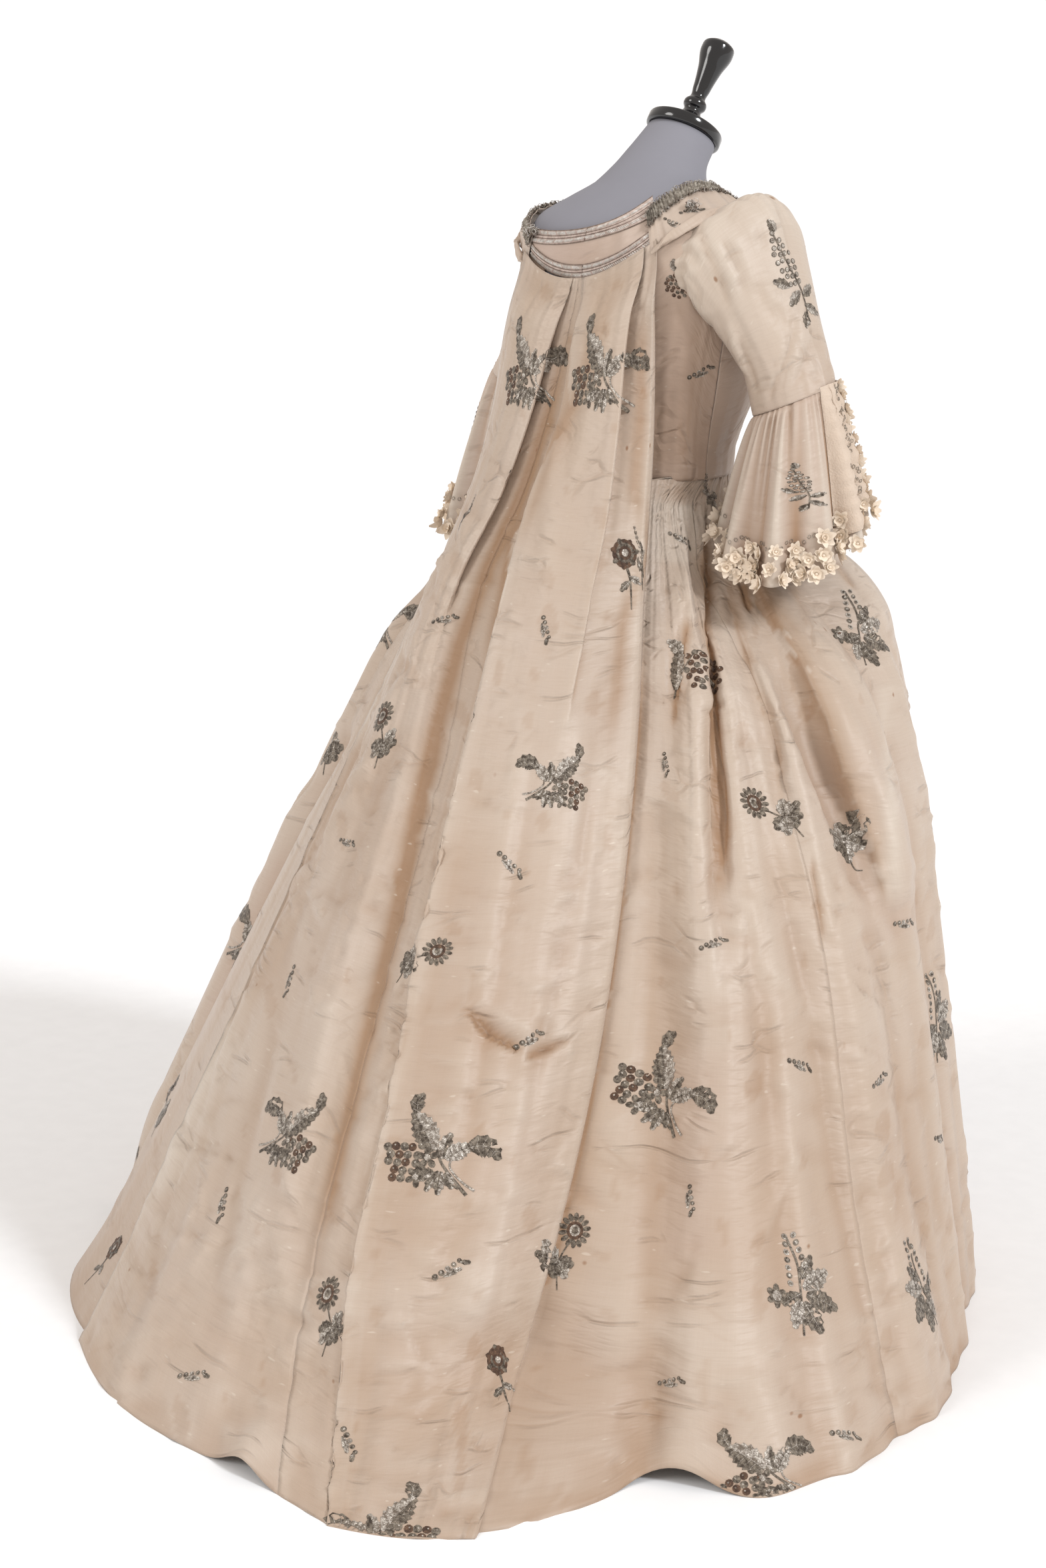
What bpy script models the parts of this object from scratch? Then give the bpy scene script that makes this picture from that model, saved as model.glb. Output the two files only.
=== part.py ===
"""Robe a la francaise (sack-back gown) on a limbless dress form.

Frame: the wearer faces -Y, the wearer's left is +X and +Z is up.  The origin is on the
floor under the axis of the stand.  All lengths are metres.

Every cloth piece is a wall of even thickness.  The bodice pieces lie on the torso surface,
the skirt pieces on a polar surface given by a table of radii, and the sack back runs
through rails that are given section by section from the neck to the train.
"""
import math

import bmesh
import bpy
import numpy as np

# ---------------------------------------------------------------- driving dimensions
CLOTH = 0.0020            # wall of the silk pieces
TRIM = 0.0012             # wall of braid, lace and ruffles
SEAM = 0.0004             # space between pieces that meet at a seam
FORM_EASE = 0.0006        # how far the form stays inside the torso surface
EASE = 0.0016             # space between the form and the bodice
WAIST = 1.075             # height of the waist seam
# the neck band dips at the centre back and sits lower on the left shoulder: its edges are
# height, slope towards the left side and curvature
BAND_LOWER = (1.330, -0.124, 3.17)
BAND_UPPER = (1.3915, -0.188, 1.11)
NECK_TILT = math.radians(33)
CAP_RADIUS = 0.052
CAP_HEIGHT = 0.017
CAP_RIM = 0.003
# the turned finial on the cap as (height above the cap, radius): foot, bead, stem, trumpet
FINIAL_PROFILE = ((0.0, 0.028), (0.006, 0.026), (0.016, 0.014), (0.022, 0.012), (0.028, 0.0155),
                  (0.034, 0.0155), (0.040, 0.011), (0.055, 0.012), (0.085, 0.0165),
                  (0.112, 0.0225), (0.120, 0.0215), (0.125, 0.015))
POLE_RADIUS = 0.016
BASE_RADIUS = 0.200
BASE_HEIGHT = 0.012
LACE_WIDTH = 0.016
RIGHT, LEFT = -1, 1

TORSO_COLUMNS = ("height", "centre", "half_width", "front", "back", "power", "tilt")
TORSO_RINGS = (
    (0.900, -0.010, 0.125, 0.105, 0.105, 2.2, 0),
    (0.980, -0.016, 0.126, 0.102, 0.100, 2.2, 0),
    (1.075, -0.030, 0.130, 0.098, 0.093, 2.3, 0),
    (1.150, -0.032, 0.137, 0.108, 0.100, 2.3, 0),
    (1.220, -0.035, 0.150, 0.125, 0.112, 2.4, 0),
    (1.290, -0.038, 0.164, 0.138, 0.120, 2.4, 0),
    (1.340, -0.040, 0.172, 0.130, 0.122, 2.4, 0),
    (1.380, -0.042, 0.170, 0.112, 0.119, 2.4, 0),
    (1.405, -0.046, 0.152, 0.092, 0.110, 2.3, 0),
    (1.425, -0.051, 0.114, 0.074, 0.090, 2.1, 3),
    (1.440, -0.058, 0.085, 0.062, 0.070, 2.0, 8),
    (1.455, -0.068, 0.070, 0.055, 0.058, 2.0, 15),
    (1.475, -0.084, 0.057, 0.050, 0.051, 2.0, 24),
    (1.503, -0.112, 0.048, 0.046, 0.046, 2.0, 33),
)

SACK_COLUMNS = ("height", "left_x", "left_y", "fold_x", "fold_y", "centre_x", "centre_y",
                "ridge_x", "ridge_y", "pleat_x", "pleat_y", "right_x", "right_y")
SACK_SECTIONS = (
    (1.345, 0.115, 0.075, 0.010, 0.094, 0.000, 0.090, -0.015, 0.094, -0.100, 0.083, -0.115, 0.075),
    (1.250, 0.136, 0.088, 0.026, 0.118, 0.008, 0.105, -0.015, 0.120, -0.103, 0.113, -0.132, 0.092),
    (1.150, 0.140, 0.108, 0.028, 0.156, 0.008, 0.140, -0.028, 0.160, -0.125, 0.152, -0.150, 0.115),
    (1.050, 0.146, 0.142, 0.038, 0.200, 0.014, 0.182, -0.026, 0.215, -0.148, 0.195, -0.165, 0.140),
    (0.950, 0.160, 0.190, 0.062, 0.252, 0.028, 0.237, -0.041, 0.275, -0.166, 0.245, -0.180, 0.165),
    (0.800, 0.174, 0.280, 0.060, 0.348, 0.000, 0.337, -0.082, 0.375, -0.201, 0.330, -0.219, 0.215),
    (0.600, 0.184, 0.415, 0.005, 0.498, -0.077, 0.490, -0.146, 0.520, -0.254, 0.455, -0.297, 0.330),
    (0.400, 0.197, 0.540, -0.040, 0.632, -0.141, 0.630, -0.212, 0.650, -0.314, 0.585, -0.352, 0.440),
    (0.200, 0.215, 0.655, -0.075, 0.752, -0.185, 0.750, -0.262, 0.770, -0.370, 0.705, -0.392, 0.560),
    (0.070, 0.224, 0.735, -0.110, 0.838, -0.235, 0.838, -0.325, 0.852, -0.410, 0.790, -0.425, 0.660),
    (0.000, 0.206, 0.812, -0.175, 0.914, -0.300, 0.925, -0.403, 0.940, -0.500, 0.901, -0.548, 0.846),
)
SACK_HEIGHTS = (1.345, 1.30, 1.25, 1.19, 1.12, 1.05, 0.98, 0.90, 0.85, 0.79, 0.72, 0.62,
                0.50, 0.38, 0.26, 0.15, 0.07, 0.03, 0.0)
LEFT_BULGE = 0.016        # how far the left box pleat stands out between its folds
RIGHT_BULGE = 0.008
HEM_BULGE = 0.042         # how much more the train's hem rounds out on the left
PLEAT_NOTCH = 0.007       # depth of the step beside the right box pleat
# how far the outer fold of the sack turns under, and where the skirt side is sewn to it
TURN_COLUMNS = ("height", "turn_x", "turn_y", "seam_x", "seam_y")
TURN_SECTIONS = (
    (1.345, 0.002, 0.003, 0.020, 0.030),
    (1.250, 0.004, 0.010, 0.030, 0.050),
    (1.075, 0.007, 0.018, 0.062, 0.082),
    (0.950, 0.010, 0.022, 0.028, 0.045),
    (0.850, 0.011, 0.024, 0.011, 0.024),
    (0.000, 0.012, 0.026, 0.012, 0.026),
)

# radius of the skirt at each height, for angles round the body from the centre front
SKIRT_ANGLES = (0, 30, 60, 90, 120, 150, 180)
SKIRT_RIGHT = (
    (1.075, 0.132, 0.136, 0.140, 0.134, 0.113, 0.080, 0.070),
    (1.040, 0.160, 0.165, 0.168, 0.146, 0.133, 0.115, 0.110),
    (1.000, 0.200, 0.220, 0.232, 0.164, 0.162, 0.155, 0.150),
    (0.950, 0.235, 0.275, 0.312, 0.200, 0.205, 0.195, 0.190),
    (0.900, 0.250, 0.298, 0.358, 0.280, 0.250, 0.235, 0.230),
    (0.850, 0.262, 0.308, 0.375, 0.350, 0.300, 0.280, 0.270),
    (0.720, 0.280, 0.320, 0.400, 0.440, 0.400, 0.370, 0.360),
    (0.500, 0.300, 0.340, 0.430, 0.500, 0.540, 0.510, 0.500),
    (0.220, 0.330, 0.360, 0.462, 0.562, 0.684, 0.720, 0.720),
    (0.100, 0.345, 0.380, 0.475, 0.590, 0.772, 0.860, 0.840),
    (0.000, 0.360, 0.400, 0.480, 0.610, 0.860, 1.000, 0.950),
)
SKIRT_LEFT = (
    (1.075, 0.132, 0.136, 0.140, 0.134, 0.113, 0.080, 0.070),
    (1.040, 0.160, 0.165, 0.168, 0.146, 0.133, 0.115, 0.110),
    (1.000, 0.200, 0.220, 0.232, 0.164, 0.162, 0.155, 0.150),
    (0.950, 0.235, 0.275, 0.312, 0.200, 0.205, 0.195, 0.190),
    (0.900, 0.250, 0.298, 0.358, 0.284, 0.262, 0.250, 0.240),
    (0.850, 0.262, 0.308, 0.375, 0.350, 0.312, 0.292, 0.285),
    (0.720, 0.280, 0.320, 0.395, 0.425, 0.385, 0.370, 0.368),
    (0.500, 0.300, 0.340, 0.430, 0.480, 0.482, 0.474, 0.490),
    (0.220, 0.330, 0.360, 0.455, 0.530, 0.600, 0.610, 0.630),
    (0.100, 0.345, 0.380, 0.470, 0.550, 0.650, 0.680, 0.700),
    (0.000, 0.360, 0.400, 0.475, 0.560, 0.680, 0.750, 0.780),
)
SKIRT_HEIGHTS = (1.075, 1.055, 1.03, 1.0, 0.97, 0.94, 0.90, 0.85, 0.79, 0.72, 0.62, 0.50,
                 0.38, 0.26, 0.15, 0.07, 0.03, 0.0)
# the seam between the side and front widths, and the front edge, as angles
WIDTH_SEAM = ((1.075, 96), (1.04, 98), (0.95, 103), (0.80, 107), (0.475, 109), (0.0, 112.5))
FRONT_EDGE = ((1.075, 15), (0.90, 18), (0.50, 22), (0.0, 27))

# skirt folds: depth outwards (+) or inwards (-), half width, then angles at heights
FOLDS = (
    ("pocket gather", -0.024, 0.016, ((1.05, 93), (0.96, 109), (0.84, 116.5), (0.61, 123), (0.50, 124))),
    ("gather crest", 0.012, 0.020, ((1.03, 98), (0.94, 116), (0.84, 122), (0.61, 128), (0.45, 129))),
    ("middle fold", -0.014, 0.016, ((0.98, 100), (0.91, 106), (0.83, 107.5), (0.72, 109), (0.60, 110))),
    ("long fold", -0.030, 0.024, ((0.99, 95), (0.90, 101), (0.83, 102), (0.70, 99), (0.55, 96))),
    ("long fold edge", 0.014, 0.022, ((0.99, 90), (0.90, 94), (0.83, 94), (0.70, 92), (0.52, 92))),
    ("front fold", -0.010, 0.014, ((0.99, 72), (0.93, 73.5), (0.86, 75), (0.80, 76))),
    ("slot fold", -0.009, 0.008, ((0.93, 117), (0.87, 123.5), (0.79, 127), (0.75, 128))),
    ("side ridge", 0.020, 0.050, ((0.60, 123), (0.40, 125), (0.20, 126), (0.00, 127))),
    ("side trough", -0.022, 0.035, ((0.70, 132), (0.45, 133), (0.20, 134.5), (0.00, 136))),
    ("front ridge", 0.012, 0.060, ((0.60, 100), (0.40, 101), (0.20, 102), (0.00, 103))),
    ("front trough", -0.012, 0.045, ((0.75, 60), (0.45, 62), (0.20, 64), (0.00, 66))),
    ("hip trough", -0.012, 0.030, ((1.02, 45), (0.90, 47), (0.70, 45), (0.50, 43))),
)
FOLD_FREE = (0.93, 1.05)  # the folds die away between these heights, towards the waist seam
HEM_DIP = 0.085           # how far the hem swings in beside the train
HEM_DIP_ANGLE = 136
POCKET_WIDTH = 0.005      # half the width of the open pocket slit in the side seam
POCKET_HEIGHT = 1.030
ARCHES = ((-0.235, 0.905, 0.026, 0.040), (-0.620, 0.570, 0.030, 0.045))

# the sleeves, as rings from the armhole to the elbow (x is the distance outwards)
SLEEVE_COLUMNS = ("outer_x", "outer_y", "outer_z", "inner_x", "inner_y", "inner_z", "half_depth")
SLEEVE_RINGS = {
    RIGHT: (
        (0.150, -0.045, 1.428, 0.179, -0.035, 1.288, 0.064),
        (0.181, -0.057, 1.441, 0.182, -0.042, 1.280, 0.071),
        (0.211, -0.062, 1.418, 0.184, -0.045, 1.268, 0.072),
        (0.235, -0.060, 1.362, 0.185, -0.048, 1.250, 0.068),
        (0.262, -0.058, 1.292, 0.188, -0.050, 1.226, 0.063),
        (0.292, -0.055, 1.225, 0.195, -0.050, 1.195, 0.058),
        (0.305, -0.050, 1.188, 0.197, -0.047, 1.170, 0.056),
    ),
    LEFT: (
        (0.184, -0.050, 1.358, 0.179, -0.045, 1.262, 0.058),
        (0.192, -0.062, 1.366, 0.181, -0.052, 1.258, 0.062),
        (0.203, -0.071, 1.358, 0.183, -0.058, 1.248, 0.066),
        (0.218, -0.077, 1.320, 0.186, -0.064, 1.234, 0.064),
        (0.243, -0.081, 1.266, 0.189, -0.070, 1.213, 0.061),
        (0.277, -0.082, 1.212, 0.192, -0.073, 1.187, 0.058),
        (0.297, -0.080, 1.184, 0.196, -0.074, 1.167, 0.056),
    ),
}
FLOUNCE_DEPTH = 0.155     # mean fall of the sleeve flounce
FLOUNCE_SWING = 0.068     # how much deeper it is behind the elbow
FLOUNCE_DEEPEST = 70      # angle of the deepest point, from outside towards the back
FLOUNCE_SPREAD = 0.042    # growth of its radius from seam to edge
FLOUNCE_FLUTES = 9
FLUTE_DEPTH = 0.006
FLOUNCE_SIDES = 30
FRINGE_REACH = 0.011
FRINGE_HEIGHT = 0.030
LACE_DEPTH = 0.158        # mean fall of the white lace under the flounce
LACE_SWING = 0.034
LACE_SPREAD = 0.022

SILK = (0.67, 0.52, 0.39, 1)
METAL = (0.36, 0.33, 0.29, 1)
CREAM = (0.72, 0.60, 0.45, 1)
WHITE = (0.80, 0.78, 0.75, 1)
GREY = (0.48, 0.47, 0.50, 1)
BLACK = (0.015, 0.015, 0.017, 1)


# ---------------------------------------------------------------- small tools
def columns(names, rows):
    """A table as one array for each named column."""
    return dict(zip(names, np.array(rows, float).T))


def smooth(x, knots, heights):
    """A smooth curve through the knots, level with its neighbours outside them."""
    knots = np.asarray(knots, float)
    heights = np.asarray(heights, float)
    if knots[0] > knots[-1]:
        knots, heights = knots[::-1], heights[::-1]
    step = np.diff(knots)
    rise = np.diff(heights) / step
    slope = np.concatenate(([rise[0]], (rise[:-1] * step[1:] + rise[1:] * step[:-1])
                            / (step[1:] + step[:-1]), [rise[-1]]))
    x = np.clip(np.asarray(x, float), knots[0], knots[-1])
    i = np.clip(np.searchsorted(knots, x, side="right") - 1, 0, len(step) - 1)
    t = (x - knots[i]) / step[i]
    return ((1 + 2 * t) * (1 - t) ** 2 * heights[i] + t * (1 - t) ** 2 * step[i] * slope[i]
            + t * t * (3 - 2 * t) * heights[i + 1] + t * t * (t - 1) * step[i] * slope[i + 1])


def fade(x, low, high):
    """0 below low, 1 above high, smooth between."""
    t = np.clip((np.asarray(x, float) - low) / (high - low), 0, 1)
    return t * t * (3 - 2 * t)


def normals(grid, closed):
    """Unit normals of a grid of points; closed grids join their last column to the first."""
    if closed:
        across = np.roll(grid, -1, axis=1) - np.roll(grid, 1, axis=1)
    else:
        across = np.gradient(grid, axis=1)
    along = np.gradient(grid, axis=0)
    normal = np.cross(across, along)
    return normal / np.maximum(np.linalg.norm(normal, axis=-1, keepdims=True), 1e-12)


def offset(grid, distance, closed=False, towards=(0, 0)):
    """Move a grid along its normals, away from (or, if negative, towards) the axis."""
    normal = normals(grid, closed)
    centre = np.array([towards[0], towards[1], 0.0])
    outward = grid - centre
    outward[..., 2] = 0
    side = np.sign((normal * outward).sum())
    moved = grid + normal * side * distance
    moved[..., 2] = np.maximum(moved[..., 2], 0.0)
    return moved


def material(name, colour, roughness, metallic=0.0):
    found = bpy.data.materials.get(name)
    if found:
        return found
    made = bpy.data.materials.new(name)
    made.use_nodes = True
    shader = made.node_tree.nodes["Principled BSDF"]
    shader.inputs["Base Color"].default_value = colour
    shader.inputs["Roughness"].default_value = roughness
    shader.inputs["Metallic"].default_value = metallic
    return made


def add(name, points, faces, finish):
    """One named object, its faces turned outwards."""
    mesh = bpy.data.meshes.new(name)
    mesh.from_pydata([tuple(map(float, p)) for p in points], [], faces)
    shape = bmesh.new()
    shape.from_mesh(mesh)
    bmesh.ops.triangulate(shape, faces=shape.faces)
    bmesh.ops.recalc_face_normals(shape, faces=shape.faces)
    if shape.calc_volume(signed=True) < 0:
        bmesh.ops.reverse_faces(shape, faces=shape.faces)
    shape.to_mesh(mesh)
    shape.free()
    mesh.shade_smooth()
    mesh.materials.append(finish)
    made = bpy.data.objects.new(name, mesh)
    bpy.context.collection.objects.link(made)
    return made


def wall(name, outer, inner, finish, closed=False):
    """A closed wall between two grids of the same size."""
    rows, cols = outer.shape[:2]
    points = np.concatenate([outer.reshape(-1, 3), inner.reshape(-1, 3)])
    count = rows * cols
    spans = cols if closed else cols - 1

    def at(i, j, layer):
        return layer * count + i * cols + j % cols

    faces = []
    for i in range(rows - 1):
        for j in range(spans):
            for layer in (0, 1):
                quad = [at(i, j, layer), at(i, j + 1, layer), at(i + 1, j + 1, layer), at(i + 1, j, layer)]
                faces.append(quad if layer == 0 else quad[::-1])
    for j in range(spans):
        for i in (0, rows - 1):
            quad = [at(i, j, 0), at(i, j + 1, 0), at(i, j + 1, 1), at(i, j, 1)]
            faces.append(quad if i else quad[::-1])
    if not closed:
        for i in range(rows - 1):
            for j in (0, cols - 1):
                quad = [at(i, j, 0), at(i + 1, j, 0), at(i + 1, j, 1), at(i, j, 1)]
                faces.append(quad[::-1] if j else quad)
    return add(name, points, faces, finish)


def turned(name, rings, finish):
    """A solid through closed rings with a flat cap at each end."""
    rings = np.array(rings)
    rows, cols = rings.shape[:2]
    faces = [list(range(cols)), list(range((rows - 1) * cols, rows * cols))]
    for i in range(rows - 1):
        for j in range(cols):
            k = (j + 1) % cols
            faces.append([i * cols + j, i * cols + k, (i + 1) * cols + k, (i + 1) * cols + j])
    return add(name, rings.reshape(-1, 3), faces, finish)


# ---------------------------------------------------------------- the form
TORSO = columns(TORSO_COLUMNS, TORSO_RINGS)


def torso_surface(angle, height):
    ring = {key: smooth(height, TORSO["height"], TORSO[key]) for key in TORSO_COLUMNS[1:]}
    turn = np.radians(angle)
    power = 2 / ring["power"]
    side = np.sign(np.sin(turn)) * np.abs(np.sin(turn)) ** power
    fore = np.sign(np.cos(turn)) * np.abs(np.cos(turn)) ** power
    depth = np.where(fore > 0, ring["front"], ring["back"])
    tilt = np.radians(ring["tilt"])
    return np.stack([side * ring["half_width"], ring["centre"] - fore * depth * np.cos(tilt),
                     height - fore * depth * np.sin(tilt)], -1)


def torso(angle, height, lift=0.0):
    """Points above the torso: angle in degrees from the centre front towards the left side."""
    angle, height = np.broadcast_arrays(np.asarray(angle, float), np.asarray(height, float))
    point = torso_surface(angle, height)
    if not lift:
        return point
    around = torso_surface(angle + 2.0, height) - torso_surface(angle - 2.0, height)
    upward = torso_surface(angle, height + 0.004) - torso_surface(angle, height - 0.004)
    normal = np.cross(around, upward)
    return point + lift * normal / np.linalg.norm(normal, axis=-1, keepdims=True)


def neck_frame(distance):
    """A point on the neck's axis, above the top of the neck."""
    return np.array([0.0, TORSO_RINGS[-1][1] - math.sin(NECK_TILT) * distance,
                     TORSO_RINGS[-1][0] + math.cos(NECK_TILT) * distance])


def neck_turned(name, profile, finish, sides=24):
    """A piece turned about the neck's axis from (distance, radius) pairs."""
    forward = np.array([0.0, -math.cos(NECK_TILT), -math.sin(NECK_TILT)])
    across = np.array([1.0, 0.0, 0.0])
    rings = []
    for distance, radius in profile:
        turn = np.linspace(0, 2 * math.pi, sides, endpoint=False)[:, None]
        rings.append(neck_frame(distance) + radius * (np.cos(turn) * across + np.sin(turn) * forward))
    return turned(name, rings, finish)


def upright(name, profile, finish, sides=24):
    """A piece turned about the stand's axis from (height, radius) pairs."""
    turn = np.linspace(0, 2 * math.pi, sides, endpoint=False)
    rings = [np.stack([radius * np.cos(turn), radius * np.sin(turn), height + 0 * turn], -1)
             for height, radius in profile]
    return turned(name, rings, finish)


STEEL = (0.05, 0.05, 0.055, 1)
# name, colour, roughness and metal share of each finish
FINISHES = {
    "silk": ("brocaded silk", SILK, 0.5),
    "braid": ("metal braid", METAL, 0.35, 0.7),
    "frill": ("metal frill", METAL, 0.4, 0.6),
    "fringe": ("cream fly fringe", CREAM, 0.7),
    "lace": ("white lace", WHITE, 0.7),
    "cover": ("form cover", GREY, 0.7),
    "gloss": ("black gloss wood", BLACK, 0.15),
    "steel": ("painted steel", STEEL, 0.4, 0.6),
}
FORM_STEP = 12                       # degrees between the points round the form
FORM_FOOT = 0.90                     # height of the form's lower end
NECK_START = 1.44                    # height above which the form is bare
FORM_HEIGHTS = (FORM_FOOT, 0.98, 1.03, 1.075, 1.11, 1.15, 1.185, 1.22, 1.255, 1.29, 1.315, 1.34,
                1.36, 1.38, 1.395, 1.405, 1.415, 1.425, 1.433, NECK_START, 1.455, 1.475, 1.503)
FINIAL_SIDES, POLE_SIDES, BASE_SIDES = 20, 16, 32
BASE_EDGE = (0.006, 0.004)           # how far the rim of the base is eased in, and down


def build_form():
    grey = material(*FINISHES["cover"])
    black = material(*FINISHES["gloss"])
    steel = material(*FINISHES["steel"])
    angles = np.arange(0, 360, FORM_STEP)
    turned("form_torso", [torso(angles, h, -FORM_EASE if h < NECK_START else 0) for h in FORM_HEIGHTS], grey)
    inside = CAP_RADIUS - CAP_RIM
    neck_turned("form_neck_cap", ((SEAM, inside), (SEAM + CAP_RIM, CAP_RADIUS),
                                  (CAP_HEIGHT - CAP_RIM, CAP_RADIUS), (CAP_HEIGHT, inside)), black)
    foot = CAP_HEIGHT + SEAM
    neck_turned("form_finial", [(foot + rise, radius) for rise, radius in FINIAL_PROFILE], black,
                FINIAL_SIDES)
    upright("stand_pole", ((BASE_HEIGHT + SEAM, POLE_RADIUS), (FORM_FOOT - SEAM, POLE_RADIUS)), steel,
            POLE_SIDES)
    upright("stand_base", ((0.0, BASE_RADIUS), (BASE_HEIGHT - BASE_EDGE[1], BASE_RADIUS),
                           (BASE_HEIGHT, BASE_RADIUS - BASE_EDGE[0])), steel, BASE_SIDES)


# ---------------------------------------------------------------- the sack back
SACK = columns(SACK_COLUMNS, SACK_SECTIONS)
RAILS = ("left", "fold", "centre", "ridge", "pleat", "right")
TURN = columns(TURN_COLUMNS, TURN_SECTIONS)


def rail(name, height):
    """Plan point of a named rail of the sack at a height."""
    return np.array([smooth(height, SACK["height"], SACK[name + "_x"]),
                     smooth(height, SACK["height"], SACK[name + "_y"])])


def turn_under(height, kind):
    return np.array([smooth(height, TURN["height"], TURN[kind + "_x"]),
                     smooth(height, TURN["height"], TURN[kind + "_y"])])


def outer_edge(side, height, kind):
    """The turned-under edge of the sack, or the line where the skirt side is sewn."""
    edge = rail("left" if side > 0 else "right", height)
    shift = turn_under(height, kind)
    return edge + np.array([-side * shift[0], -shift[1]])


def bridge(start, end, steps, bulge):
    """Plan points from start to end with a low bulge away from the body."""
    share = np.linspace(0, 1, steps + 1)[:, None]
    return start + (end - start) * share + np.array([0.0, 1.0]) * bulge * 4 * share * (1 - share)


def band_low(x):
    return BAND_LOWER[0] + BAND_LOWER[1] * x + BAND_LOWER[2] * x ** 2


def band_high(x):
    return BAND_UPPER[0] + BAND_UPPER[1] * x + BAND_UPPER[2] * x ** 2


def arch_lift(x, y):
    lift = np.zeros_like(x)
    for arch_x, arch_y, rise, width in ARCHES:
        lift += rise * np.exp(-((x - arch_x) ** 2 + (y - arch_y) ** 2) / width ** 2)
    return lift


SACK_STEPS = dict(left=6, valley=2, ridge=2, plateau=5)     # grid steps across each part of the sack
SACK_CENTRE = 1 + SACK_STEPS["left"] + SACK_STEPS["valley"]  # the grid column of the centre back seam
HEM_SOFTNESS = 0.4                   # share of the pleats' relief that is left at the hem
FULL_RELIEF = 0.5                    # height above which the relief is whole
NOTCH_SHARE = 0.35                   # place of the notch between the right pleat and the edge
HEM_SWELL_TOP = 0.28                 # height up to which the train swells at the hem
BAND_REACH = 0.115                   # half width over which the top edge follows the neck band
SACK_TOP, TOP_BLEND = 1.345, 1.12    # height of the top edge, and where its curve dies out
ARCH_TOP = 0.12                      # height up to which the arches in the hem lift the cloth


def sack_grid():
    """Grid of the sack from its left turned edge to its right one, and its centre column."""
    rows = []
    for height in SACK_HEIGHTS:
        soft = float(fade(height, 0.0, FULL_RELIEF) * (1 - HEM_SOFTNESS) + HEM_SOFTNESS)
        left, fold, centre, ridge, pleat, right = (rail(key, height) for key in RAILS)
        notch = pleat + (right - pleat) * NOTCH_SHARE - np.array([0.0, PLEAT_NOTCH * soft])
        swell = LEFT_BULGE * soft + HEM_BULGE * float(1 - fade(height, 0.0, HEM_SWELL_TOP))
        plan = np.concatenate([
            outer_edge(LEFT, height, "turn")[None],
            bridge(left, fold, SACK_STEPS["left"], swell),
            bridge(fold, centre, SACK_STEPS["valley"], 0.0)[1:],
            bridge(centre, ridge, SACK_STEPS["ridge"], 0.0)[1:],
            bridge(ridge, pleat, SACK_STEPS["plateau"], RIGHT_BULGE * soft)[1:],
            notch[None], right[None], outer_edge(RIGHT, height, "turn")[None]])
        top = band_low(np.clip(plan[:, 0], -BAND_REACH, BAND_REACH)) - SEAM
        rise = np.clip((height - TOP_BLEND) / (SACK_TOP - TOP_BLEND), 0, 1)
        level = height + (top - SACK_TOP) * rise ** 2
        level = level + arch_lift(plan[:, 0], plan[:, 1]) * float(1 - fade(height, 0.0, ARCH_TOP))
        rows.append(np.column_stack([plan, level]))
    return np.array(rows), SACK_CENTRE


def split_walls(grid, column, names, finish, opening=0.0):
    """Two walls from one grid, a seam's width apart along a column (more where it is open)."""
    inner = offset(grid, -CLOTH)
    along = grid[:, column + 1] - grid[:, column - 1]
    along = along / np.linalg.norm(along, axis=1, keepdims=True)
    half = along * (SEAM / 2 + np.broadcast_to(opening, len(grid)))[:, None]
    for name, part, shift in ((names[0], slice(0, column + 1), -half), (names[1], slice(column, None), half)):
        faces = [layer_grid[:, part].copy() for layer_grid in (grid, inner)]
        edge = -1 if part.start == 0 else 0
        for face in faces:
            face[:, edge] += shift
            face[..., 2] = np.maximum(face[..., 2], 0.0)
        wall(name, faces[0], faces[1], finish)


def build_sack():
    silk = material(*FINISHES["silk"])
    grid, centre = sack_grid()
    split_walls(grid, centre, ("sack_back_left", "sack_back_right"), silk)


# ---------------------------------------------------------------- the skirt
COLUMN_STEP = 30                     # degrees between the columns of the skirt's tables
FOLD_ENDS = (0.03, 0.12)             # how far a fold runs past its table's end, and dies out above it
LEFT_SHIFT = 2.5                     # degrees by which the folds on the left lie further round
DIP_TOP, DIP_WIDTH = 0.16, 8.0       # height and half width in degrees of the dip in the hem
LEFT_DIP = 0.4                       # share of the dip on the left


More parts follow.
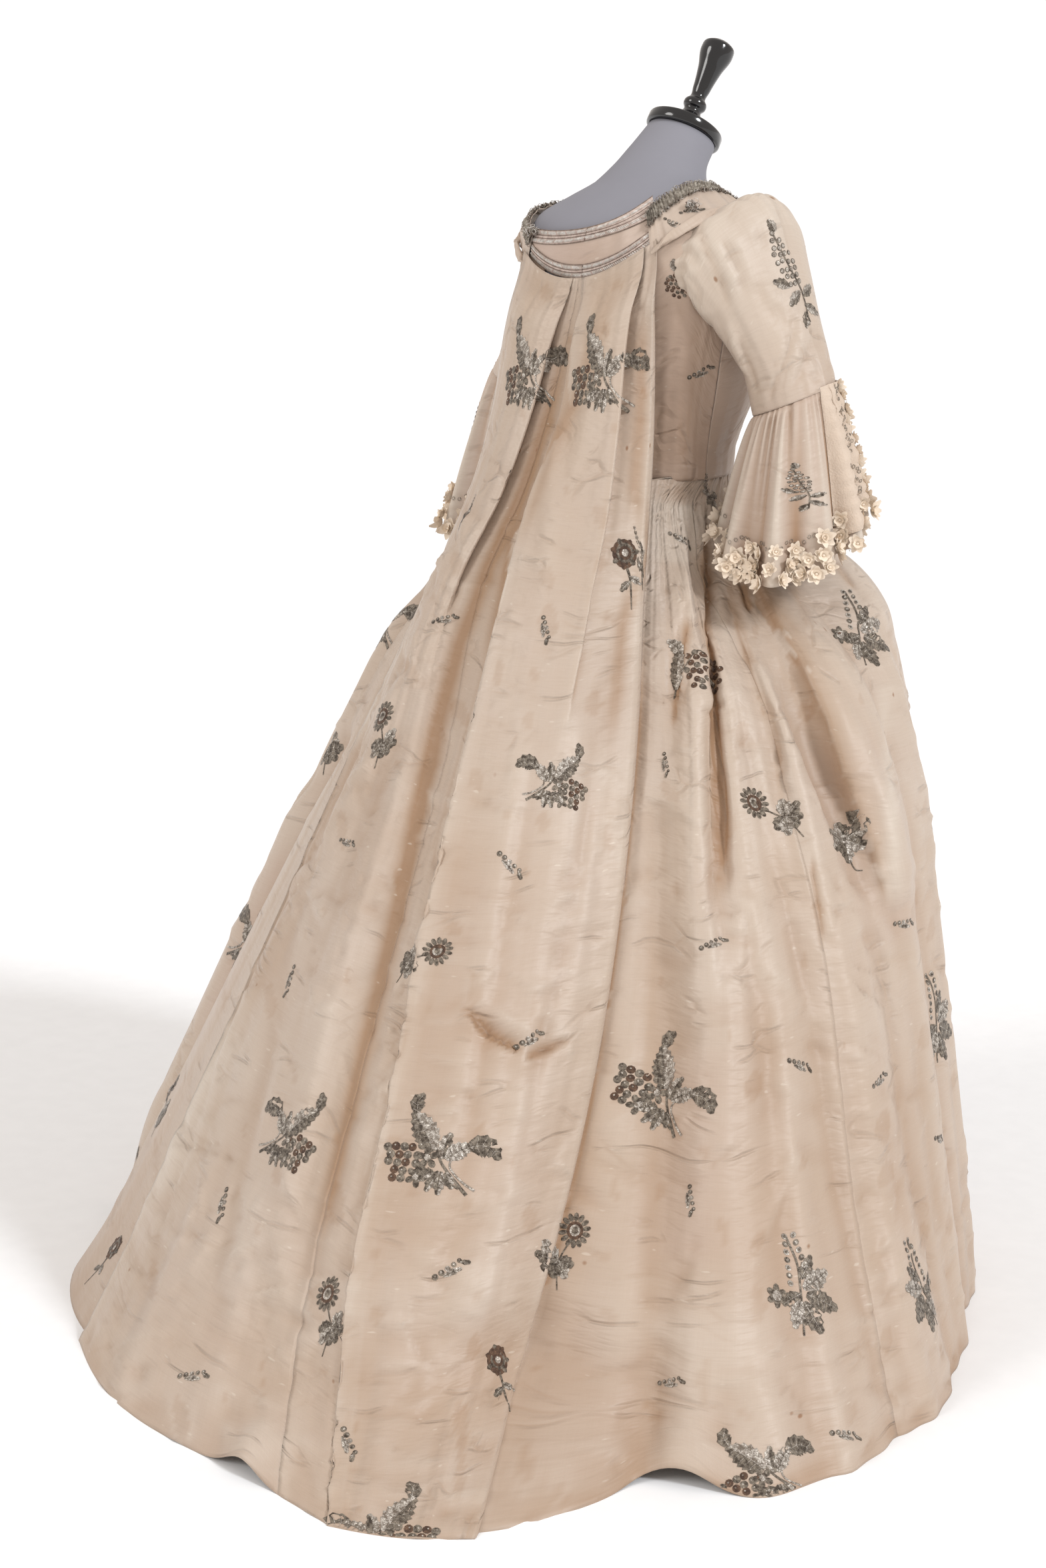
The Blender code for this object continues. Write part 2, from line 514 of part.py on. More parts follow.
def skirt_radius(side, angle, height):
    """Radius of the skirt, smooth both ways, with its folds."""
    table = np.array(SKIRT_RIGHT if side < 0 else SKIRT_LEFT)
    angle, height = np.broadcast_arrays(np.asarray(angle, float), np.asarray(height, float))
    radii = [smooth(height, table[:, 0], table[:, k + 1]) for k in range(len(SKIRT_ANGLES))]
    place = np.clip(angle / COLUMN_STEP, 0, len(SKIRT_ANGLES) - 1.0001)
    first = place.astype(int)
    t = place - first

    def radius(k):
        return np.choose(np.clip(k, 0, len(radii) - 1), radii)

    before = np.where(first == 0, 0, (radius(first + 1) - radius(first - 1)) / 2)
    after = np.where(first == len(radii) - 2, 0, (radius(first + 2) - radius(first)) / 2)
    result = ((1 + 2 * t) * (1 - t) ** 2 * radius(first) + t * (1 - t) ** 2 * before
              + t * t * (3 - 2 * t) * radius(first + 1) + t * t * (t - 1) * after)
    for _, depth, width, line in FOLDS:
        heights, angles = np.array(line).T
        shift = 0 if side < 0 else LEFT_SHIFT
        away = np.radians(angle - shift - smooth(height, heights, angles)) * result
        low, high = FOLD_ENDS
        ends = 1.0 if heights[-1] == 0 else fade(height, heights[-1] - low, heights[-1] + high)
        ends = ends * (1 - fade(height, heights[0] - low, heights[0] + low))
        ends = ends * (1 - fade(height, *FOLD_FREE))
        result = result + depth * ends * np.exp(-(away / width) ** 2)
    dip = HEM_DIP * (1 - fade(height, 0.0, DIP_TOP)) * np.exp(-((angle - HEM_DIP_ANGLE) / DIP_WIDTH) ** 2)
    return result - (dip if side < 0 else dip * LEFT_DIP)


def skirt_grid(side, first_angle, last_angle, steps, heights=SKIRT_HEIGHTS):
    """Grid over the skirt between two angles, each a function of the height."""
    rows = []
    for height in heights:
        angle = np.linspace(first_angle(height), last_angle(height), steps + 1)
        if height >= WAIST:
            row = torso(side * angle, WAIST - SEAM, CLOTH + EASE)
        else:
            radius = skirt_radius(side, angle, height)
            turn = np.radians(angle)
            row = np.column_stack([side * radius * np.sin(turn), -radius * np.cos(turn),
                                   np.full(angle.shape, height)])
        rows.append(row)
    grid = np.array(rows)
    low = 1 - fade(grid[..., 2], 0.0, ARCH_TOP)
    grid[..., 2] += arch_lift(grid[..., 0], grid[..., 1]) * low * (side < 0)
    return grid


def seam_angle(side, height):
    """Angle of the line where the skirt side meets the sack."""
    x, y = outer_edge(side, height, "seam")
    return math.degrees(math.atan2(abs(x), -y))


def line_angle(line, height):
    heights, angles = np.array(line).T
    return float(smooth(height, heights, angles))


SIDE_STEPS, FRONT_STEPS = 8, 10
SACK_PULL = 0.4           # share of the side width that is drawn in to the edge of the sack


def skirt_half(side):
    """Grid of one side of the skirt, from the edge of the sack to the front edge."""
    def sack_line(height):
        return seam_angle(side, height)

    def width_line(height):
        return line_angle(WIDTH_SEAM, height)

    def front_line(height):
        return line_angle(FRONT_EDGE, height)

    back = skirt_grid(side, sack_line, width_line, SIDE_STEPS)
    front = skirt_grid(side, width_line, front_line, FRONT_STEPS)
    for row, height in zip(back, SKIRT_HEIGHTS):
        if height >= WAIST:
            continue
        target = outer_edge(side, height, "seam") + np.array([0.0, -SEAM * 1.5])
        share = np.linspace(0, 1, SIDE_STEPS + 1)
        pull = np.clip(1 - share / SACK_PULL, 0, 1) ** 2
        row[:, :2] += (target - row[0, :2]) * pull[:, None]
    return np.concatenate([back, front[:, 1:]], axis=1)


POCKET_REACH = 0.020                 # half height over which the pocket slit is open


def build_skirt():
    silk = material(*FINISHES["silk"])
    heights = np.array(SKIRT_HEIGHTS)
    pocket = POCKET_WIDTH * np.exp(-((heights - POCKET_HEIGHT) / POCKET_REACH) ** 2)
    for side, word in ((RIGHT, "right"), (LEFT, "left")):
        split_walls(skirt_half(side), SIDE_STEPS, ("skirt_side_" + word, "skirt_front_" + word), silk, pocket)


PETTICOAT_LAP = 7                    # degrees that it reaches behind each front edge
PETTICOAT_INSIDE = (0.0035, 0.008)   # how far inside the skirt it lies: at the waist, and more below
PETTICOAT_EASED = (0.90, 1.06)       # heights between which that changes
PETTICOAT_HEIGHTS = SKIRT_HEIGHTS[1:7] + SKIRT_HEIGHTS[8::2]
PETTICOAT_COLUMNS = 9


def build_petticoat():
    """The front of the petticoat, inside the open front of the gown."""
    rows = []
    for height in PETTICOAT_HEIGHTS:
        reach = line_angle(FRONT_EDGE, height) + PETTICOAT_LAP
        angle = np.linspace(-reach, reach, PETTICOAT_COLUMNS)
        inside = PETTICOAT_INSIDE[0] + PETTICOAT_INSIDE[1] * float(1 - fade(height, *PETTICOAT_EASED))
        radius = skirt_radius(RIGHT, np.abs(angle), height) - inside
        turn = np.radians(angle)
        rows.append(np.column_stack([radius * np.sin(turn), -radius * np.cos(turn),
                                     np.full(angle.shape, height)]))
    outer = np.array(rows)
    wall("petticoat_front", outer, offset(outer, -CLOTH), material(*FINISHES["silk"]))


# ---------------------------------------------------------------- the bodice
SIDE_SEAM = 97
BACK_INNER = 141
FRONT_INNER = 25
SIDE_GAP = 0.15                      # degrees between each half and the side seam
STOMACHER_EDGE = 24.8
STOMACHER_TOP = ((-FRONT_INNER, 1.330), (0, 1.322), (FRONT_INNER, 1.330))
BODICE_SHARES = (0, 0.2, 0.4, 0.55, 0.67, 0.78, 0.87, 0.94, 1)   # rows from the waist to the top
# top edges of the bodice as (angle, height): the neckline, shoulder and armhole
BACK_TOP = {RIGHT: ((97, 1.283), (103, 1.296), (110, 1.335), (118, 1.370), (125, 1.388),
                    (133, 1.386), (141, 1.368)),
            LEFT: ((97, 1.263), (103, 1.272), (110, 1.305), (118, 1.338), (125, 1.356),
                   (133, 1.354), (141, 1.338))}
FRONT_TOP = {RIGHT: ((25, 1.330), (33, 1.372), (45, 1.398), (58, 1.400), (68, 1.372),
                     (78, 1.325), (88, 1.294), (96.7, 1.283)),
             LEFT: ((25, 1.330), (33, 1.352), (45, 1.366), (58, 1.364), (68, 1.340),
                    (78, 1.300), (88, 1.272), (96.7, 1.263))}


def bodice_grid(angles, tops, side, lift):
    """Grid on the torso from the waist seam up to a top edge given at angles."""
    knots, heights = np.array(tops).T
    rows = []
    for share in BODICE_SHARES:
        top = smooth(angles, knots, heights)
        rows.append(torso(side * np.asarray(angles), WAIST + SEAM / 2 + share * (top - WAIST), lift))
    return np.array(rows)


def layer(name, grid_at, low, high, finish):
    """A wall between two lifts above the torso."""
    wall(name, grid_at(high), grid_at(low), finish)


def build_bodice():
    silk = material(*FINISHES["silk"])
    back = np.linspace(SIDE_SEAM + SIDE_GAP, BACK_INNER, 8)
    front = np.linspace(FRONT_INNER, SIDE_SEAM - SIDE_GAP, 10)
    for side, word in ((RIGHT, "right"), (LEFT, "left")):
        layer("bodice_back_" + word, lambda lift: bodice_grid(back, BACK_TOP[side], side, lift),
              EASE, EASE + CLOTH, silk)
        layer("bodice_front_" + word, lambda lift: bodice_grid(front, FRONT_TOP[side], side, lift),
              EASE, EASE + CLOTH, silk)
    middle = np.linspace(-STOMACHER_EDGE, STOMACHER_EDGE, 7)
    layer("stomacher", lambda lift: bodice_grid(middle, STOMACHER_TOP, 1, lift),
          EASE, EASE + CLOTH, silk)


NECK_ENDS = (-0.103, 0.096)
NECK_REACH, NECK_COLUMNS = 36, 11    # degrees each way from the centre back, and points across
NECK_LEVEL = 1.37                    # height at which the band's width is measured


def neck_strip(low, high, lift):
    """A strip across the back of the neck between two edges, each a function of x."""
    angles = 180 + np.linspace(-NECK_REACH, NECK_REACH, NECK_COLUMNS)
    flat = torso(angles, NECK_LEVEL)[:, 0]
    spread = np.linspace(NECK_ENDS[0], NECK_ENDS[1], len(angles))
    angles = np.interp(spread, flat[::-1], angles[::-1])
    return np.array([torso(angles, low(spread) + (high(spread) - low(spread)) * share, lift)
                     for share in (0, 0.5, 1)])


def build_neck():
    silk = material(*FINISHES["silk"])
    braid = material(*FINISHES["braid"])
    layer("neck_band", lambda lift: neck_strip(band_low, band_high, lift), EASE, EASE + CLOTH, silk)
    under = EASE + CLOTH + SEAM
    layer("neck_lace_lower", lambda lift: neck_strip(band_low, lambda x: band_low(x) + LACE_WIDTH, lift),
          under, under + TRIM, braid)
    layer("neck_lace_upper", lambda lift: neck_strip(lambda x: band_high(x) - LACE_WIDTH, band_high, lift),
          under, under + TRIM, braid)


# the robing: a folded strip from the back neck over the shoulder and down the front edge
FRILL_SHARE = 0.3         # the part of the robing's width that its metal frill covers
FRILL_HEIGHT = 0.004
ROBING_SHARES = (0, FRILL_SHARE, 0.65, 1)
ROBING_LIFT = SEAM * 4    # how far the robing lies above the bodice
ROBING_STEPS = 23
ROBING_COLUMNS = ("inner_angle", "inner_height", "outer_angle", "outer_height")
ROBING_LINES = {
    RIGHT: ((143.0, 1.4180, 139.0, 1.3780), (128.0, 1.4300, 126.0, 1.3950), (108.0, 1.4400, 108.0, 1.4080),
            (85.0, 1.4420, 86.0, 1.4100), (62.0, 1.4380, 66.0, 1.4060), (44.0, 1.4200, 53.0, 1.3900),
            (31.0, 1.3900, 43.0, 1.3680), (24.0, 1.3550, 37.0, 1.3400), (21.0, 1.3000, 34.0, 1.2900),
            (20.0, 1.2200, 34.0, 1.2200), (19.0, 1.1500, 34.0, 1.1500), (17.5, 1.0770, 32.0, 1.0770)),
    LEFT: ((143.5, 1.3840, 138.0, 1.3480), (129.0, 1.3940, 125.0, 1.3600), (108.0, 1.4020, 107.0, 1.3710),
           (85.0, 1.4040, 86.0, 1.3740), (62.0, 1.4020, 64.0, 1.3710), (44.0, 1.3920, 52.0, 1.3620),
           (31.0, 1.3720, 43.0, 1.3460), (24.0, 1.3440, 37.0, 1.3240), (21.0, 1.3000, 34.0, 1.2850),
           (20.0, 1.2200, 34.0, 1.2200), (19.0, 1.1500, 34.0, 1.1500), (17.5, 1.0770, 32.0, 1.0770)),
}


def robing_grid(side, lift, shares, along=ROBING_STEPS):
    """Grid over part of the robing's width, above the torso."""
    line = np.array(ROBING_LINES[side])
    knots = np.arange(len(line))
    place = np.linspace(0, len(line) - 1, along)
    values = [smooth(place, knots, line[:, k]) for k in range(4)]
    grid = []
    for share in shares:
        angle = values[0] + (values[2] - values[0]) * share
        height = values[1] + (values[3] - values[1]) * share
        grid.append(torso(side * angle, height, lift))
    return np.array(grid)


def build_robings():
    silk = material(*FINISHES["silk"])
    frill = material(*FINISHES["frill"])
    under = EASE + CLOTH + ROBING_LIFT
    top = under + CLOTH + SEAM
    for side, word in ((RIGHT, "right"), (LEFT, "left")):
        layer("robing_" + word, lambda lift: robing_grid(side, lift, ROBING_SHARES),
              under, under + CLOTH, silk)
        layer("robing_frill_" + word, lambda lift: robing_grid(side, lift, (0, FRILL_SHARE)),
              top, top + FRILL_HEIGHT, frill)


# ---------------------------------------------------------------- the sleeves
SLEEVES = {side: columns(SLEEVE_COLUMNS, rings) for side, rings in SLEEVE_RINGS.items()}
LAST_RING = len(SLEEVE_RINGS[RIGHT]) - 1
SLEEVE_SIDES = 16
SLEEVE_ROWS = (0, 0.6, 1.2, 2, 3, 4, 5, 6)      # places along the sleeve's table
CUFF_LEAN = (0.70, 0.30)                        # spread all round, and more of it outside
CUFF_CURVE = 0.8                                # how early the spread comes, going down
FLOUNCE_SHARES = (0, 0.3, 0.65, 1.0)            # rows down the flounce
LACE_SHARES = (0.0, 0.5, 1.0)                   # rows down the white lace
LACE_DEEPEST = -20                              # the angle where the white lace is deepest
UNDER_FLOUNCE = SEAM * 1.5                      # gap between the flounce and what lies against it


def sleeve_ring(side, row, grow=0.0, sides=SLEEVE_SIDES):
    """Ring of the sleeve at a row of its table; 0 degrees is outside, 90 is the back."""
    values = {key: float(smooth(row, np.arange(LAST_RING + 1), SLEEVES[side][key])) for key in SLEEVE_COLUMNS}
    outer = np.array([side * values["outer_x"], values["outer_y"], values["outer_z"]])
    inner = np.array([side * values["inner_x"], values["inner_y"], values["inner_z"]])
    centre = (outer + inner) / 2
    reach = (outer - inner) / 2
    length = np.linalg.norm(reach)
    reach = reach * (length + grow) / length
    depth = np.array([0.0, values["half_depth"] + grow, 0.0])
    turn = np.linspace(0, 2 * math.pi, sides, endpoint=False)[:, None]
    return centre + reach * np.cos(turn) + depth * np.sin(turn)


def cuff(side, rows, fall, spread, grow, flute_depth):
    """Grid of a ruffle that hangs from the end of the sleeve; fall gives its depth by angle."""
    ring = sleeve_ring(side, LAST_RING, grow, FLOUNCE_SIDES)
    centre = ring.mean(axis=0)
    turn = np.linspace(0, 2 * math.pi, FLOUNCE_SIDES, endpoint=False)
    out = ring - centre
    out[:, 2] = 0
    out = out / np.linalg.norm(out, axis=1, keepdims=True)
    depth = fall(turn)
    grid = []
    for share in rows:
        ripple = flute_depth * share * np.cos(FLOUNCE_FLUTES * turn)
        lean = CUFF_LEAN[0] + CUFF_LEAN[1] * np.cos(turn)
        move = (spread * lean * share ** CUFF_CURVE * depth / FLOUNCE_DEPTH + ripple)[:, None] * out
        point = ring + move
        point[:, 2] = ring[:, 2] * (1 - share) + centre[2] * share - SEAM - depth * share
        grid.append(point)
    return np.array(grid)


def flounce_fall(turn):
    deepest = math.radians(FLOUNCE_DEEPEST)
    return FLOUNCE_DEPTH + FLOUNCE_SWING * np.cos(turn - deepest)


def lace_fall(turn):
    return LACE_DEPTH + LACE_SWING * np.cos(turn - math.radians(LACE_DEEPEST))


def build_sleeves():
    silk = material(*FINISHES["silk"])
    cream = material(*FINISHES["fringe"])
    white = material(*FINISHES["lace"])
    for side, word in ((RIGHT, "right"), (LEFT, "left")):
        wall("sleeve_" + word, np.array([sleeve_ring(side, r) for r in SLEEVE_ROWS]),
             np.array([sleeve_ring(side, r, -CLOTH) for r in SLEEVE_ROWS]), silk, closed=True)

        def flounce(grow, shares=FLOUNCE_SHARES):
            return cuff(side, shares, flounce_fall, FLOUNCE_SPREAD, grow, FLUTE_DEPTH)

        wall("sleeve_flounce_" + word, flounce(0), flounce(-CLOTH), silk, closed=True)
        hem = (1 - FRINGE_HEIGHT / FLOUNCE_DEPTH, 1.0)
        wall("flounce_fringe_" + word, flounce(FRINGE_REACH, hem), flounce(UNDER_FLOUNCE, hem), cream,
             closed=True)

        def frill(grow):
            return cuff(side, LACE_SHARES, lace_fall, LACE_SPREAD, grow, 0.0)

        lace = -CLOTH - UNDER_FLOUNCE
        wall("lace_frill_" + word, frill(lace), frill(lace - TRIM), white, closed=True)


def main():
    for thing in list(bpy.data.objects):
        bpy.data.objects.remove(thing, do_unlink=True)
    build_form()
    build_sack()
    build_skirt()
    build_petticoat()
    build_bodice()
    build_neck()
    build_robings()
    build_sleeves()


main()
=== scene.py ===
"""Looks of the robe a la francaise and its dress form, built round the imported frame.

The cloth follows the same rails, rings and radii as the frame's solids, on finer grids with
its pleats, creases, brocade, laces and fringes added.  The wearer faces -Y, +X is the
wearer's left and +Z is up.  All lengths are metres and all angles degrees, unless a name
says otherwise.
"""
import json
import math

import bpy
import numpy as np
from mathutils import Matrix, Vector
from mathutils.bvhtree import BVHTree


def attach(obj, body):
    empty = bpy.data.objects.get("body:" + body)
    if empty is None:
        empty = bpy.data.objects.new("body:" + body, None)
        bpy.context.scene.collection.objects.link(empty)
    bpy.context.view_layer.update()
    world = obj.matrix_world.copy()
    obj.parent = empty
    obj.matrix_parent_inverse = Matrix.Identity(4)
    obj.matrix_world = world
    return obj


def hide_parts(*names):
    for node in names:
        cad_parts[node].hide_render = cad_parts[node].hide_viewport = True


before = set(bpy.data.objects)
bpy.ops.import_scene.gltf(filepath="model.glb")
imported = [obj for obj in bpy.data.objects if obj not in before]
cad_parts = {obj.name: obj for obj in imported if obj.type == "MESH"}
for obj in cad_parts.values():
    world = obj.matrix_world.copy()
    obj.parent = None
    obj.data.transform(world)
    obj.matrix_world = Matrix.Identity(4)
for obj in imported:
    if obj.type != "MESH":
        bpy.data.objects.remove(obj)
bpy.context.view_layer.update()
RIGHT, LEFT = -1, 1
SIDES = ((RIGHT, "right"), (LEFT, "left"))

# ---------------------------------------------------------------- sizes shared with the frame
SHELL = 0.0006            # thickness of the silk as it is shown
SEAM = 0.0004
EASE = 0.0016
CLOTH = 0.0020
WAIST = 1.075
BAND_LOWER = (1.330, -0.124, 3.17)
BAND_UPPER = (1.3915, -0.188, 1.11)
NECK_TILT = math.radians(33)
CAP_RADIUS = 0.052
CAP_HEIGHT = 0.017
POLE_RADIUS = 0.016
BASE_RADIUS = 0.200
BASE_HEIGHT = 0.012
FORM_BOTTOM = 0.900

TORSO_COLUMNS = ("height", "centre", "half_width", "front", "back", "power", "tilt")
TORSO_RINGS = (
    (0.900, -0.010, 0.125, 0.105, 0.105, 2.2, 0),
    (0.980, -0.016, 0.126, 0.102, 0.100, 2.2, 0),
    (1.075, -0.030, 0.130, 0.098, 0.093, 2.3, 0),
    (1.150, -0.032, 0.137, 0.108, 0.100, 2.3, 0),
    (1.220, -0.035, 0.150, 0.125, 0.112, 2.4, 0),
    (1.290, -0.038, 0.164, 0.138, 0.120, 2.4, 0),
    (1.340, -0.040, 0.172, 0.130, 0.122, 2.4, 0),
    (1.380, -0.042, 0.170, 0.112, 0.119, 2.4, 0),
    (1.405, -0.046, 0.152, 0.092, 0.110, 2.3, 0),
    (1.425, -0.051, 0.114, 0.074, 0.090, 2.1, 3),
    (1.440, -0.058, 0.085, 0.062, 0.070, 2.0, 8),
    (1.455, -0.068, 0.070, 0.055, 0.058, 2.0, 15),
    (1.475, -0.084, 0.057, 0.050, 0.051, 2.0, 24),
    (1.503, -0.112, 0.048, 0.046, 0.046, 2.0, 33),
)

SACK_COLUMNS = ("height", "left_x", "left_y", "fold_x", "fold_y", "centre_x", "centre_y",
                "ridge_x", "ridge_y", "pleat_x", "pleat_y", "right_x", "right_y")
SACK_SECTIONS = (
    (1.345, 0.115, 0.075, 0.010, 0.094, 0.000, 0.090, -0.015, 0.094, -0.100, 0.083, -0.115, 0.075),
    (1.250, 0.136, 0.088, 0.026, 0.118, 0.008, 0.105, -0.015, 0.120, -0.103, 0.113, -0.132, 0.092),
    (1.150, 0.140, 0.108, 0.028, 0.156, 0.008, 0.140, -0.028, 0.160, -0.125, 0.152, -0.150, 0.115),
    (1.050, 0.146, 0.142, 0.038, 0.200, 0.014, 0.182, -0.026, 0.215, -0.148, 0.195, -0.165, 0.140),
    (0.950, 0.160, 0.190, 0.062, 0.252, 0.028, 0.237, -0.041, 0.275, -0.166, 0.245, -0.180, 0.165),
    (0.800, 0.174, 0.280, 0.060, 0.348, 0.000, 0.337, -0.082, 0.375, -0.201, 0.330, -0.219, 0.215),
    (0.600, 0.184, 0.415, 0.005, 0.498, -0.077, 0.490, -0.146, 0.520, -0.254, 0.455, -0.297, 0.330),
    (0.400, 0.197, 0.540, -0.040, 0.632, -0.141, 0.630, -0.212, 0.650, -0.314, 0.585, -0.352, 0.440),
    (0.200, 0.215, 0.655, -0.075, 0.752, -0.185, 0.750, -0.262, 0.770, -0.370, 0.705, -0.392, 0.560),
    (0.070, 0.224, 0.735, -0.110, 0.838, -0.235, 0.838, -0.325, 0.852, -0.410, 0.790, -0.425, 0.660),
    (0.000, 0.206, 0.812, -0.175, 0.914, -0.300, 0.925, -0.403, 0.940, -0.500, 0.901, -0.548, 0.846),
)
SACK_TOP = SACK_SECTIONS[0][0]
TURN_COLUMNS = ("height", "turn_x", "turn_y", "seam_x", "seam_y")
TURN_SECTIONS = (
    (1.345, 0.002, 0.003, 0.020, 0.030),
    (1.250, 0.004, 0.010, 0.030, 0.050),
    (1.075, 0.007, 0.018, 0.062, 0.082),
    (0.950, 0.009, 0.019, 0.022, 0.036),
    (0.850, 0.009, 0.018, 0.009, 0.018),
    (0.000, 0.007, 0.014, 0.007, 0.014),
)
LEFT_BULGE = 0.016
RIGHT_BULGE = 0.008
HEM_BULGE = 0.042

SKIRT_ANGLES = (0, 30, 60, 90, 120, 150, 180)
SKIRT_TOP = (
    (1.075, 0.132, 0.136, 0.140, 0.134, 0.113, 0.080, 0.070),
    (1.040, 0.160, 0.165, 0.168, 0.146, 0.133, 0.115, 0.110),
    (1.000, 0.200, 0.220, 0.232, 0.164, 0.162, 0.155, 0.150),
    (0.950, 0.235, 0.275, 0.312, 0.200, 0.205, 0.195, 0.190),
)
SKIRT_RADII = {
    RIGHT: SKIRT_TOP + (
        (0.900, 0.250, 0.298, 0.358, 0.280, 0.250, 0.235, 0.230),
        (0.850, 0.262, 0.308, 0.375, 0.350, 0.300, 0.280, 0.270),
        (0.720, 0.280, 0.320, 0.400, 0.440, 0.400, 0.370, 0.360),
        (0.500, 0.300, 0.340, 0.430, 0.500, 0.540, 0.510, 0.500),
        (0.220, 0.330, 0.360, 0.462, 0.562, 0.684, 0.720, 0.720),
        (0.100, 0.345, 0.380, 0.475, 0.590, 0.772, 0.860, 0.840),
        (0.000, 0.360, 0.400, 0.480, 0.610, 0.860, 1.000, 0.950),
    ),
    LEFT: SKIRT_TOP + (
        (0.900, 0.250, 0.298, 0.358, 0.284, 0.262, 0.250, 0.240),
        (0.850, 0.262, 0.308, 0.375, 0.350, 0.312, 0.292, 0.285),
        (0.720, 0.280, 0.320, 0.395, 0.425, 0.385, 0.370, 0.368),
        (0.500, 0.300, 0.340, 0.430, 0.480, 0.482, 0.474, 0.490),
        (0.220, 0.330, 0.360, 0.455, 0.530, 0.600, 0.610, 0.630),
        (0.100, 0.345, 0.380, 0.470, 0.550, 0.650, 0.680, 0.700),
        (0.000, 0.360, 0.400, 0.475, 0.560, 0.680, 0.750, 0.780),
    ),
}
WIDTH_SEAM = ((1.075, 96), (1.04, 98), (0.95, 103), (0.80, 107), (0.475, 109), (0.0, 112.5))
FRONT_EDGE = ((1.075, 15), (0.90, 18), (0.50, 22), (0.0, 27))
HEM_DIP = 0.085
HEM_DIP_ANGLE = 136
HEM_DIP_WIDTH = 8.0
PETTICOAT_LAP = 7
PETTICOAT_DROP = 0.0015     # how far below the waist seam the petticoat starts
PETTICOAT_INSIDE = (0.0035, 0.008)

SLEEVE_COLUMNS = ("outer_x", "outer_y", "outer_z", "inner_x", "inner_y", "inner_z", "half_depth")
SLEEVE_RINGS = {
    RIGHT: (
        (0.150, -0.045, 1.428, 0.179, -0.035, 1.288, 0.064),
        (0.181, -0.057, 1.441, 0.182, -0.042, 1.280, 0.071),
        (0.211, -0.062, 1.418, 0.184, -0.045, 1.268, 0.072),
        (0.235, -0.060, 1.362, 0.185, -0.048, 1.250, 0.068),
        (0.262, -0.058, 1.292, 0.188, -0.050, 1.226, 0.063),
        (0.292, -0.055, 1.225, 0.195, -0.050, 1.195, 0.058),
        (0.305, -0.050, 1.188, 0.197, -0.047, 1.170, 0.056),
    ),
    LEFT: (
        (0.184, -0.050, 1.358, 0.179, -0.045, 1.262, 0.058),
        (0.192, -0.062, 1.366, 0.181, -0.052, 1.258, 0.062),
        (0.203, -0.071, 1.358, 0.183, -0.058, 1.248, 0.066),
        (0.218, -0.077, 1.320, 0.186, -0.064, 1.234, 0.064),
        (0.243, -0.081, 1.266, 0.189, -0.070, 1.213, 0.061),
        (0.277, -0.082, 1.212, 0.192, -0.073, 1.187, 0.058),
        (0.297, -0.080, 1.184, 0.196, -0.074, 1.167, 0.056),
    ),
}
ROBING_LINES = {
    RIGHT: ((149.0, 1.4080, 147.0, 1.3640), (143.0, 1.4180, 139.0, 1.3780), (128.0, 1.4300, 126.0, 1.3950),
            (108.0, 1.4400, 108.0, 1.4080),
            (85.0, 1.4420, 86.0, 1.4100), (62.0, 1.4380, 66.0, 1.4060), (44.0, 1.4200, 53.0, 1.3900),
            (31.0, 1.3900, 43.0, 1.3680), (24.0, 1.3550, 37.0, 1.3400), (21.0, 1.3000, 34.0, 1.2900),
            (20.0, 1.2200, 34.0, 1.2200), (19.0, 1.1500, 34.0, 1.1500), (17.5, 1.0770, 32.0, 1.0770)),
    LEFT: ((149.5, 1.3760, 146.0, 1.3360), (143.5, 1.3840, 138.0, 1.3480), (129.0, 1.3940, 125.0, 1.3600),
           (108.0, 1.4020, 107.0, 1.3710),
           (85.0, 1.4040, 86.0, 1.3740), (62.0, 1.4020, 64.0, 1.3710), (44.0, 1.3920, 52.0, 1.3620),
           (31.0, 1.3720, 43.0, 1.3460), (24.0, 1.3440, 37.0, 1.3240), (21.0, 1.3000, 34.0, 1.2850),
           (20.0, 1.2200, 34.0, 1.2200), (19.0, 1.1500, 34.0, 1.1500), (17.5, 1.0770, 32.0, 1.0770)),
}
SIDE_SEAM = 97
BACK_INNER = 160
BACK_TOP = {RIGHT: ((97, 1.286), (103, 1.306), (110, 1.350), (118, 1.388), (125, 1.404),
                    (133, 1.404), (141, 1.392), (160, 1.362)),
            LEFT: ((97, 1.266), (103, 1.282), (110, 1.320), (118, 1.354), (125, 1.370),
                   (133, 1.370), (141, 1.358), (160, 1.340))}
FRONT_TOP = {RIGHT: ((25, 1.330), (33, 1.372), (45, 1.398), (58, 1.400), (68, 1.372),
                     (78, 1.325), (88, 1.294), (96.7, 1.283)),
             LEFT: ((25, 1.330), (33, 1.352), (45, 1.366), (58, 1.364), (68, 1.340),
                    (78, 1.300), (88, 1.272), (96.7, 1.263))}
NECK_ENDS = (-0.112, 0.104)


# ---------------------------------------------------------------- curves and grids
def columns(names, rows):
    """A table as one array for each named column."""
    return dict(zip(names, np.array(rows, float).T))


def smooth(x, knots, heights):
    """A smooth curve through the knots, level outside them."""
    knots = np.asarray(knots, float)
    heights = np.asarray(heights, float)
    if knots[0] > knots[-1]:
        knots, heights = knots[::-1], heights[::-1]
    step = np.diff(knots)
    rise = np.diff(heights) / step
    slope = np.concatenate(([rise[0]], (rise[:-1] * step[1:] + rise[1:] * step[:-1])
                            / (step[1:] + step[:-1]), [rise[-1]]))
    x = np.clip(np.asarray(x, float), knots[0], knots[-1])
    i = np.clip(np.searchsorted(knots, x, side="right") - 1, 0, len(step) - 1)
    t = (x - knots[i]) / step[i]
    return ((1 + 2 * t) * (1 - t) ** 2 * heights[i] + t * (1 - t) ** 2 * step[i] * slope[i]
            + t * t * (3 - 2 * t) * heights[i + 1] + t * t * (t - 1) * step[i] * slope[i + 1])


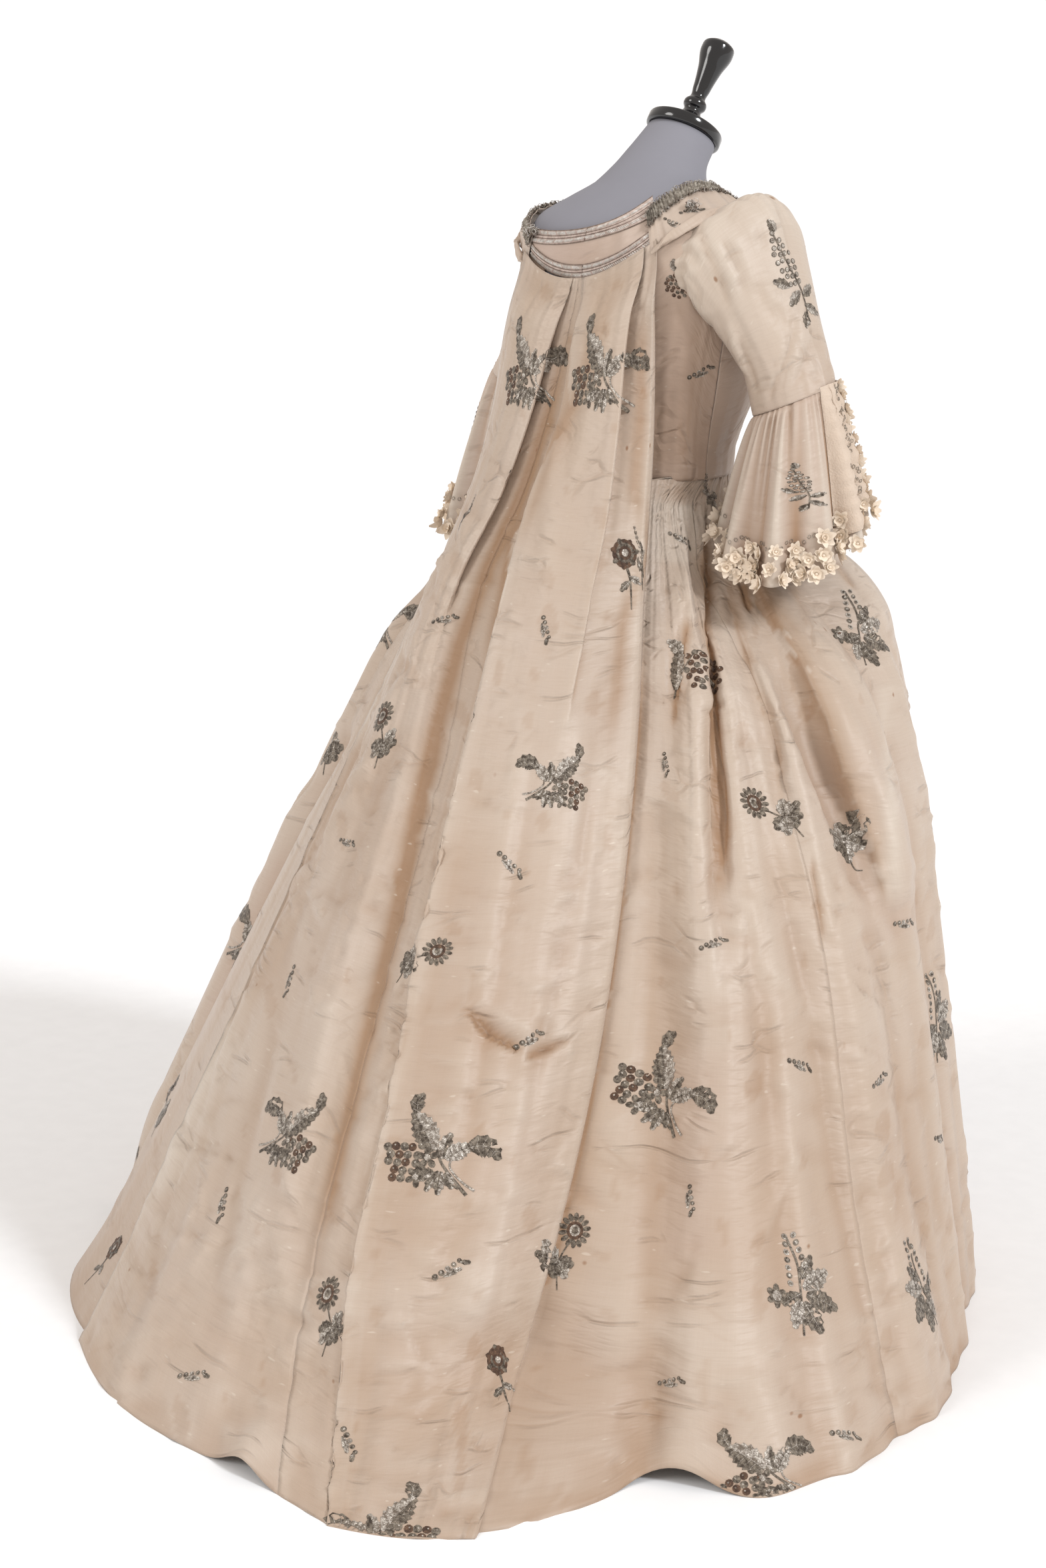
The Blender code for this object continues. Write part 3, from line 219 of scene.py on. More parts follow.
def along(table, x):
    """A smooth curve through a table of (x, value) pairs."""
    knots, values = np.array(table, float).T
    return smooth(x, knots, values)


def fade(x, low, high):
    """0 below low, 1 above high, smooth between."""
    t = np.clip((np.asarray(x, float) - low) / (high - low), 0, 1)
    return t * t * (3 - 2 * t)


def unit(vectors):
    """The same directions with a length of 1."""
    return vectors / np.maximum(np.linalg.norm(vectors, axis=-1, keepdims=True), 1e-12)


def normals(grid, closed=False):
    """Unit normals of a grid of points, along cross(across, along)."""
    if closed:
        across = np.roll(grid, -1, axis=1) - np.roll(grid, 1, axis=1)
    else:
        across = np.gradient(grid, axis=1)
    return unit(np.cross(across, np.gradient(grid, axis=0)))


def running(steps):
    """The running total of some steps, from 0."""
    return np.concatenate([[0], np.cumsum(steps)])


def even_levels(heights, reach, count):
    """Heights spaced evenly along a surface whose reach outwards is given at some heights."""
    length = running(np.hypot(np.diff(heights), np.diff(reach)))
    return np.interp(np.linspace(0, length[-1], count), length, heights)


def full_turn(count):
    """Angles in radians spaced evenly round a circle, without its end."""
    return np.linspace(0, 2 * math.pi, count, endpoint=False)


def sideways(points):
    """Level directions away from the form's upright axis."""
    return points * np.array([1.0, 1.0, 0.0])


def from_middle(rings):
    """Directions away from the middle of each ring."""
    return rings - rings.mean(axis=1, keepdims=True)


def quads(rows, cols, closed=False):
    """The four-cornered faces of a grid of points, row by row."""
    return [[i * cols + j, i * cols + (j + 1) % cols, (i + 1) * cols + (j + 1) % cols, (i + 1) * cols + j]
            for i in range(rows - 1) for j in range(cols if closed else cols - 1)]


def carried_on(values, pad):
    """Rows of values with as many more at each end, turned over about the end rows."""
    return np.concatenate([2 * values[0] - values[pad:0:-1], values, 2 * values[-1] - values[-2:-pad - 2:-1]])


def bell(pad, reach):
    """Weights of a bell curve that add up to 1."""
    weights = np.exp(-(np.arange(-pad, pad + 1) / reach) ** 2 / 2)
    return weights / weights.sum()


class Wobble:
    """Smooth seeded noise over two coordinates: a sum of waves of random direction."""

    def __init__(self, seed, scale, waves=14):
        rng = np.random.default_rng(seed)
        turn = rng.uniform(0, 2 * math.pi, waves)
        rate = 2 * math.pi / scale * rng.uniform(0.6, 1.6, waves)
        self.rates = np.stack([np.cos(turn) * rate, np.sin(turn) * rate])
        self.phases = rng.uniform(0, 2 * math.pi, waves)
        self.share = 1.4 / math.sqrt(waves)

    def __call__(self, u, v):
        total = 0
        for a, b, phase in zip(*self.rates, self.phases):
            total = total + np.sin(a * u + b * v + phase)
        return total * self.share


# ---------------------------------------------------------------- meshes
def cloth_lengths(grid):
    """Cloth coordinates in metres for each point of a grid: across and along the cut."""
    widths = np.linalg.norm(np.diff(grid, axis=1), axis=2).mean(axis=0)
    lengths = np.linalg.norm(np.diff(grid, axis=0), axis=2).mean(axis=1)
    return np.meshgrid(running(widths), running(lengths))


def put_attribute(mesh, name, domain, values):
    """Stores three numbers for each point or face corner of a mesh."""
    made = mesh.attributes.new(name, "FLOAT_VECTOR", domain)
    made.data.foreach_set("vector", np.float32(values).ravel())


def spread(values, reach, closed=False):
    """Values over a grid smoothed both ways; reach is in rows and columns."""
    for axis, sigma in ((0, reach[0]), (1, reach[1])):
        pad = min(int(2.5 * sigma) + 1, values.shape[axis] - 1)
        turned = np.moveaxis(values, axis, 0)
        if closed and axis == 1:
            whole = np.concatenate([turned[-pad:], turned, turned[:pad]])
        else:
            whole = carried_on(turned, pad)
        total = sum(w * whole[k:k + len(turned)] for k, w in enumerate(bell(pad, sigma)))
        values = np.moveaxis(total, 0, axis)
    return values


def link(mesh, name, materials):
    """Puts a mesh in the scene as an object with its materials."""
    made = bpy.data.objects.new(name, mesh)
    bpy.context.scene.collection.objects.link(made)
    for material in materials:
        mesh.materials.append(material)
    return made


# ---------------------------------------------------------------- creases
LAP_WALL = 0.0060           # width of the steep side of a lapped fold
SHADE_FROM_DEPTH = 6              # millimetres of depth from which a sharp crease gets painted shade along it
SHADE_PER_DEPTH = 0.035      # and how much painted shade for each millimetre
MARK_ENDS = (0.15, 0.15)


def crease(grid, normal, line, depth, width, kind="soft", ends=(0.25, 0.35)):
    """How far a crease moves a grid's points; line is a list of points on the grid.

    A positive depth is outwards.  Seen from outside, with the line running down, an edge is
    steep on its left and dies away slowly on its right, a lap has a steeper left side still,
    and a step is raised on its left and lowered on its right.  A shade dies away on the left
    only, and is for painted shade.  ends are the shares of the line over which it fades in and out.
    """
    line = np.asarray(line, float)
    reach = 3.2 * width
    near = np.all((grid > line.min(0) - reach) & (grid < line.max(0) + reach), axis=-1)
    points, up = grid[near], normal[near]
    shift = np.zeros_like(grid)
    if not len(points):
        return shift
    lengths = np.maximum(np.linalg.norm(np.diff(line, axis=0), axis=1), 1e-9)
    start = running(lengths)
    best = np.full(len(points), 1e9)
    place = np.zeros(len(points))
    side = np.zeros(len(points))
    for k, (a, b) in enumerate(zip(line[:-1], line[1:])):
        way = (b - a) / lengths[k]
        t = np.clip((points - a) @ way, 0, lengths[k])
        gap = points - (a + t[:, None] * way)
        distance = np.linalg.norm(gap, axis=1)
        closer = distance < best
        best[closer] = distance[closer]
        place[closer] = ((start[k] + t) / start[-1])[closer]
        side[closer] = (np.sign((gap * np.cross(up, way)).sum(axis=1)) * distance)[closer]
    share = side / width
    if kind == "soft":
        profile = np.exp(-share ** 2)
    elif kind == "pinch":
        profile = np.exp(-np.abs(share) * 1.6)
    elif kind == "lap":
        profile = np.where(side > 0, np.exp(-share * 1.1), np.exp(-(side / LAP_WALL) ** 2))
    elif kind == "shade":
        profile = np.where(side < 0, np.exp(share * 1.2), np.exp(-(side / (0.5 * LAP_WALL)) ** 2))
    elif kind == "step":
        profile = -share / np.sqrt(share ** 2 + 0.02) * np.exp(-1.3 * np.abs(share))
    else:
        profile = np.where(share > 0, np.exp(-share * 1.1), np.exp(-(share / 0.3) ** 2))
    held = fade(place, 0, max(ends[0], 1e-3)) * (1 - fade(place, 1 - max(ends[1], 1e-3), 1))
    shift[near] = up * (depth * profile * held)[:, None]
    return shift


# ---------------------------------------------------------------- the picture's pixels
PICTURE = np.array([1568.0, 2350.0])      # width and height of the picture in pixels
SENSOR = 36.0                             # millimetres, along the picture's height
LENS = 75.06
CAMERA_PLACE = (-2.9241, 3.2475, 1.75)
CAMERA_YAW = -0.806935                    # radians
CAMERA_PITCH = -0.250976                  # radians
FORWARD = np.array([math.cos(CAMERA_PITCH) * math.cos(CAMERA_YAW),
                    math.cos(CAMERA_PITCH) * math.sin(CAMERA_YAW), math.sin(CAMERA_PITCH)])
PIXEL_REACH = 8.0                         # pixels within which a point counts as seen at a pixel
FOLD_GAP = 0.03                           # metres behind the front cloth at which a point counts as hidden


def in_picture(points):
    """The pixel at which each point is seen, and its distance along the view."""
    rightward = unit(np.array([FORWARD[1], -FORWARD[0], 0.0]))
    upward = np.cross(rightward, FORWARD)
    away = points - np.array(CAMERA_PLACE)
    depth = away @ FORWARD
    focal = LENS / SENSOR * PICTURE[1] / depth
    across, down = focal * (away @ rightward), -focal * (away @ upward)
    return np.stack([PICTURE[0] / 2 + across, PICTURE[1] / 2 + down], -1), depth


def seen_at(view, pixel):
    """The index of the point seen at a pixel, and how many pixels off it is; view is from in_picture."""
    places, depth = view
    gap = np.linalg.norm(places - np.array(pixel), axis=-1)
    close = gap < max(PIXEL_REACH, gap.min() + 1)
    shown = close & (depth < depth[close].min() + FOLD_GAP)
    cost = np.where(shown, gap, np.inf)
    best = np.unravel_index(np.argmin(cost), cost.shape)
    return best, cost[best]


class Cloth:
    """A grid of cloth with its own chart, creased, marked and made into a thin shell."""

    def __init__(self, name, grid, out, chart=None, closed=False, scale=(1.0, 1.0)):
        self.name, self.grid, self.out, self.closed = name, grid, out, closed
        self.scale = np.array(scale)
        self.view = in_picture(grid)
        self.hold = np.ones(grid.shape[:2])
        self.chart = np.stack([grid[..., 0], grid[..., 2]], -1) if chart is None else chart
        self.mark = np.zeros(grid.shape)
        rng = np.random.default_rng(sum(map(ord, name)))
        self.origin = rng.uniform(0, 20, 2)

    def normals(self):
        normal = normals(self.grid, self.closed)
        return normal * np.sign((normal * self.out).sum())

    def at(self, place):
        gap = (((self.chart - np.asarray(place, float)) * self.scale) ** 2).sum(-1)
        return np.unravel_index(np.argmin(gap), gap.shape)

    def points(self, line, seen):
        """Cloth points along a line of the picture's pixels, if seen, or else of the chart."""
        return [self.grid[seen_at(self.view, place)[0] if seen else self.at(place)] for place in line]

    def crease(self, rows, seen=False):
        """rows are (depth, width, kind, ends, line), the first two in millimetres; seen lines are pixels."""
        normal = self.normals()
        for depth, width, kind, ends, line in rows:
            # painted shade: a sharp, deep crease is browner along its line
            if kind not in ("soft", "lap") and abs(depth) >= SHADE_FROM_DEPTH:
                self.mark_stains_and_light(0, SHADE_PER_DEPTH * abs(depth), line, max(5, width * 0.7), seen=seen)
        total = np.zeros_like(self.grid)
        for depth, width, kind, ends, line in rows:
            total += crease(self.grid, normal, self.points(line, seen), depth / 1000, width / 1000,
                            kind, ends)
        self.grid = self.grid + total * self.hold[..., None]

    def crinkle(self, seed, count, box, length=(0.02, 0.10), depth=(1.0, 3.6), width=(3.5, 11),
                tilt=0.35, lean=0.0):
        """Short scattered creases inside a box of the chart, near level unless they lean."""
        rng = np.random.default_rng(seed)
        normal = self.normals()
        total = np.zeros_like(self.grid)
        inside = np.argwhere(np.all((self.chart >= box[0]) & (self.chart <= box[1]), axis=-1))
        for here in inside[rng.integers(0, max(len(inside), 1), count if len(inside) else 0)]:
            here = tuple(here)
            middle, up = self.grid[here], normal[here]
            level = unit(np.cross([0, 0, 1.0], up))
            rise = np.cross(up, level)
            angle = rng.normal(lean, tilt)
            way = level * math.cos(angle) + rise * math.sin(angle)
            half = rng.uniform(*length) / 2
            bend = rise * rng.normal(0, 0.15) * half
            size = rng.uniform(*depth) * rng.choice([-1, 1]) / 1000
            total += crease(self.grid, normal, [middle - way * half, middle + bend, middle + way * half],
                            size, rng.uniform(*width) / 1000, str(rng.choice(["soft", "edge", "pinch"])),
                            (0.4, 0.5))
        self.grid = self.grid + total * self.hold[..., None]

    def mark_stains_and_light(self, channel, strength, line, width, kind="soft", seen=False):
        """Marks the cloth near a line: 0 brown, for dirt and painted shade, 1 pink, 2 pale, for painted light
        and highlight and wear.
        """
        normal = np.zeros_like(self.grid)
        normal[..., 0] = 1
        amount = crease(self.grid, normal, self.points(line, seen), strength, width / 1000, kind, MARK_ENDS)
        self.mark[..., channel] += amount[..., 0]

    def mesh(self, material):
        rows, cols = self.grid.shape[:2]
        faces = np.array(quads(rows, cols, self.closed))
        if (normals(self.grid, self.closed) * self.out).sum() < 0:
            faces = faces[:, ::-1]
        mesh = bpy.data.meshes.new(self.name)
        mesh.from_pydata(self.grid.reshape(-1, 3).tolist(), [], faces.tolist())
        across, down = cloth_lengths(self.grid)
        weave = np.stack([across + self.origin[0], down + self.origin[1], 0 * down], -1)
        corners = weave.reshape(-1, 3)[faces.ravel()]
        if self.closed:
            gap = np.linalg.norm(self.grid[:, 0] - self.grid[:, -1], axis=1)
            girth = gap + across[:, -1] + self.origin[0]
            last = np.repeat(np.arange(len(faces)) % cols == cols - 1, 4) & (faces.ravel() % cols == 0)
            corners[last, 0] = girth[faces.ravel()[last] // cols]
        put_attribute(mesh, "weave", "CORNER", corners)
        put_attribute(mesh, "mark", "POINT", self.mark)
        mesh.shade_smooth()
        made = link(mesh, self.name, [material])
        shell = made.modifiers.new("shell", "SOLIDIFY")
        shell.thickness = SHELL
        shell.offset = -1
        return made


# ---------------------------------------------------------------- the body of the form
TORSO = columns(TORSO_COLUMNS, TORSO_RINGS)


def torso_surface(angle, height):
    """Points on the form's own rings, at angles in degrees and heights."""
    ring = {key: smooth(height, TORSO["height"], TORSO[key]) for key in TORSO_COLUMNS[1:]}
    turn = np.radians(angle)
    power = 2 / ring["power"]
    side = np.sign(np.sin(turn)) * np.abs(np.sin(turn)) ** power
    fore = np.sign(np.cos(turn)) * np.abs(np.cos(turn)) ** power
    depth = np.where(fore > 0, ring["front"], ring["back"])
    tilt = np.radians(ring["tilt"])
    return np.stack([side * ring["half_width"], ring["centre"] - fore * depth * np.cos(tilt),
                     height - fore * depth * np.sin(tilt)], -1)


def torso(angle, height, lift=0.0):
    """Points above the torso: angle in degrees from the centre front towards the left side."""
    angle, height = np.broadcast_arrays(np.asarray(angle, float), np.asarray(height, float))
    point = torso_surface(angle, height)
    around = torso_surface(angle + 2.0, height) - torso_surface(angle - 2.0, height)
    upward = torso_surface(angle, height + 0.004) - torso_surface(angle, height - 0.004)
    return point + np.asarray(lift)[..., None] * unit(np.cross(around, upward))


# ---------------------------------------------------------------- the sack back
SACK = columns(SACK_COLUMNS, SACK_SECTIONS)
TURN = columns(TURN_COLUMNS, TURN_SECTIONS)
RAILS = ("left", "fold", "centre", "ridge", "pleat", "right")
# how far each pleat's edge lies over the cloth behind it, by height
FOLD_OVER = ((1.345, 0.003), (1.28, 0.008), (1.15, 0.010), (0.95, 0.008), (0.75, 0.004), (0.50, 0.0),
             (0.0, 0.0))
RIDGE_OVER = ((1.345, 0.004), (1.25, 0.010), (1.05, 0.010), (0.85, 0.006), (0.65, 0.001), (0.55, 0.0),
              (0.0, 0.0))
PLEAT_OVER = ((1.345, 0.005), (1.28, 0.012), (1.10, 0.013), (0.90, 0.009), (0.75, 0.006), (0.60, 0.002),
              (0.45, 0.0), (0.0, 0.0))
STEP = ((1.345, 0.0035), (1.29, 0.0085), (1.10, 0.0105), (0.90, 0.009), (0.70, 0.005), (0.45, 0.003),
        (0.0, 0.002))
# the shares of the side width over which it comes away from the sack's edge
PULL_SHARES = {RIGHT: (-0.08, 0.50), LEFT: (-0.02, 0.85)}
TUCKED = 4                  # columns of the skirt that run on under the sack's edge
TUCK_STEP = 0.007           # distance between those columns
TUCK_DROP = (0.0, -0.0012)  # and how far each one lies further forward, in plan
CLOSER_BEHIND = 1.25        # crowds the front width's columns towards its back seam


def rail(name, height):
    """Plan point of a named rail of the sack at a height."""
    return np.array([smooth(height, SACK["height"], SACK[name + "_x"]),
                     smooth(height, SACK["height"], SACK[name + "_y"])])


def outer_edge(side, height, kind):
    """The turned-under edge of the sack, or the line where the skirt side is sewn."""
    edge = rail("left" if side > 0 else "right", height)
    shift = [np.interp(height, TURN["height"][::-1], TURN[kind + "_" + axis][::-1]) for axis in "xy"]
    return edge + np.array([-side * shift[0], -shift[1]])


def band_low(x):
    """Height of the neck band's lower edge."""
    return BAND_LOWER[0] + BAND_LOWER[1] * x + BAND_LOWER[2] * x ** 2


def band_high(x):
    """Height of the neck band's upper edge."""
    return BAND_UPPER[0] + BAND_UPPER[1] * x + BAND_UPPER[2] * x ** 2


ARCHES = ((-0.235, 0.905, 0.026, 0.040), (-0.620, 0.570, 0.030, 0.045))


def arch_lift(x, y):
    """How far the hem arches off the floor at plan points."""
    lift = np.zeros_like(x)
    for arch_x, arch_y, rise, width in ARCHES:
        lift += rise * np.exp(-((x - arch_x) ** 2 + (y - arch_y) ** 2) / width ** 2)
    return lift


def run(start, end, count, bulge=0.0):
    """Plan points after start, up to end, with a low bulge away from the body."""
    share = np.linspace(0, 1, count + 1)[1:, None]
    return start + (end - start) * share + np.array([0.0, 1.0]) * bulge * 4 * share * (1 - share)


ROUND = 0.0012              # radius of a pleat's folded edge
# columns of the sack's grid on each stretch between its corners
SACK_COLUMNS_AT = dict(turn=3, left=50, fold=4, valley=12, ridge=12, plateau=30, strip=13)


def relaxed(points, reach):
    """Plan points smoothed along their line, with both ends kept; reach is in columns."""
    if reach < 0.3:
        return points
    pad = min(int(3 * reach) + 1, len(points) - 1)
    whole = carried_on(points, pad)
    return np.stack([np.convolve(whole[:, k], bell(pad, reach), "valid") for k in (0, 1)], -1)


def evened(points):
    """The same plan line with its points spaced evenly."""
    length = running(np.linalg.norm(np.diff(points, axis=0), axis=1))
    place = np.linspace(0, length[-1], len(points))
    return np.stack([np.interp(place, length, points[:, k]) for k in (0, 1)], -1)


def sack_row(height):
    """Plan points across the sack at a height, from its left turned edge to its right one."""
    soft = float(fade(height, 0.0, 0.5) * 0.6 + 0.4)
    left, fold, centre, ridge, pleat, right = (rail(key, height) for key in RAILS)
    swell = LEFT_BULGE * soft + HEM_BULGE * float(1 - fade(height, 0.0, 0.28))
    way = unit(pleat - ridge)
    out = np.array([-way[1], way[0]])
    out = out if out[1] > 0 else -out
    step = float(along(STEP, height))
    over = {key: float(along(table, height)) for key, table in
            (("fold", FOLD_OVER), ("ridge", RIDGE_OVER), ("pleat", PLEAT_OVER))}
    n = SACK_COLUMNS_AT
    first = outer_edge(LEFT, height, "turn")
    side = unit(fold - left)
    behind_fold = fold - side * over["fold"] - out * step * 0.9
    behind_ridge = ridge + way * over["ridge"] - out * step * 1.2
    behind = pleat - way * over["pleat"] - out * step
    back = np.concatenate([
        left[None], run(left, fold, n["left"], swell),
        np.stack([fold + side * ROUND - out * ROUND * min(1, step / 0.003),
                  fold + side * 0.0004 - out * step * 0.5,
                  (fold + behind_fold) / 2 - out * step * 0.35, behind_fold]),
        run(behind_fold, centre, n["valley"]), run(centre, behind_ridge, n["ridge"])])
    corner = np.stack([(behind_ridge + ridge) / 2 - out * step * 0.3, ridge - way * 0.0002 - out * step * 0.5,
                       ridge - way * 0.0008 - out * ROUND])
    panel = np.concatenate([
        ridge[None], run(ridge, pleat, n["plateau"], RIGHT_BULGE * soft),
        np.stack([pleat + way * ROUND - out * ROUND, pleat + way * 0.0004 - out * step * 0.5,
                  (pleat + behind) / 2 - out * step * 0.35, behind]),
        run(behind, right, n["strip"], -0.004 * soft)])
    ease = float(1 - fade(height, 0.62, 1.0))
    back = back * (1 - ease) + evened(back) * ease
    drop = float(1 - fade(height, 0.60, 0.90))
    panel = panel * (1 - drop) + evened(panel) * drop
    return np.concatenate([first[None], run(first, left, n["turn"])[:-1], relaxed(back, 12 * ease), corner,
                           relaxed(panel, 11 * drop),
                           run(right, outer_edge(RIGHT, height, "turn"), n["turn"])])


def sack_levels(count):
    """Heights of the grid's rows, closer together where the train runs out."""
    fine = np.linspace(SACK_TOP, 0.0, 500)
    return even_levels(fine, smooth(fine, SACK["height"], SACK["ridge_y"]), count)


CURVED_ABOVE = 1.12         # height above which the rows bend to meet the neck band's lower edge
DRAWN_IN = (1.275, 1.34)    # heights between which the sack is drawn in to the neck band
# a gap of this size to the band's line is drawn in to this, and a wider or narrower one
# keeps this share of the difference, within these limits
GAP_BEFORE = 0.009
GAP_AFTER = 0.0055
GAP_SHARE = 0.35
GAP_LIMITS = (0.0035, 0.0085)


def sack_grid(count):
    """Points of the whole sack, row by row from the neck band to the floor."""
    rows = []
    band = neck_strip(band_low, lambda x: band_low(x) + 0.01, EASE + CLOTH, cols=60, rows=2)[0]
    for height in sack_levels(count):
        plan = sack_row(height)
        top = band_low(np.clip(plan[:, 0], -0.115, 0.115)) - SEAM
        rise = np.clip((height - CURVED_ABOVE) / (SACK_TOP - CURVED_ABOVE), 0, 1)
        level = height + (top - SACK_TOP) * rise ** 2
        level = level + arch_lift(plan[:, 0], plan[:, 1]) * float(1 - fade(height, 0.0, 0.12))
        if height > DRAWN_IN[0]:
            near = np.interp(plan[:, 0], band[:, 0], band[:, 1])
            gap = (plan[:, 1] - near - GAP_BEFORE) * GAP_SHARE + GAP_AFTER
            pulled = np.minimum(plan[:, 1], near + np.clip(gap, *GAP_LIMITS))
            plan[:, 1] += (pulled - plan[:, 1]) * float(fade(height, *DRAWN_IN))
        rows.append(np.column_stack([plan, level]))
    return np.array(rows)


# ---------------------------------------------------------------- the skirt
# smooth folds: depth outwards (+) or inwards (-), half width, then angles at heights
FOLDS = (
    (-0.018, 0.012, ((1.05, 93), (0.96, 109), (0.84, 116.5), (0.61, 123), (0.50, 124))),
    (0.012, 0.020, ((1.03, 98), (0.94, 116), (0.84, 122), (0.61, 128), (0.45, 129))),
    (-0.014, 0.016, ((0.98, 100), (0.91, 106), (0.83, 107.5), (0.72, 109), (0.60, 110))),
    (-0.016, 0.022, ((0.99, 95), (0.90, 101), (0.83, 102), (0.70, 99), (0.55, 96))),
    (0.014, 0.022, ((0.99, 90), (0.90, 94), (0.83, 94), (0.70, 92), (0.52, 92))),
    (-0.010, 0.014, ((0.99, 72), (0.93, 73.5), (0.86, 75), (0.80, 76))),
    (-0.009, 0.008, ((0.93, 117), (0.87, 123.5), (0.79, 127), (0.75, 128))),
    (0.020, 0.050, ((0.60, 123), (0.40, 125), (0.20, 126), (0.00, 127))),
    (-0.022, 0.035, ((0.70, 132), (0.45, 133), (0.20, 134.5), (0.00, 136))),
    (0.012, 0.060, ((0.60, 100), (0.40, 101), (0.20, 102), (0.00, 103))),
    (-0.012, 0.045, ((0.75, 60), (0.45, 62), (0.20, 64), (0.00, 66))),
    (-0.012, 0.030, ((1.02, 45), (0.90, 47), (0.70, 45), (0.50, 43))),
    (0.009, 0.020, ((0.98, 112), (0.80, 117), (0.40, 118), (0.00, 119))),
    (-0.010, 0.018, ((0.98, 106), (0.80, 111.5), (0.40, 112.5), (0.00, 113))),
    (0.010, 0.022, ((0.95, 99), (0.80, 105), (0.40, 106), (0.00, 107.5))),
    (-0.010, 0.019, ((0.95, 90), (0.80, 97.5), (0.40, 99), (0.00, 100))),
    (0.009, 0.025, ((0.95, 84), (0.70, 88), (0.40, 90), (0.00, 92))),
    (-0.009, 0.020, ((0.95, 79), (0.70, 82), (0.30, 84), (0.00, 85))),
    (0.008, 0.022, ((0.95, 71), (0.60, 74), (0.00, 77))),
    (-0.008, 0.020, ((0.60, 67), (0.30, 69), (0.00, 70))),
)
FOLD_FREE = (0.93, 1.05)    # heights between which the folds die away towards the waist
ANGLE_STEP = SKIRT_ANGLES[1] - SKIRT_ANGLES[0]
LEFT_FOLD_SHIFT = 2.5       # how much further back the folds lie on the left side
LEFT_DIP_SHARE = 0.4
TIED = (1.035, 1.075)       # heights between which the skirt draws in to the waist


def skirt_radius(side, angle, height):
    """Radius of the skirt, smooth both ways, with its smooth folds."""
    table = np.array(SKIRT_RADII[side])
    angle, height = np.broadcast_arrays(np.asarray(angle, float), np.asarray(height, float))
    radii = [smooth(height, table[:, 0], table[:, k + 1]) for k in range(len(SKIRT_ANGLES))]
    place = np.clip(angle / ANGLE_STEP, 0, len(SKIRT_ANGLES) - 1.0001)
    first = place.astype(int)
    t = place - first

    def radius(k):
        return np.choose(np.clip(k, 0, len(radii) - 1), radii)

    before = np.where(first == 0, 0, (radius(first + 1) - radius(first - 1)) / 2)
    after = np.where(first == len(radii) - 2, 0, (radius(first + 2) - radius(first)) / 2)
    result = ((1 + 2 * t) * (1 - t) ** 2 * radius(first) + t * (1 - t) ** 2 * before
              + t * t * (3 - 2 * t) * radius(first + 1) + t * t * (t - 1) * after)
    for depth, width, line in FOLDS:
        heights, angles = np.array(line).T
        shift = 0 if side < 0 else LEFT_FOLD_SHIFT
        away = np.radians(angle - shift - smooth(height, heights, angles)) * result
        ends = 1.0 if heights[-1] < 0.01 else fade(height, heights[-1] - 0.03, heights[-1] + 0.12)
        ends = ends * (1 - fade(height, heights[0] - 0.03, heights[0] + 0.03))
        ends = ends * (1 - fade(height, *FOLD_FREE))
        result = result + depth * ends * np.exp(-(away / width) ** 2)
    dip = HEM_DIP * (1 - fade(height, 0.0, 0.16)) * np.exp(-((angle - HEM_DIP_ANGLE) / HEM_DIP_WIDTH) ** 2)
    return result - (dip if side < 0 else dip * LEFT_DIP_SHARE)


def skirt_levels(count):
    """Heights of the grid's rows, spaced evenly down the right side back."""
    fine = np.linspace(WAIST, 0.0, 400)
    table = np.array(SKIRT_RADII[RIGHT])
    return even_levels(fine, smooth(fine, table[:, 0], table[:, 5]), count)


def skirt_panel(side, first_line, last_line, rows, cols, pull=False):
    """Grid and chart (angle, height) of a width of the skirt between two lines."""
    grid, chart = [], []
    for height in skirt_levels(rows):
        if pull:
            share = np.clip((np.arange(cols) - TUCKED) / (cols - 1 - TUCKED), 0, 1)
        else:
            share = np.linspace(0, 1, cols) ** CLOSER_BEHIND
        first, last = first_line(height), last_line(height)
        angle = first + (last - first) * share
        if height >= WAIST:
            row = torso(side * angle, WAIST - SEAM, CLOTH + EASE)
        else:
            radius = skirt_radius(side, angle, height)
            turn = np.radians(angle)
            row = np.column_stack([side * radius * np.sin(turn), -radius * np.cos(turn),
                                   np.full(cols, height)])
            tied = float(fade(height, *TIED))
            row[:, :2] += (torso(side * angle, WAIST - SEAM, CLOTH + EASE)[:, :2] - row[:, :2]) * tied
            if pull:
                target = outer_edge(side, height, "seam") + np.array([0.0, -SEAM * 1.5])
                draw = 1 - fade(share, *PULL_SHARES[side])
                row[:, :2] += (target - row[TUCKED, :2]) * draw[:, None]
                pleated, edge = ("pleat", "right") if side < 0 else ("fold", "left")
                inward = unit(rail(pleated, height) - rail(edge, height))
                back = np.arange(TUCKED, 0, -1)[:, None]
                row[:TUCKED, :2] = row[TUCKED, :2] + (inward * TUCK_STEP + np.array(TUCK_DROP)) * back
        grid.append(row)
        chart.append(np.stack([angle, np.full(cols, height)], -1))
    grid = np.array(grid)
    low = 1 - fade(grid[..., 2], 0.0, 0.12)
    grid[..., 2] += arch_lift(grid[..., 0], grid[..., 1]) * low * (side < 0)
    return grid, np.array(chart)


def seam_angle(side, height):
    """Angle from the centre front to the line where the skirt side is sewn to the sack."""
    x, y = outer_edge(side, height, "seam")
    return math.degrees(math.atan2(abs(x), -y))


# ---------------------------------------------------------------- the bodice
FULLNESS = 0.015            # how far the side front stands off the form below the bust
FULLNESS_HEIGHT = 1.18
BODICE_BELOW = 0.008        # how far the bodice runs on below the waist seam
WAIST_SPRING = 0.0025       # how far its lower edge stands out over the skirt


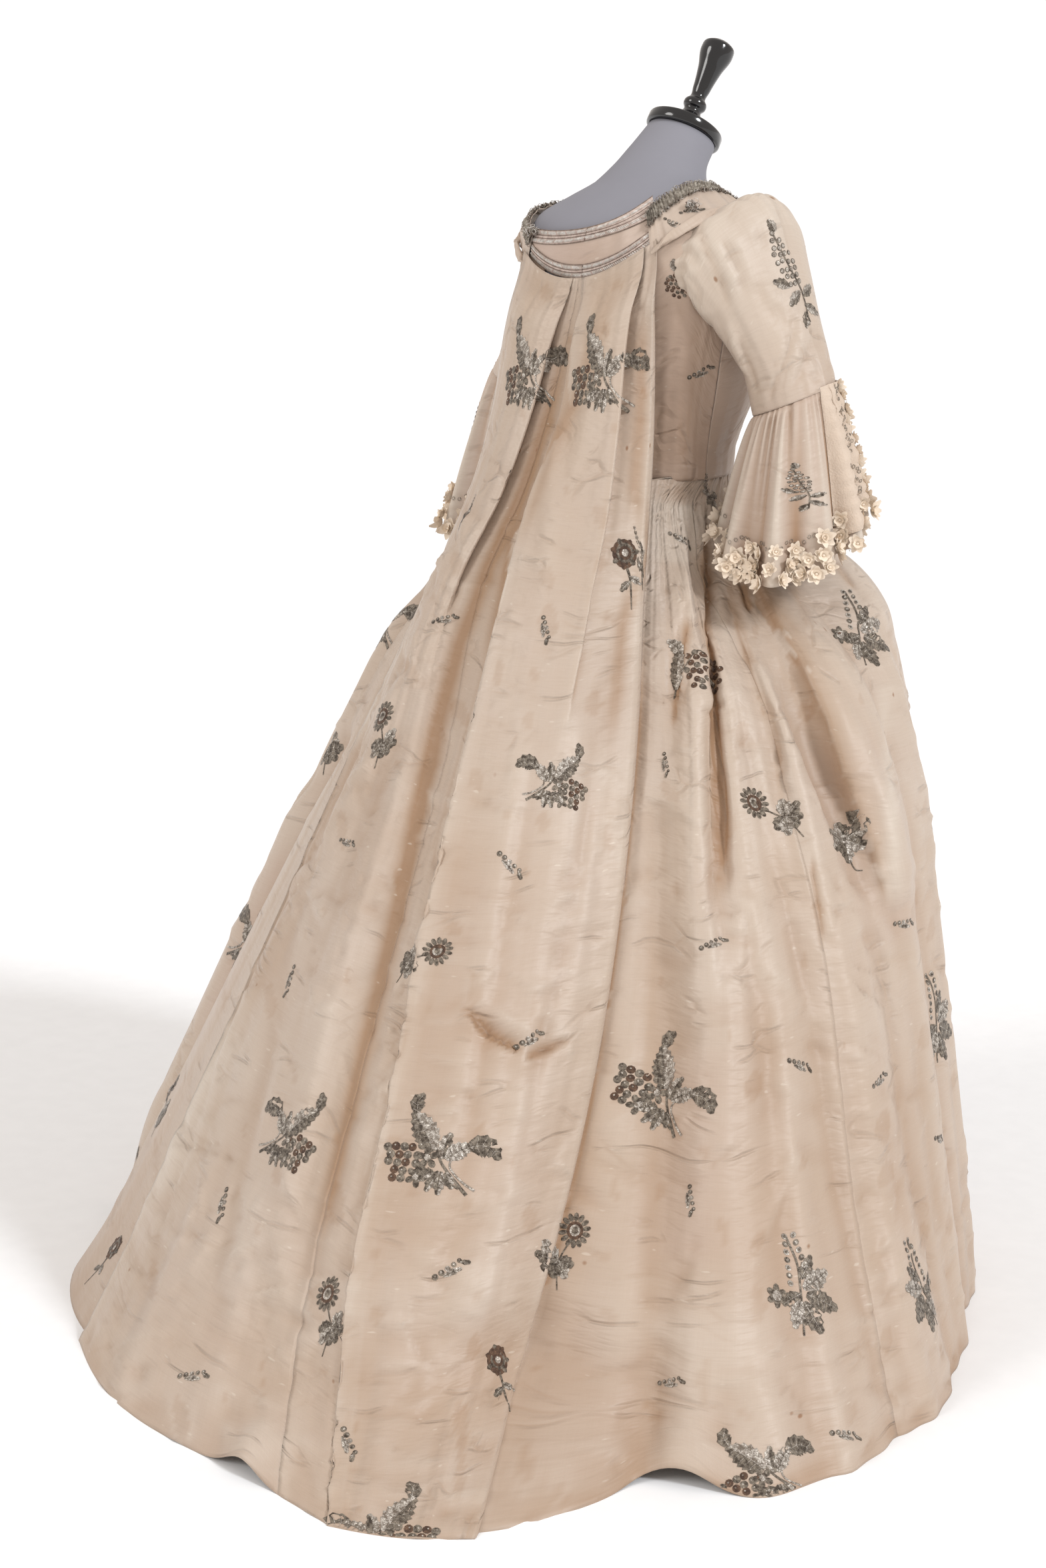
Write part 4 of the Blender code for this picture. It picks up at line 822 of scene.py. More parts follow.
def bodice_grid(angles, tops, side, rows):
    """Grid and chart on the torso from the waist seam up to a top edge given at angles."""
    angles = np.asarray(angles, float)
    grid, chart = [], []
    for share in np.linspace(0, 1, rows):
        height = WAIST - BODICE_BELOW + share * (along(tops, angles) - WAIST + BODICE_BELOW)
        full = (FULLNESS * fade(angles, 32, 48) * (1 - fade(angles, 72, 108))
                * np.exp(-((height - FULLNESS_HEIGHT) / 0.06) ** 2))
        spring = WAIST_SPRING * float(1 - fade(share, 0.02, 0.12))
        grid.append(torso(side * angles, height, EASE + CLOTH + spring + full))
        chart.append(np.stack([angles, height], -1))
    return np.array(grid), np.array(chart)


ROBING_COLUMNS = 200


def neck_strip(low, high, lift, cols=120, rows=6):
    """A strip across the back of the neck between two edges, each a function of x."""
    angles = 180 + np.linspace(-36, 36, 61)
    flat = torso(angles, 1.37)[:, 0]
    spread = np.linspace(NECK_ENDS[0], NECK_ENDS[1], cols)
    angles = np.interp(spread, flat[::-1], angles[::-1])
    return np.array([torso(angles, low(spread) + (high(spread) - low(spread)) * share, lift)
                     for share in np.linspace(0, 1, rows)])


def robing_grid(side, lift, shares, count=ROBING_COLUMNS):
    """Grid over part of the robing's width, above the torso; lift may vary."""
    line = np.array(ROBING_LINES[side])
    knots = np.arange(len(line))
    place = np.linspace(0, len(line) - 1, count)
    values = [smooth(place, knots, line[:, k]) for k in range(4)]
    grid = []
    for k, share in enumerate(shares):
        angle = values[0] + (values[2] - values[0]) * share
        height = values[1] + (values[3] - values[1]) * share
        grid.append(torso(side * angle, height, lift if np.isscalar(lift) else lift[k]))
    return np.array(grid)


# ---------------------------------------------------------------- the sleeves
SLEEVES = {side: columns(SLEEVE_COLUMNS, rings) for side, rings in SLEEVE_RINGS.items()}
LAST_RING = len(SLEEVE_RINGS[RIGHT]) - 1
# how far the back of the sleeve stands out towards the middle of the back, by row
HEAD_PUSH = ((0.0, 0.046), (0.5, 0.044), (1.0, 0.046), (1.5, 0.048), (2.0, 0.046), (2.5, 0.039), (3.0, 0.029),
             (3.5, 0.020), (4.0, 0.013), (4.5, 0.007), (5.0, 0.003), (6.0, -0.005))
HEAD_GATHERS = 21
HEAD_GATHER_DEPTH = 0.0019
END_SLANT = 0.26                            # rise of the elbow seam from its back to its front
SIGHT = {RIGHT: (-0.72, -0.69), LEFT: (0.3, -0.95)}
FLOUNCE_DEPTH = 0.155
FLOUNCE_SWING = 0.068
FLOUNCE_DEEPEST = 70
FLOUNCE_SPREAD = 0.042
FLOUNCE_FLUTES = 11
FLOUNCE_GATHERS = 34
FLOUNCE_COLUMNS = 210
FLUTE_DEPTH = 0.0095
LACE_DEPTH = 0.158
LACE_SWING = 0.034
LACE_SPREAD = 0.030
LACE_TUCK = 0.011           # how far the lace stays inside the flounce's gathers
LACE_COLUMNS = 132
SCALLOP_DEPTH = 0.004
SCALLOP_PAIRS = 22


def sleeve_ring(side, row, grow=0.0, sides=96):
    """Ring of the sleeve at a row of its table; 0 degrees is outside, 90 is the back."""
    values = {key: float(smooth(row, np.arange(LAST_RING + 1), SLEEVES[side][key])) for key in SLEEVE_COLUMNS}
    outer = np.array([side * values["outer_x"], values["outer_y"], values["outer_z"]])
    inner = np.array([side * values["inner_x"], values["inner_y"], values["inner_z"]])
    centre = (outer + inner) / 2
    reach = (outer - inner) / 2
    length = np.linalg.norm(reach)
    reach = reach * (length + grow) / length
    depth = np.array([0.0, values["half_depth"] + grow, 0.0])
    turn = full_turn(sides)[:, None]
    ring = centre + reach * np.cos(turn) + depth * np.sin(turn)
    push = float(along(HEAD_PUSH, row)) * (1.0 if side < 0 else 0.45)
    behind = np.clip(np.cos(turn[:, 0] - math.radians(112)), 0, 1)
    ring[:, 0] -= side * 0.722 * push * behind
    ring[:, 1] += 0.692 * push * behind
    slant = float(fade(row, LAST_RING - 1.4, LAST_RING)) * END_SLANT
    across = SIGHT[side][0] * (ring[:, 0] - centre[0]) + SIGHT[side][1] * (ring[:, 1] - centre[1])
    ring[:, 2] += slant * across
    return ring


def cuff(side, shares, fall, spread, grow, ripple, sides):
    """Grid of a ruffle hanging from the end of the sleeve; ripple(turn, share) moves it out."""
    ring = sleeve_ring(side, LAST_RING, grow, sides)
    centre = ring.mean(axis=0)
    turn = full_turn(sides)
    out = ring - centre
    out[:, 2] = 0
    out = unit(out)
    depth = fall(turn)
    grid = []
    for share in shares:
        lean = 0.70 + 0.30 * np.cos(turn)
        move = spread * lean * share ** 0.8 * depth / FLOUNCE_DEPTH + ripple(turn, share)
        point = ring + move[:, None] * out
        point[:, 2] = ring[:, 2] * (1 - share) + centre[2] * share - SEAM - depth * share
        point[:, 2] = np.minimum(point[:, 2], ring[:, 2] - SEAM)
        grid.append(point)
    tucked = grid[0] - 0.0008 * out
    tucked[:, 2] = ring[:, 2] + 0.005
    return np.array([tucked] + grid)


def flounce_fall(turn):
    """The flounce's depth round the arm."""
    return FLOUNCE_DEPTH + FLOUNCE_SWING * np.cos(turn - math.radians(FLOUNCE_DEEPEST))


def lace_fall(turn):
    """The lace's depth round the arm."""
    return LACE_DEPTH + LACE_SWING * np.cos(turn - math.radians(-20))


# ---------------------------------------------------------------- creases and marks of the seen side
# A crease is (depth and width in millimetres, kind, fading shares of its ends, line) and a mark is (0 brown,
# 1 pink or 2 pale, strength, line, width in millimetres, kind).  Lines here are given in the picture's
# pixels.


def beside(line, step):
    """A line moved across the picture by some pixels."""
    return [(x + step, y) for x, y in line]


RIDGE = ((868, 470), (850, 560), (828, 668), (765, 807), (722, 998),
         (661, 1233), (604, 1558), (546, 1776), (501, 2097), (487, 2280))
SACK_SIDE = ((700, 2309), (732, 2114), (814, 1915), (877, 1661),
             (933, 1309), (952, 1099), (959, 902), (972, 740))
# the sack back and its train
SEEN_SACK_CREASES = {
    "band one": (3.5, 20, "soft", (0.2, 0.2),
        ((905, 800), (880, 1000), (850, 1200), (800, 1500), (740, 1900), (690, 2200))),
    "band two": (-4.5, 15, "soft", (0.2, 0.2),
        ((850, 930), (815, 1100), (770, 1350), (700, 1700), (640, 2000), (590, 2270))),
    "band three": (3.5, 17, "soft", (0.2, 0.2),
        ((800, 1000), (760, 1250), (700, 1550), (640, 1850), (570, 2230))),
    "band four": (-4, 11, "soft", (0.2, 0.3),
        ((905, 1000), (885, 1200), (850, 1400), (800, 1640), (760, 1850))),
    "band five": (-5, 20, "soft", (0.2, 0.2),
        ((600, 900), (500, 1200), (400, 1550), (330, 1900), (300, 2120))),
    "band six": (4.5, 22, "soft", (0.2, 0.2),
        ((660, 1000), (580, 1250), (500, 1500), (430, 1800), (400, 2130))),
    "band seven": (-4, 18, "soft", (0.2, 0.2), ((470, 1150), (350, 1500), (250, 1800), (190, 2050))),
    "crease that divides the right box pleat": (3.5, 16, "soft", (0.2, 0.5),
        ((843, 616), (829, 696), (820, 786), (825, 875), (822, 960))),
    "dent in the train": (-14, 9, "edge", (0.3, 0.15), ((693, 1505), (738, 1546), (785, 1581))),
    "dent, other arm": (-11, 8, "edge", (0.15, 0.4), ((785, 1583), (823, 1576), (864, 1552))),
    "dent, crest": (6, 9, "soft", (0.3, 0.3), ((719, 1502), (764, 1535), (811, 1557))),
    "slanting ridge": (3.5, 13, "soft", (0.3, 0.4), ((594, 1863), (658, 1895), (758, 1961))),
    "below slanting ridge": (-3, 8, "edge", (0.3, 0.4), ((588, 1884), (670, 1928), (752, 1979))),
    "level crease by the ridge": (-3.5, 6, "edge", (0.1, 0.4), ((531, 2115), (576, 2117), (625, 2116))),
    "curved crease": (-3, 9, "edge", (0.3, 0.4), ((719, 1013), (782, 1034), (849, 1070))),
    "curved crease, lower": (-2.2, 7, "edge", (0.3, 0.4), ((705, 1064), (752, 1087), (795, 1117))),
    "pinch on the left": (-5, 8, "edge", (0.15, 0.5), ((219, 1707), (273, 1715), (322, 1726), (374, 1744))),
    "pinch on the left, second": (-3, 6, "edge", (0.3, 0.4), ((277, 1693), (315, 1711), (353, 1718))),
    "facing left": (-1.6, 3, "soft", (0.02, 0.05), ((143, 1916), (188, 1937), (268, 1961), (366, 2025))),
    "facing middle": (-1.6, 3, "soft", (0.05, 0.02), ((401, 2133), (453, 2104), (508, 2083))),
    "long soft valley": (-5, 26, "soft", (0.2, 0.3),
        ((785, 752), (743, 893), (688, 1058), (635, 1222), (576, 1446), (535, 1669))),
    "long soft crest": (5, 24, "soft", (0.3, 0.3),
        ((729, 764), (658, 976), (576, 1211), (494, 1458), (423, 1704))),
    "long soft valley 2": (-6, 34, "soft", (0.3, 0.3),
        ((635, 1011), (529, 1269), (435, 1493), (341, 1740), (282, 1928))),
    "side soft crest": (4, 26, "soft", (0.3, 0.3),
        ((658, 893), (541, 1152), (435, 1363), (329, 1587), (235, 1810))),
    "side soft valley": (-4, 24, "soft", (0.3, 0.3), ((588, 1011), (470, 1234), (353, 1481), (247, 1728))),
    "tail crease a": (-2.6, 7, "edge", (0.3, 0.4), ((654, 2063), (717, 2036), (795, 2024))),
    "tail crease b": (-2.4, 6, "edge", (0.3, 0.4), ((552, 1961), (611, 1970), (676, 1954))),
    "tail crease c": (-2.4, 6, "edge", (0.3, 0.4), ((658, 2175), (729, 2160), (811, 2170))),
    "hem bunch a": (-4, 7, "edge", (0.2, 0.1), ((652, 2263), (705, 2271), (764, 2270))),
    "hem bunch b": (3, 6, "soft", (0.3, 0.3), ((658, 2239), (717, 2250), (762, 2247))),
    "left pleat drag a": (-3, 10, "edge", (0.2, 0.4), ((693, 658), (752, 705), (811, 717))),
    "left pleat drag b": (-2.5, 9, "edge", (0.3, 0.4), ((670, 752), (717, 782), (764, 785))),
    "left crease c": (-2.6, 8, "edge", (0.3, 0.4), ((517, 1128), (564, 1158), (611, 1164))),
    "left crease d": (-2.6, 8, "edge", (0.3, 0.4), ((388, 1269), (458, 1293), (505, 1288))),
    "left crease e": (-3, 8, "edge", (0.3, 0.4), ((294, 1493), (353, 1475), (437, 1483))),
    "left crease f": (-3, 9, "edge", (0.3, 0.4), ((212, 1834), (282, 1851), (376, 1843))),
    "left crease g": (-2.6, 7, "edge", (0.3, 0.4), ((353, 1939), (411, 1928), (482, 1939))),
    "right pleat crease a": (-2.2, 7, "edge", (0.3, 0.4), ((811, 811), (852, 823), (887, 811))),
    "right pleat crease b": (-2.4, 7, "edge", (0.3, 0.4), ((752, 940), (811, 947), (870, 929))),
    "right pleat crease c": (-2.4, 8, "edge", (0.3, 0.4), ((682, 1187), (741, 1211), (823, 1201))),
    "right pleat crease d": (-2.8, 8, "edge", (0.3, 0.4), ((658, 1328), (729, 1347), (811, 1340))),
    "right pleat crease e": (-2.6, 8, "edge", (0.3, 0.4), ((635, 1422), (705, 1410), (764, 1422))),
    "right pleat crease f": (-3, 9, "edge", (0.3, 0.4), ((576, 1646), (658, 1636), (752, 1657))),
    "strip crinkle a": (-2.4, 5, "edge", (0.2, 0.3), ((966, 458), (957, 463), (949, 462))),
    "strip crinkle b": (-2.2, 5, "edge", (0.2, 0.3), ((972, 530), (960, 537), (945, 534))),
    "strip crinkle c": (-2, 5, "edge", (0.2, 0.3), ((976, 620), (962, 628), (940, 622))),
    "strip crinkle d": (-2, 5, "edge", (0.2, 0.3), ((970, 745), (950, 752), (925, 745))),
    "strip crinkle e": (-2, 5, "edge", (0.2, 0.3), ((955, 985), (930, 990), (890, 980))),
}
# the right side and front of the skirt
SEEN_SKIRT_CREASES = {
    "pocket fold": (11, 15, "step", (0.1, 0.16),
        ((1056, 745), (1055, 860), (1057, 940), (1063, 1010), (1066, 1080), (1071, 1150), (1074, 1225),
         (1076, 1300), (1080, 1352))),
    "pocket fold, bottom of the groove": (-9, 7, "pinch", (0.1, 0.2),
        ((1058, 760), (1058, 859), (1060, 939), (1066, 1010), (1070, 1080), (1075, 1150), (1078, 1225),
         (1080, 1290))),
    "pocket fold, lower": (-6, 12, "soft", (0.3, 0.2),
        ((1078, 1120), (1082, 1200), (1084, 1290), (1089, 1345))),
    "lip under the pocket fold": (-5, 6, "edge", (0.1, 0.2), ((1073, 1366), (1090, 1370), (1112, 1366))),
    "soft fold going on down": (-9, 24, "soft", (0.1, 0.5),
        ((1107, 1366), (1138, 1486), (1152, 1553), (1161, 1660), (1214, 1750))),
    "middle fold": (-13, 11, "soft", (0.15, 0.3),
        ((1090, 845), (1104, 929), (1118, 980), (1138, 1040), (1153, 1095), (1164, 1140), (1172, 1190),
         (1175, 1250))),
    "middle fold, crease": (7, 16, "lap", (0.25, 0.3),
        ((1092, 850), (1107, 929), (1121, 980), (1141, 1040), (1156, 1095), (1167, 1140), (1174, 1190))),
    "long fold, its edge": (11, 50, "lap", (0.1, 0.12),
        ((1113, 835), (1140, 885), (1167, 940), (1195, 985), (1215, 1025), (1240, 1085), (1265, 1150),
         (1290, 1220), (1310, 1275), (1322, 1330), (1330, 1382))),
    "long fold, its hollow": (-13, 22, "soft", (0.2, 0.25),
        ((1105, 862), (1126, 905), (1150, 958), (1174, 1003), (1195, 1050), (1218, 1105), (1242, 1170),
         (1266, 1235), (1290, 1300))),
    "short deep fold": (-9, 6, "pinch", (0.2, 0.3), ((1111, 866), (1119, 886), (1129, 912))),
    "front short crease": (-6, 6, "edge", (0.2, 0.35), ((1240, 830), (1255, 845), (1270, 865), (1283, 888))),
    "thin upright crease": (-4.5, 5, "pinch", (0.3, 0.2),
        ((1215, 1265), (1221, 1310), (1227, 1350), (1235, 1420))),
    "thin slanting crease": (-3, 5, "edge", (0.3, 0.3), ((1190, 890), (1202, 915), (1215, 942))),
    "small crease a": (-2.6, 4, "edge", (0.3, 0.4), ((1190, 952), (1210, 958), (1232, 962))),
    "small crease b": (-2.4, 4, "edge", (0.3, 0.4), ((1210, 986), (1226, 989), (1246, 989))),
    "small crease c": (-2.6, 4, "edge", (0.3, 0.4), ((1204, 1195), (1222, 1199), (1242, 1201))),
    "small crease d": (-2.6, 4, "edge", (0.3, 0.4), ((1240, 1368), (1262, 1364), (1286, 1361))),
    "small crease e": (-2.4, 4, "edge", (0.3, 0.4), ((1176, 1098), (1184, 1106), (1186, 1118))),
    "small crease f": (-2.4, 4, "edge", (0.3, 0.4), ((1056, 941), (1064, 948), (1072, 950))),
    "slit beside the sack": (-6, 6, "pinch", (0.15, 0.3), ((1033, 912), (1022, 1000), (1010, 1096))),
    "slit, raised side": (4, 16, "step", (0.15, 0.3), ((1036, 905), (1026, 1000), (1014, 1100))),
    "gather a": (-4, 6, "pinch", (0.1, 0.5), ((1072, 742), (1080, 800), (1092, 850))),
    "gather b": (-4, 6, "pinch", (0.1, 0.5), ((1078, 735), (1100, 790), (1128, 850))),
    "gather c": (-3.5, 6, "pinch", (0.1, 0.5), ((1084, 730), (1120, 780), (1165, 845))),
    "slanting crease a": (-4, 8, "edge", (0.3, 0.4), ((1241, 1446), (1290, 1480), (1348, 1522))),
    "slanting crease b": (-3.2, 6, "edge", (0.3, 0.4), ((1238, 1440), (1290, 1450), (1342, 1468))),
    "slanting crease c": (-3.5, 7, "edge", (0.3, 0.4), ((1254, 1558), (1300, 1574), (1340, 1598))),
    "slanting crease d": (-3.5, 7, "edge", (0.3, 0.4), ((1090, 1450), (1115, 1470), (1142, 1493))),
    "crease e": (-3, 7, "edge", (0.3, 0.4), ((1175, 1340), (1222, 1354), (1275, 1387))),
    "crease f": (-3, 7, "edge", (0.3, 0.4), ((1064, 1369), (1117, 1387), (1175, 1378))),
    "crease g": (-3, 7, "edge", (0.3, 0.4), ((1034, 1446), (1087, 1462), (1158, 1453))),
    "crease h": (-2.6, 7, "edge", (0.3, 0.4), ((1264, 1493), (1316, 1483), (1375, 1500))),
    "crease i": (-3, 7, "edge", (0.3, 0.4), ((1281, 1634), (1340, 1648), (1399, 1643))),
    "crease j": (-3, 8, "edge", (0.3, 0.4), ((1058, 1646), (1128, 1634), (1187, 1648))),
    "crease k": (-3, 8, "edge", (0.3, 0.4), ((964, 1763), (1034, 1777), (1117, 1763))),
    "crease l": (-3, 8, "edge", (0.3, 0.4), ((1258, 1787), (1316, 1798), (1399, 1782))),
    "crease m": (-3, 8, "edge", (0.3, 0.4), ((1281, 1928), (1352, 1939), (1422, 1923))),
    "crease n": (-3, 8, "edge", (0.3, 0.4), ((893, 1928), (976, 1911), (1058, 1928))),
    "crease o": (-3.4, 9, "edge", (0.3, 0.4), ((846, 2069), (929, 2055), (999, 2064))),
    "crease p": (-3.4, 9, "edge", (0.3, 0.3), ((1164, 2051), (1199, 2104), (1228, 2175))),
    "crease q": (-3, 9, "soft", (0.3, 0.3), ((1275, 2069), (1328, 2086), (1399, 2057))),
    "hem fold beside the notch": (6, 22, "soft", (0.4, 0.1), ((1128, 2045), (1158, 2116), (1175, 2186))),
    "hem hollow": (-6, 22, "soft", (0.4, 0.1), ((1093, 2039), (1087, 2104), (1064, 2169))),
    "facing a": (-1.6, 3, "soft", (0.02, 0.02),
        ((767, 2156), (880, 2150), (995, 2142), (1085, 2134), (1173, 2123))),
    "facing b": (-1.6, 3, "soft", (0.02, 0.02), ((1200, 2102), (1265, 2090), (1330, 2072), (1400, 2047))),
}
# the right sleeve
SEEN_SLEEVE_CREASES = {
    "head fold": (-6, 9, "edge", (0.1, 0.35), ((1044, 342), (1059, 379), (1080, 425), (1096, 471))),
    "head fold, crest": (4.5, 9, "soft", (0.1, 0.35), ((1056, 335), (1072, 370), (1094, 415), (1112, 462))),
    "second head fold": (-5, 8, "edge", (0.15, 0.4), ((1082, 359), (1102, 402), (1120, 455))),
    "second head fold, crest": (3.5, 9, "soft", (0.15, 0.4), ((1096, 350), (1116, 395), (1136, 450))),
    "front head fold": (-3.5, 7, "edge", (0.2, 0.4), ((1128, 322), (1140, 350), (1146, 385))),
    "back edge fold": (-4.5, 7, "edge", (0.2, 0.3), ((1102, 498), (1118, 537), (1136, 590))),
    "back edge fold, crest": (3.5, 8, "soft", (0.2, 0.3), ((1088, 480), (1104, 520), (1122, 575))),
    "long slanting crease": (-4, 6, "edge", (0.2, 0.25),
        ((1190, 470), (1180, 524), (1160, 577), (1151, 612))),
    "front slanting crease": (-3.6, 6, "edge", (0.2, 0.25), ((1222, 488), (1206, 537), (1180, 590))),
    "slanting crest between": (3, 8, "soft", (0.3, 0.3), ((1206, 480), (1192, 530), (1170, 582))),
    "soft slanting valley": (-3, 9, "soft", (0.3, 0.4), ((1125, 412), (1158, 470), (1184, 498))),
    "elbow crease a": (-3, 5, "edge", (0.3, 0.3), ((1150, 540), (1172, 552), (1192, 556))),
    "elbow crease b": (-2.6, 5, "edge", (0.3, 0.3), ((1196, 560), (1218, 560), (1236, 556))),
    "elbow crease c": (-2.6, 5, "edge", (0.3, 0.3), ((1128, 592), (1144, 586), (1162, 588))),
    "arm crease": (-2.2, 5, "edge", (0.3, 0.4), ((1150, 430), (1172, 444), (1196, 446))),
}
# the sack back: its brown marks are painted shade down its hollows, left of its ridge, right of its right
# pleat's edge and in the dent of the train, and its pale ones are painted light on the train's left and
# painted highlight along the ridge's crest
SEEN_SACK_MARKS = (
    (0, 0.24, ((720, 1200), (690, 1400), (650, 1700), (620, 1950)), 90),
    (0, 0.24, ((600, 1080), (565, 1220), (520, 1400)), 50),
    (2, 0.35, ((310, 1500), (280, 1650), (250, 1800)), 90),
    (0, 0.5, RIDGE[:5], 18, "shade"),
    (0, 0.38, ((500, 1050), (450, 1250), (410, 1400), (370, 1520)), 60),
    (0, 0.3, RIDGE, 15, "shade"),
    (2, 0.22, beside(RIDGE, 7), 8),
    (0, 0.3, ((838, 1118), (866, 998), (890, 880), (905, 783), (930, 600), (948, 450)), 12, "shade"),
    (0, 0.25, ((690, 1520), (740, 1570), (790, 1600), (850, 1560)), 18),
)
# the skirt: its brown marks are painted shade in its folds, slits and creases and beside the sack's edge, its
# pale mark high at the back under the sleeve is painted light, and its pale stripe down the front is wear
SEEN_SKIRT_MARKS = (
    (0, 0.26, ((1100, 1450), (1110, 1650), (1120, 1850), (1130, 2000)), 110),
    (0, 0.14, ((1350, 1600), (1370, 1850)), 80),
    (2, 0.6, ((1020, 745), (1018, 790), (1015, 850)), 40),
    (0, 0.6, ((1084, 1350), (1080, 1290), (1078, 1225), (1075, 1150), (1070, 1080),
        (1067, 1010), (1060, 940), (1058, 860), (1059, 760)), 14, "shade"),
    (0, 0.5, ((1091, 850), (1105, 929), (1119, 980), (1139, 1040),
        (1154, 1095), (1165, 1140), (1173, 1190)), 12, "shade"),
    (0, 0.8, ((1112, 835), (1139, 885), (1166, 940), (1194, 985), (1214, 1025), (1239, 1085),
        (1264, 1150), (1289, 1220), (1309, 1275), (1321, 1330), (1329, 1382)), 26, "shade"),
    (0, 0.5, ((1112, 835), (1139, 885), (1166, 940), (1194, 985),
        (1214, 1025), (1239, 1085), (1264, 1150), (1289, 1220)), 7, "shade"),
    (0, 0.5, ((1240, 830), (1256, 848), (1280, 885)), 6),
    (0, 0.45, ((1216, 1280), (1222, 1320), (1228, 1360), (1234, 1410)), 5),
    (0, 0.75, ((1031, 925), (1022, 990), (1013, 1050), (1009, 1096)), 5),
    (0, 0.6, ((1113, 872), (1120, 888), (1129, 910)), 6),
    (2, 0.45, ((1322, 1012), (1326, 1080), (1330, 1150), (1334, 1230), (1337, 1310), (1338, 1380)), 16),
    (0, 0.3, ((1186, 880), (1200, 915), (1214, 945)), 7),
    (0, 0.65, beside(SACK_SIDE, 4), 30, "shade"),
)





# ---------------------------------------------------------------- creases and marks placed by the chart
# Places here are on each cloth's own chart: metres across and up on the sack, degrees and metres up on the
# skirt and the bodice, and degrees and ring on the sleeves.
SACK_ROWS = 270
SKIRT_ROWS = {RIGHT: 240, LEFT: 172}
SIDE_COLUMNS = {RIGHT: 62, LEFT: 44}
FRONT_COLUMNS = {RIGHT: 142, LEFT: 75}
PETTICOAT_COLUMNS = 56
BODICE_COLUMNS = 56
BODICE_ROWS = 60
FRONT_ANGLE = 25            # where the bodice front ends beside the stomacher
SEAM_GAP = 0.15             # degrees that the front and the back stay off their side seam
BROWNER_FROM = 20           # columns right of the sack's centre from which its silk is browner
BROWNER_RIGHT = 0.13
# metres for a step of 1 in each of a chart's two numbers
ANGLE_SCALE = (0.0075, 1.0)
TORSO_SCALE = (0.0024, 1.0)
SLEEVE_SCALE = (0.0012, 0.045)
# kinds of crinkle: lengths in metres, depths and widths in millimetres
BROAD = {"length": (0.06, 0.20), "width": (9, 20), "depth": (1.5, 4), "tilt": 0.8}
HEM_BROAD = {"length": (0.04, 0.16), "width": (6, 13), "depth": (1.5, 4)}
# crinkles are (seed, count, (low, high) corners of a box of the chart, kind)
SACK_CRINKLES = (
    (11, 380, ((-0.56, 0.0), (0.21, 0.60)), {}),
    (12, 200, ((-0.30, 0.55), (0.18, 1.05)), {}),
    (13, 70, ((-0.20, 1.05), (0.15, 1.32)), {"length": (0.01, 0.045), "depth": (0.5, 1.6), "width": (3, 6)}),
    (14, 60, ((-0.56, 0.0), (0.21, 0.16)), HEM_BROAD),
    (15, 60, ((-0.50, 0.1), (0.20, 0.9)), BROAD),
)
# painted shade down the valley beside the ridge, below the neck band
SACK_MARKS = (
    (0, 0.50, ((-0.068, 1.33), (-0.055, 1.20), (-0.035, 1.05), (-0.010, 0.93)), 16),
)
SKIRT_CRINKLES = {
    RIGHT: ((21, 330, ((28, 0.0), (150, 0.62)), {}), (22, 150, ((60, 0.55), (135, 0.97)), {}),
            (23, 60, ((28, 0.0), (150, 0.16)), HEM_BROAD),
            (24, 70, ((28, 0.1), (150, 0.9)), BROAD)),
    LEFT: ((26, 220, ((28, 0.0), (150, 0.95)), {}),
           (27, 40, ((28, 0.0), (150, 0.5)), BROAD)),
}
# on each side the first brown mark, down beside the sack's edge, is painted shade
SKIRT_MARKS = {
    RIGHT: (
        (0, 0.30, ((137.5, 0.78), (138.5, 0.60), (141.0, 0.40), (143.5, 0.25), (146.0, 0.02)), 26),
        (0, 0.25, ((150.0, 0.004), (140.0, 0.004), (125.0, 0.004), (105.0, 0.004), (80.0, 0.004)), 12),
        (1, 0.22, ((128.0, 0.46), (130.0, 0.20)), 60), (1, 0.20, ((96.0, 0.78), (92.0, 0.50)), 60),
        ),
    LEFT: (
        (0, 0.55, ((146.0, 0.85), (152.0, 0.70), (158.0, 0.50), (161.0, 0.30), (164.0, 0.02)), 26),
        (0, 0.40, ((108.0, 1.02), (115.0, 0.92), (120.0, 0.82)), 36),
        (1, 0.25, ((134.0, 0.55), (138.0, 0.25)), 60))}
SLEEVE_CREASES = (
    # round the front and the inside of the arm
    (-4, 7, "edge", (0.2, 0.4), ((-20, 0.8), (-35, 2.0), (-45, 3.4))),
    (-3.5, 7, "edge", (0.3, 0.3), ((-60, 3.9), (-35, 4.3), (-10, 4.1))),
    (-3.5, 7, "edge", (0.3, 0.3), ((170, 4.5), (150, 5.0), (135, 4.9))),
)
SLEEVE_CRINKLES = ((31, 26, ((0, 0.6), (359, 5.8)), {"length": (0.02, 0.08), "tilt": 0.5, "lean": 0.6}),)


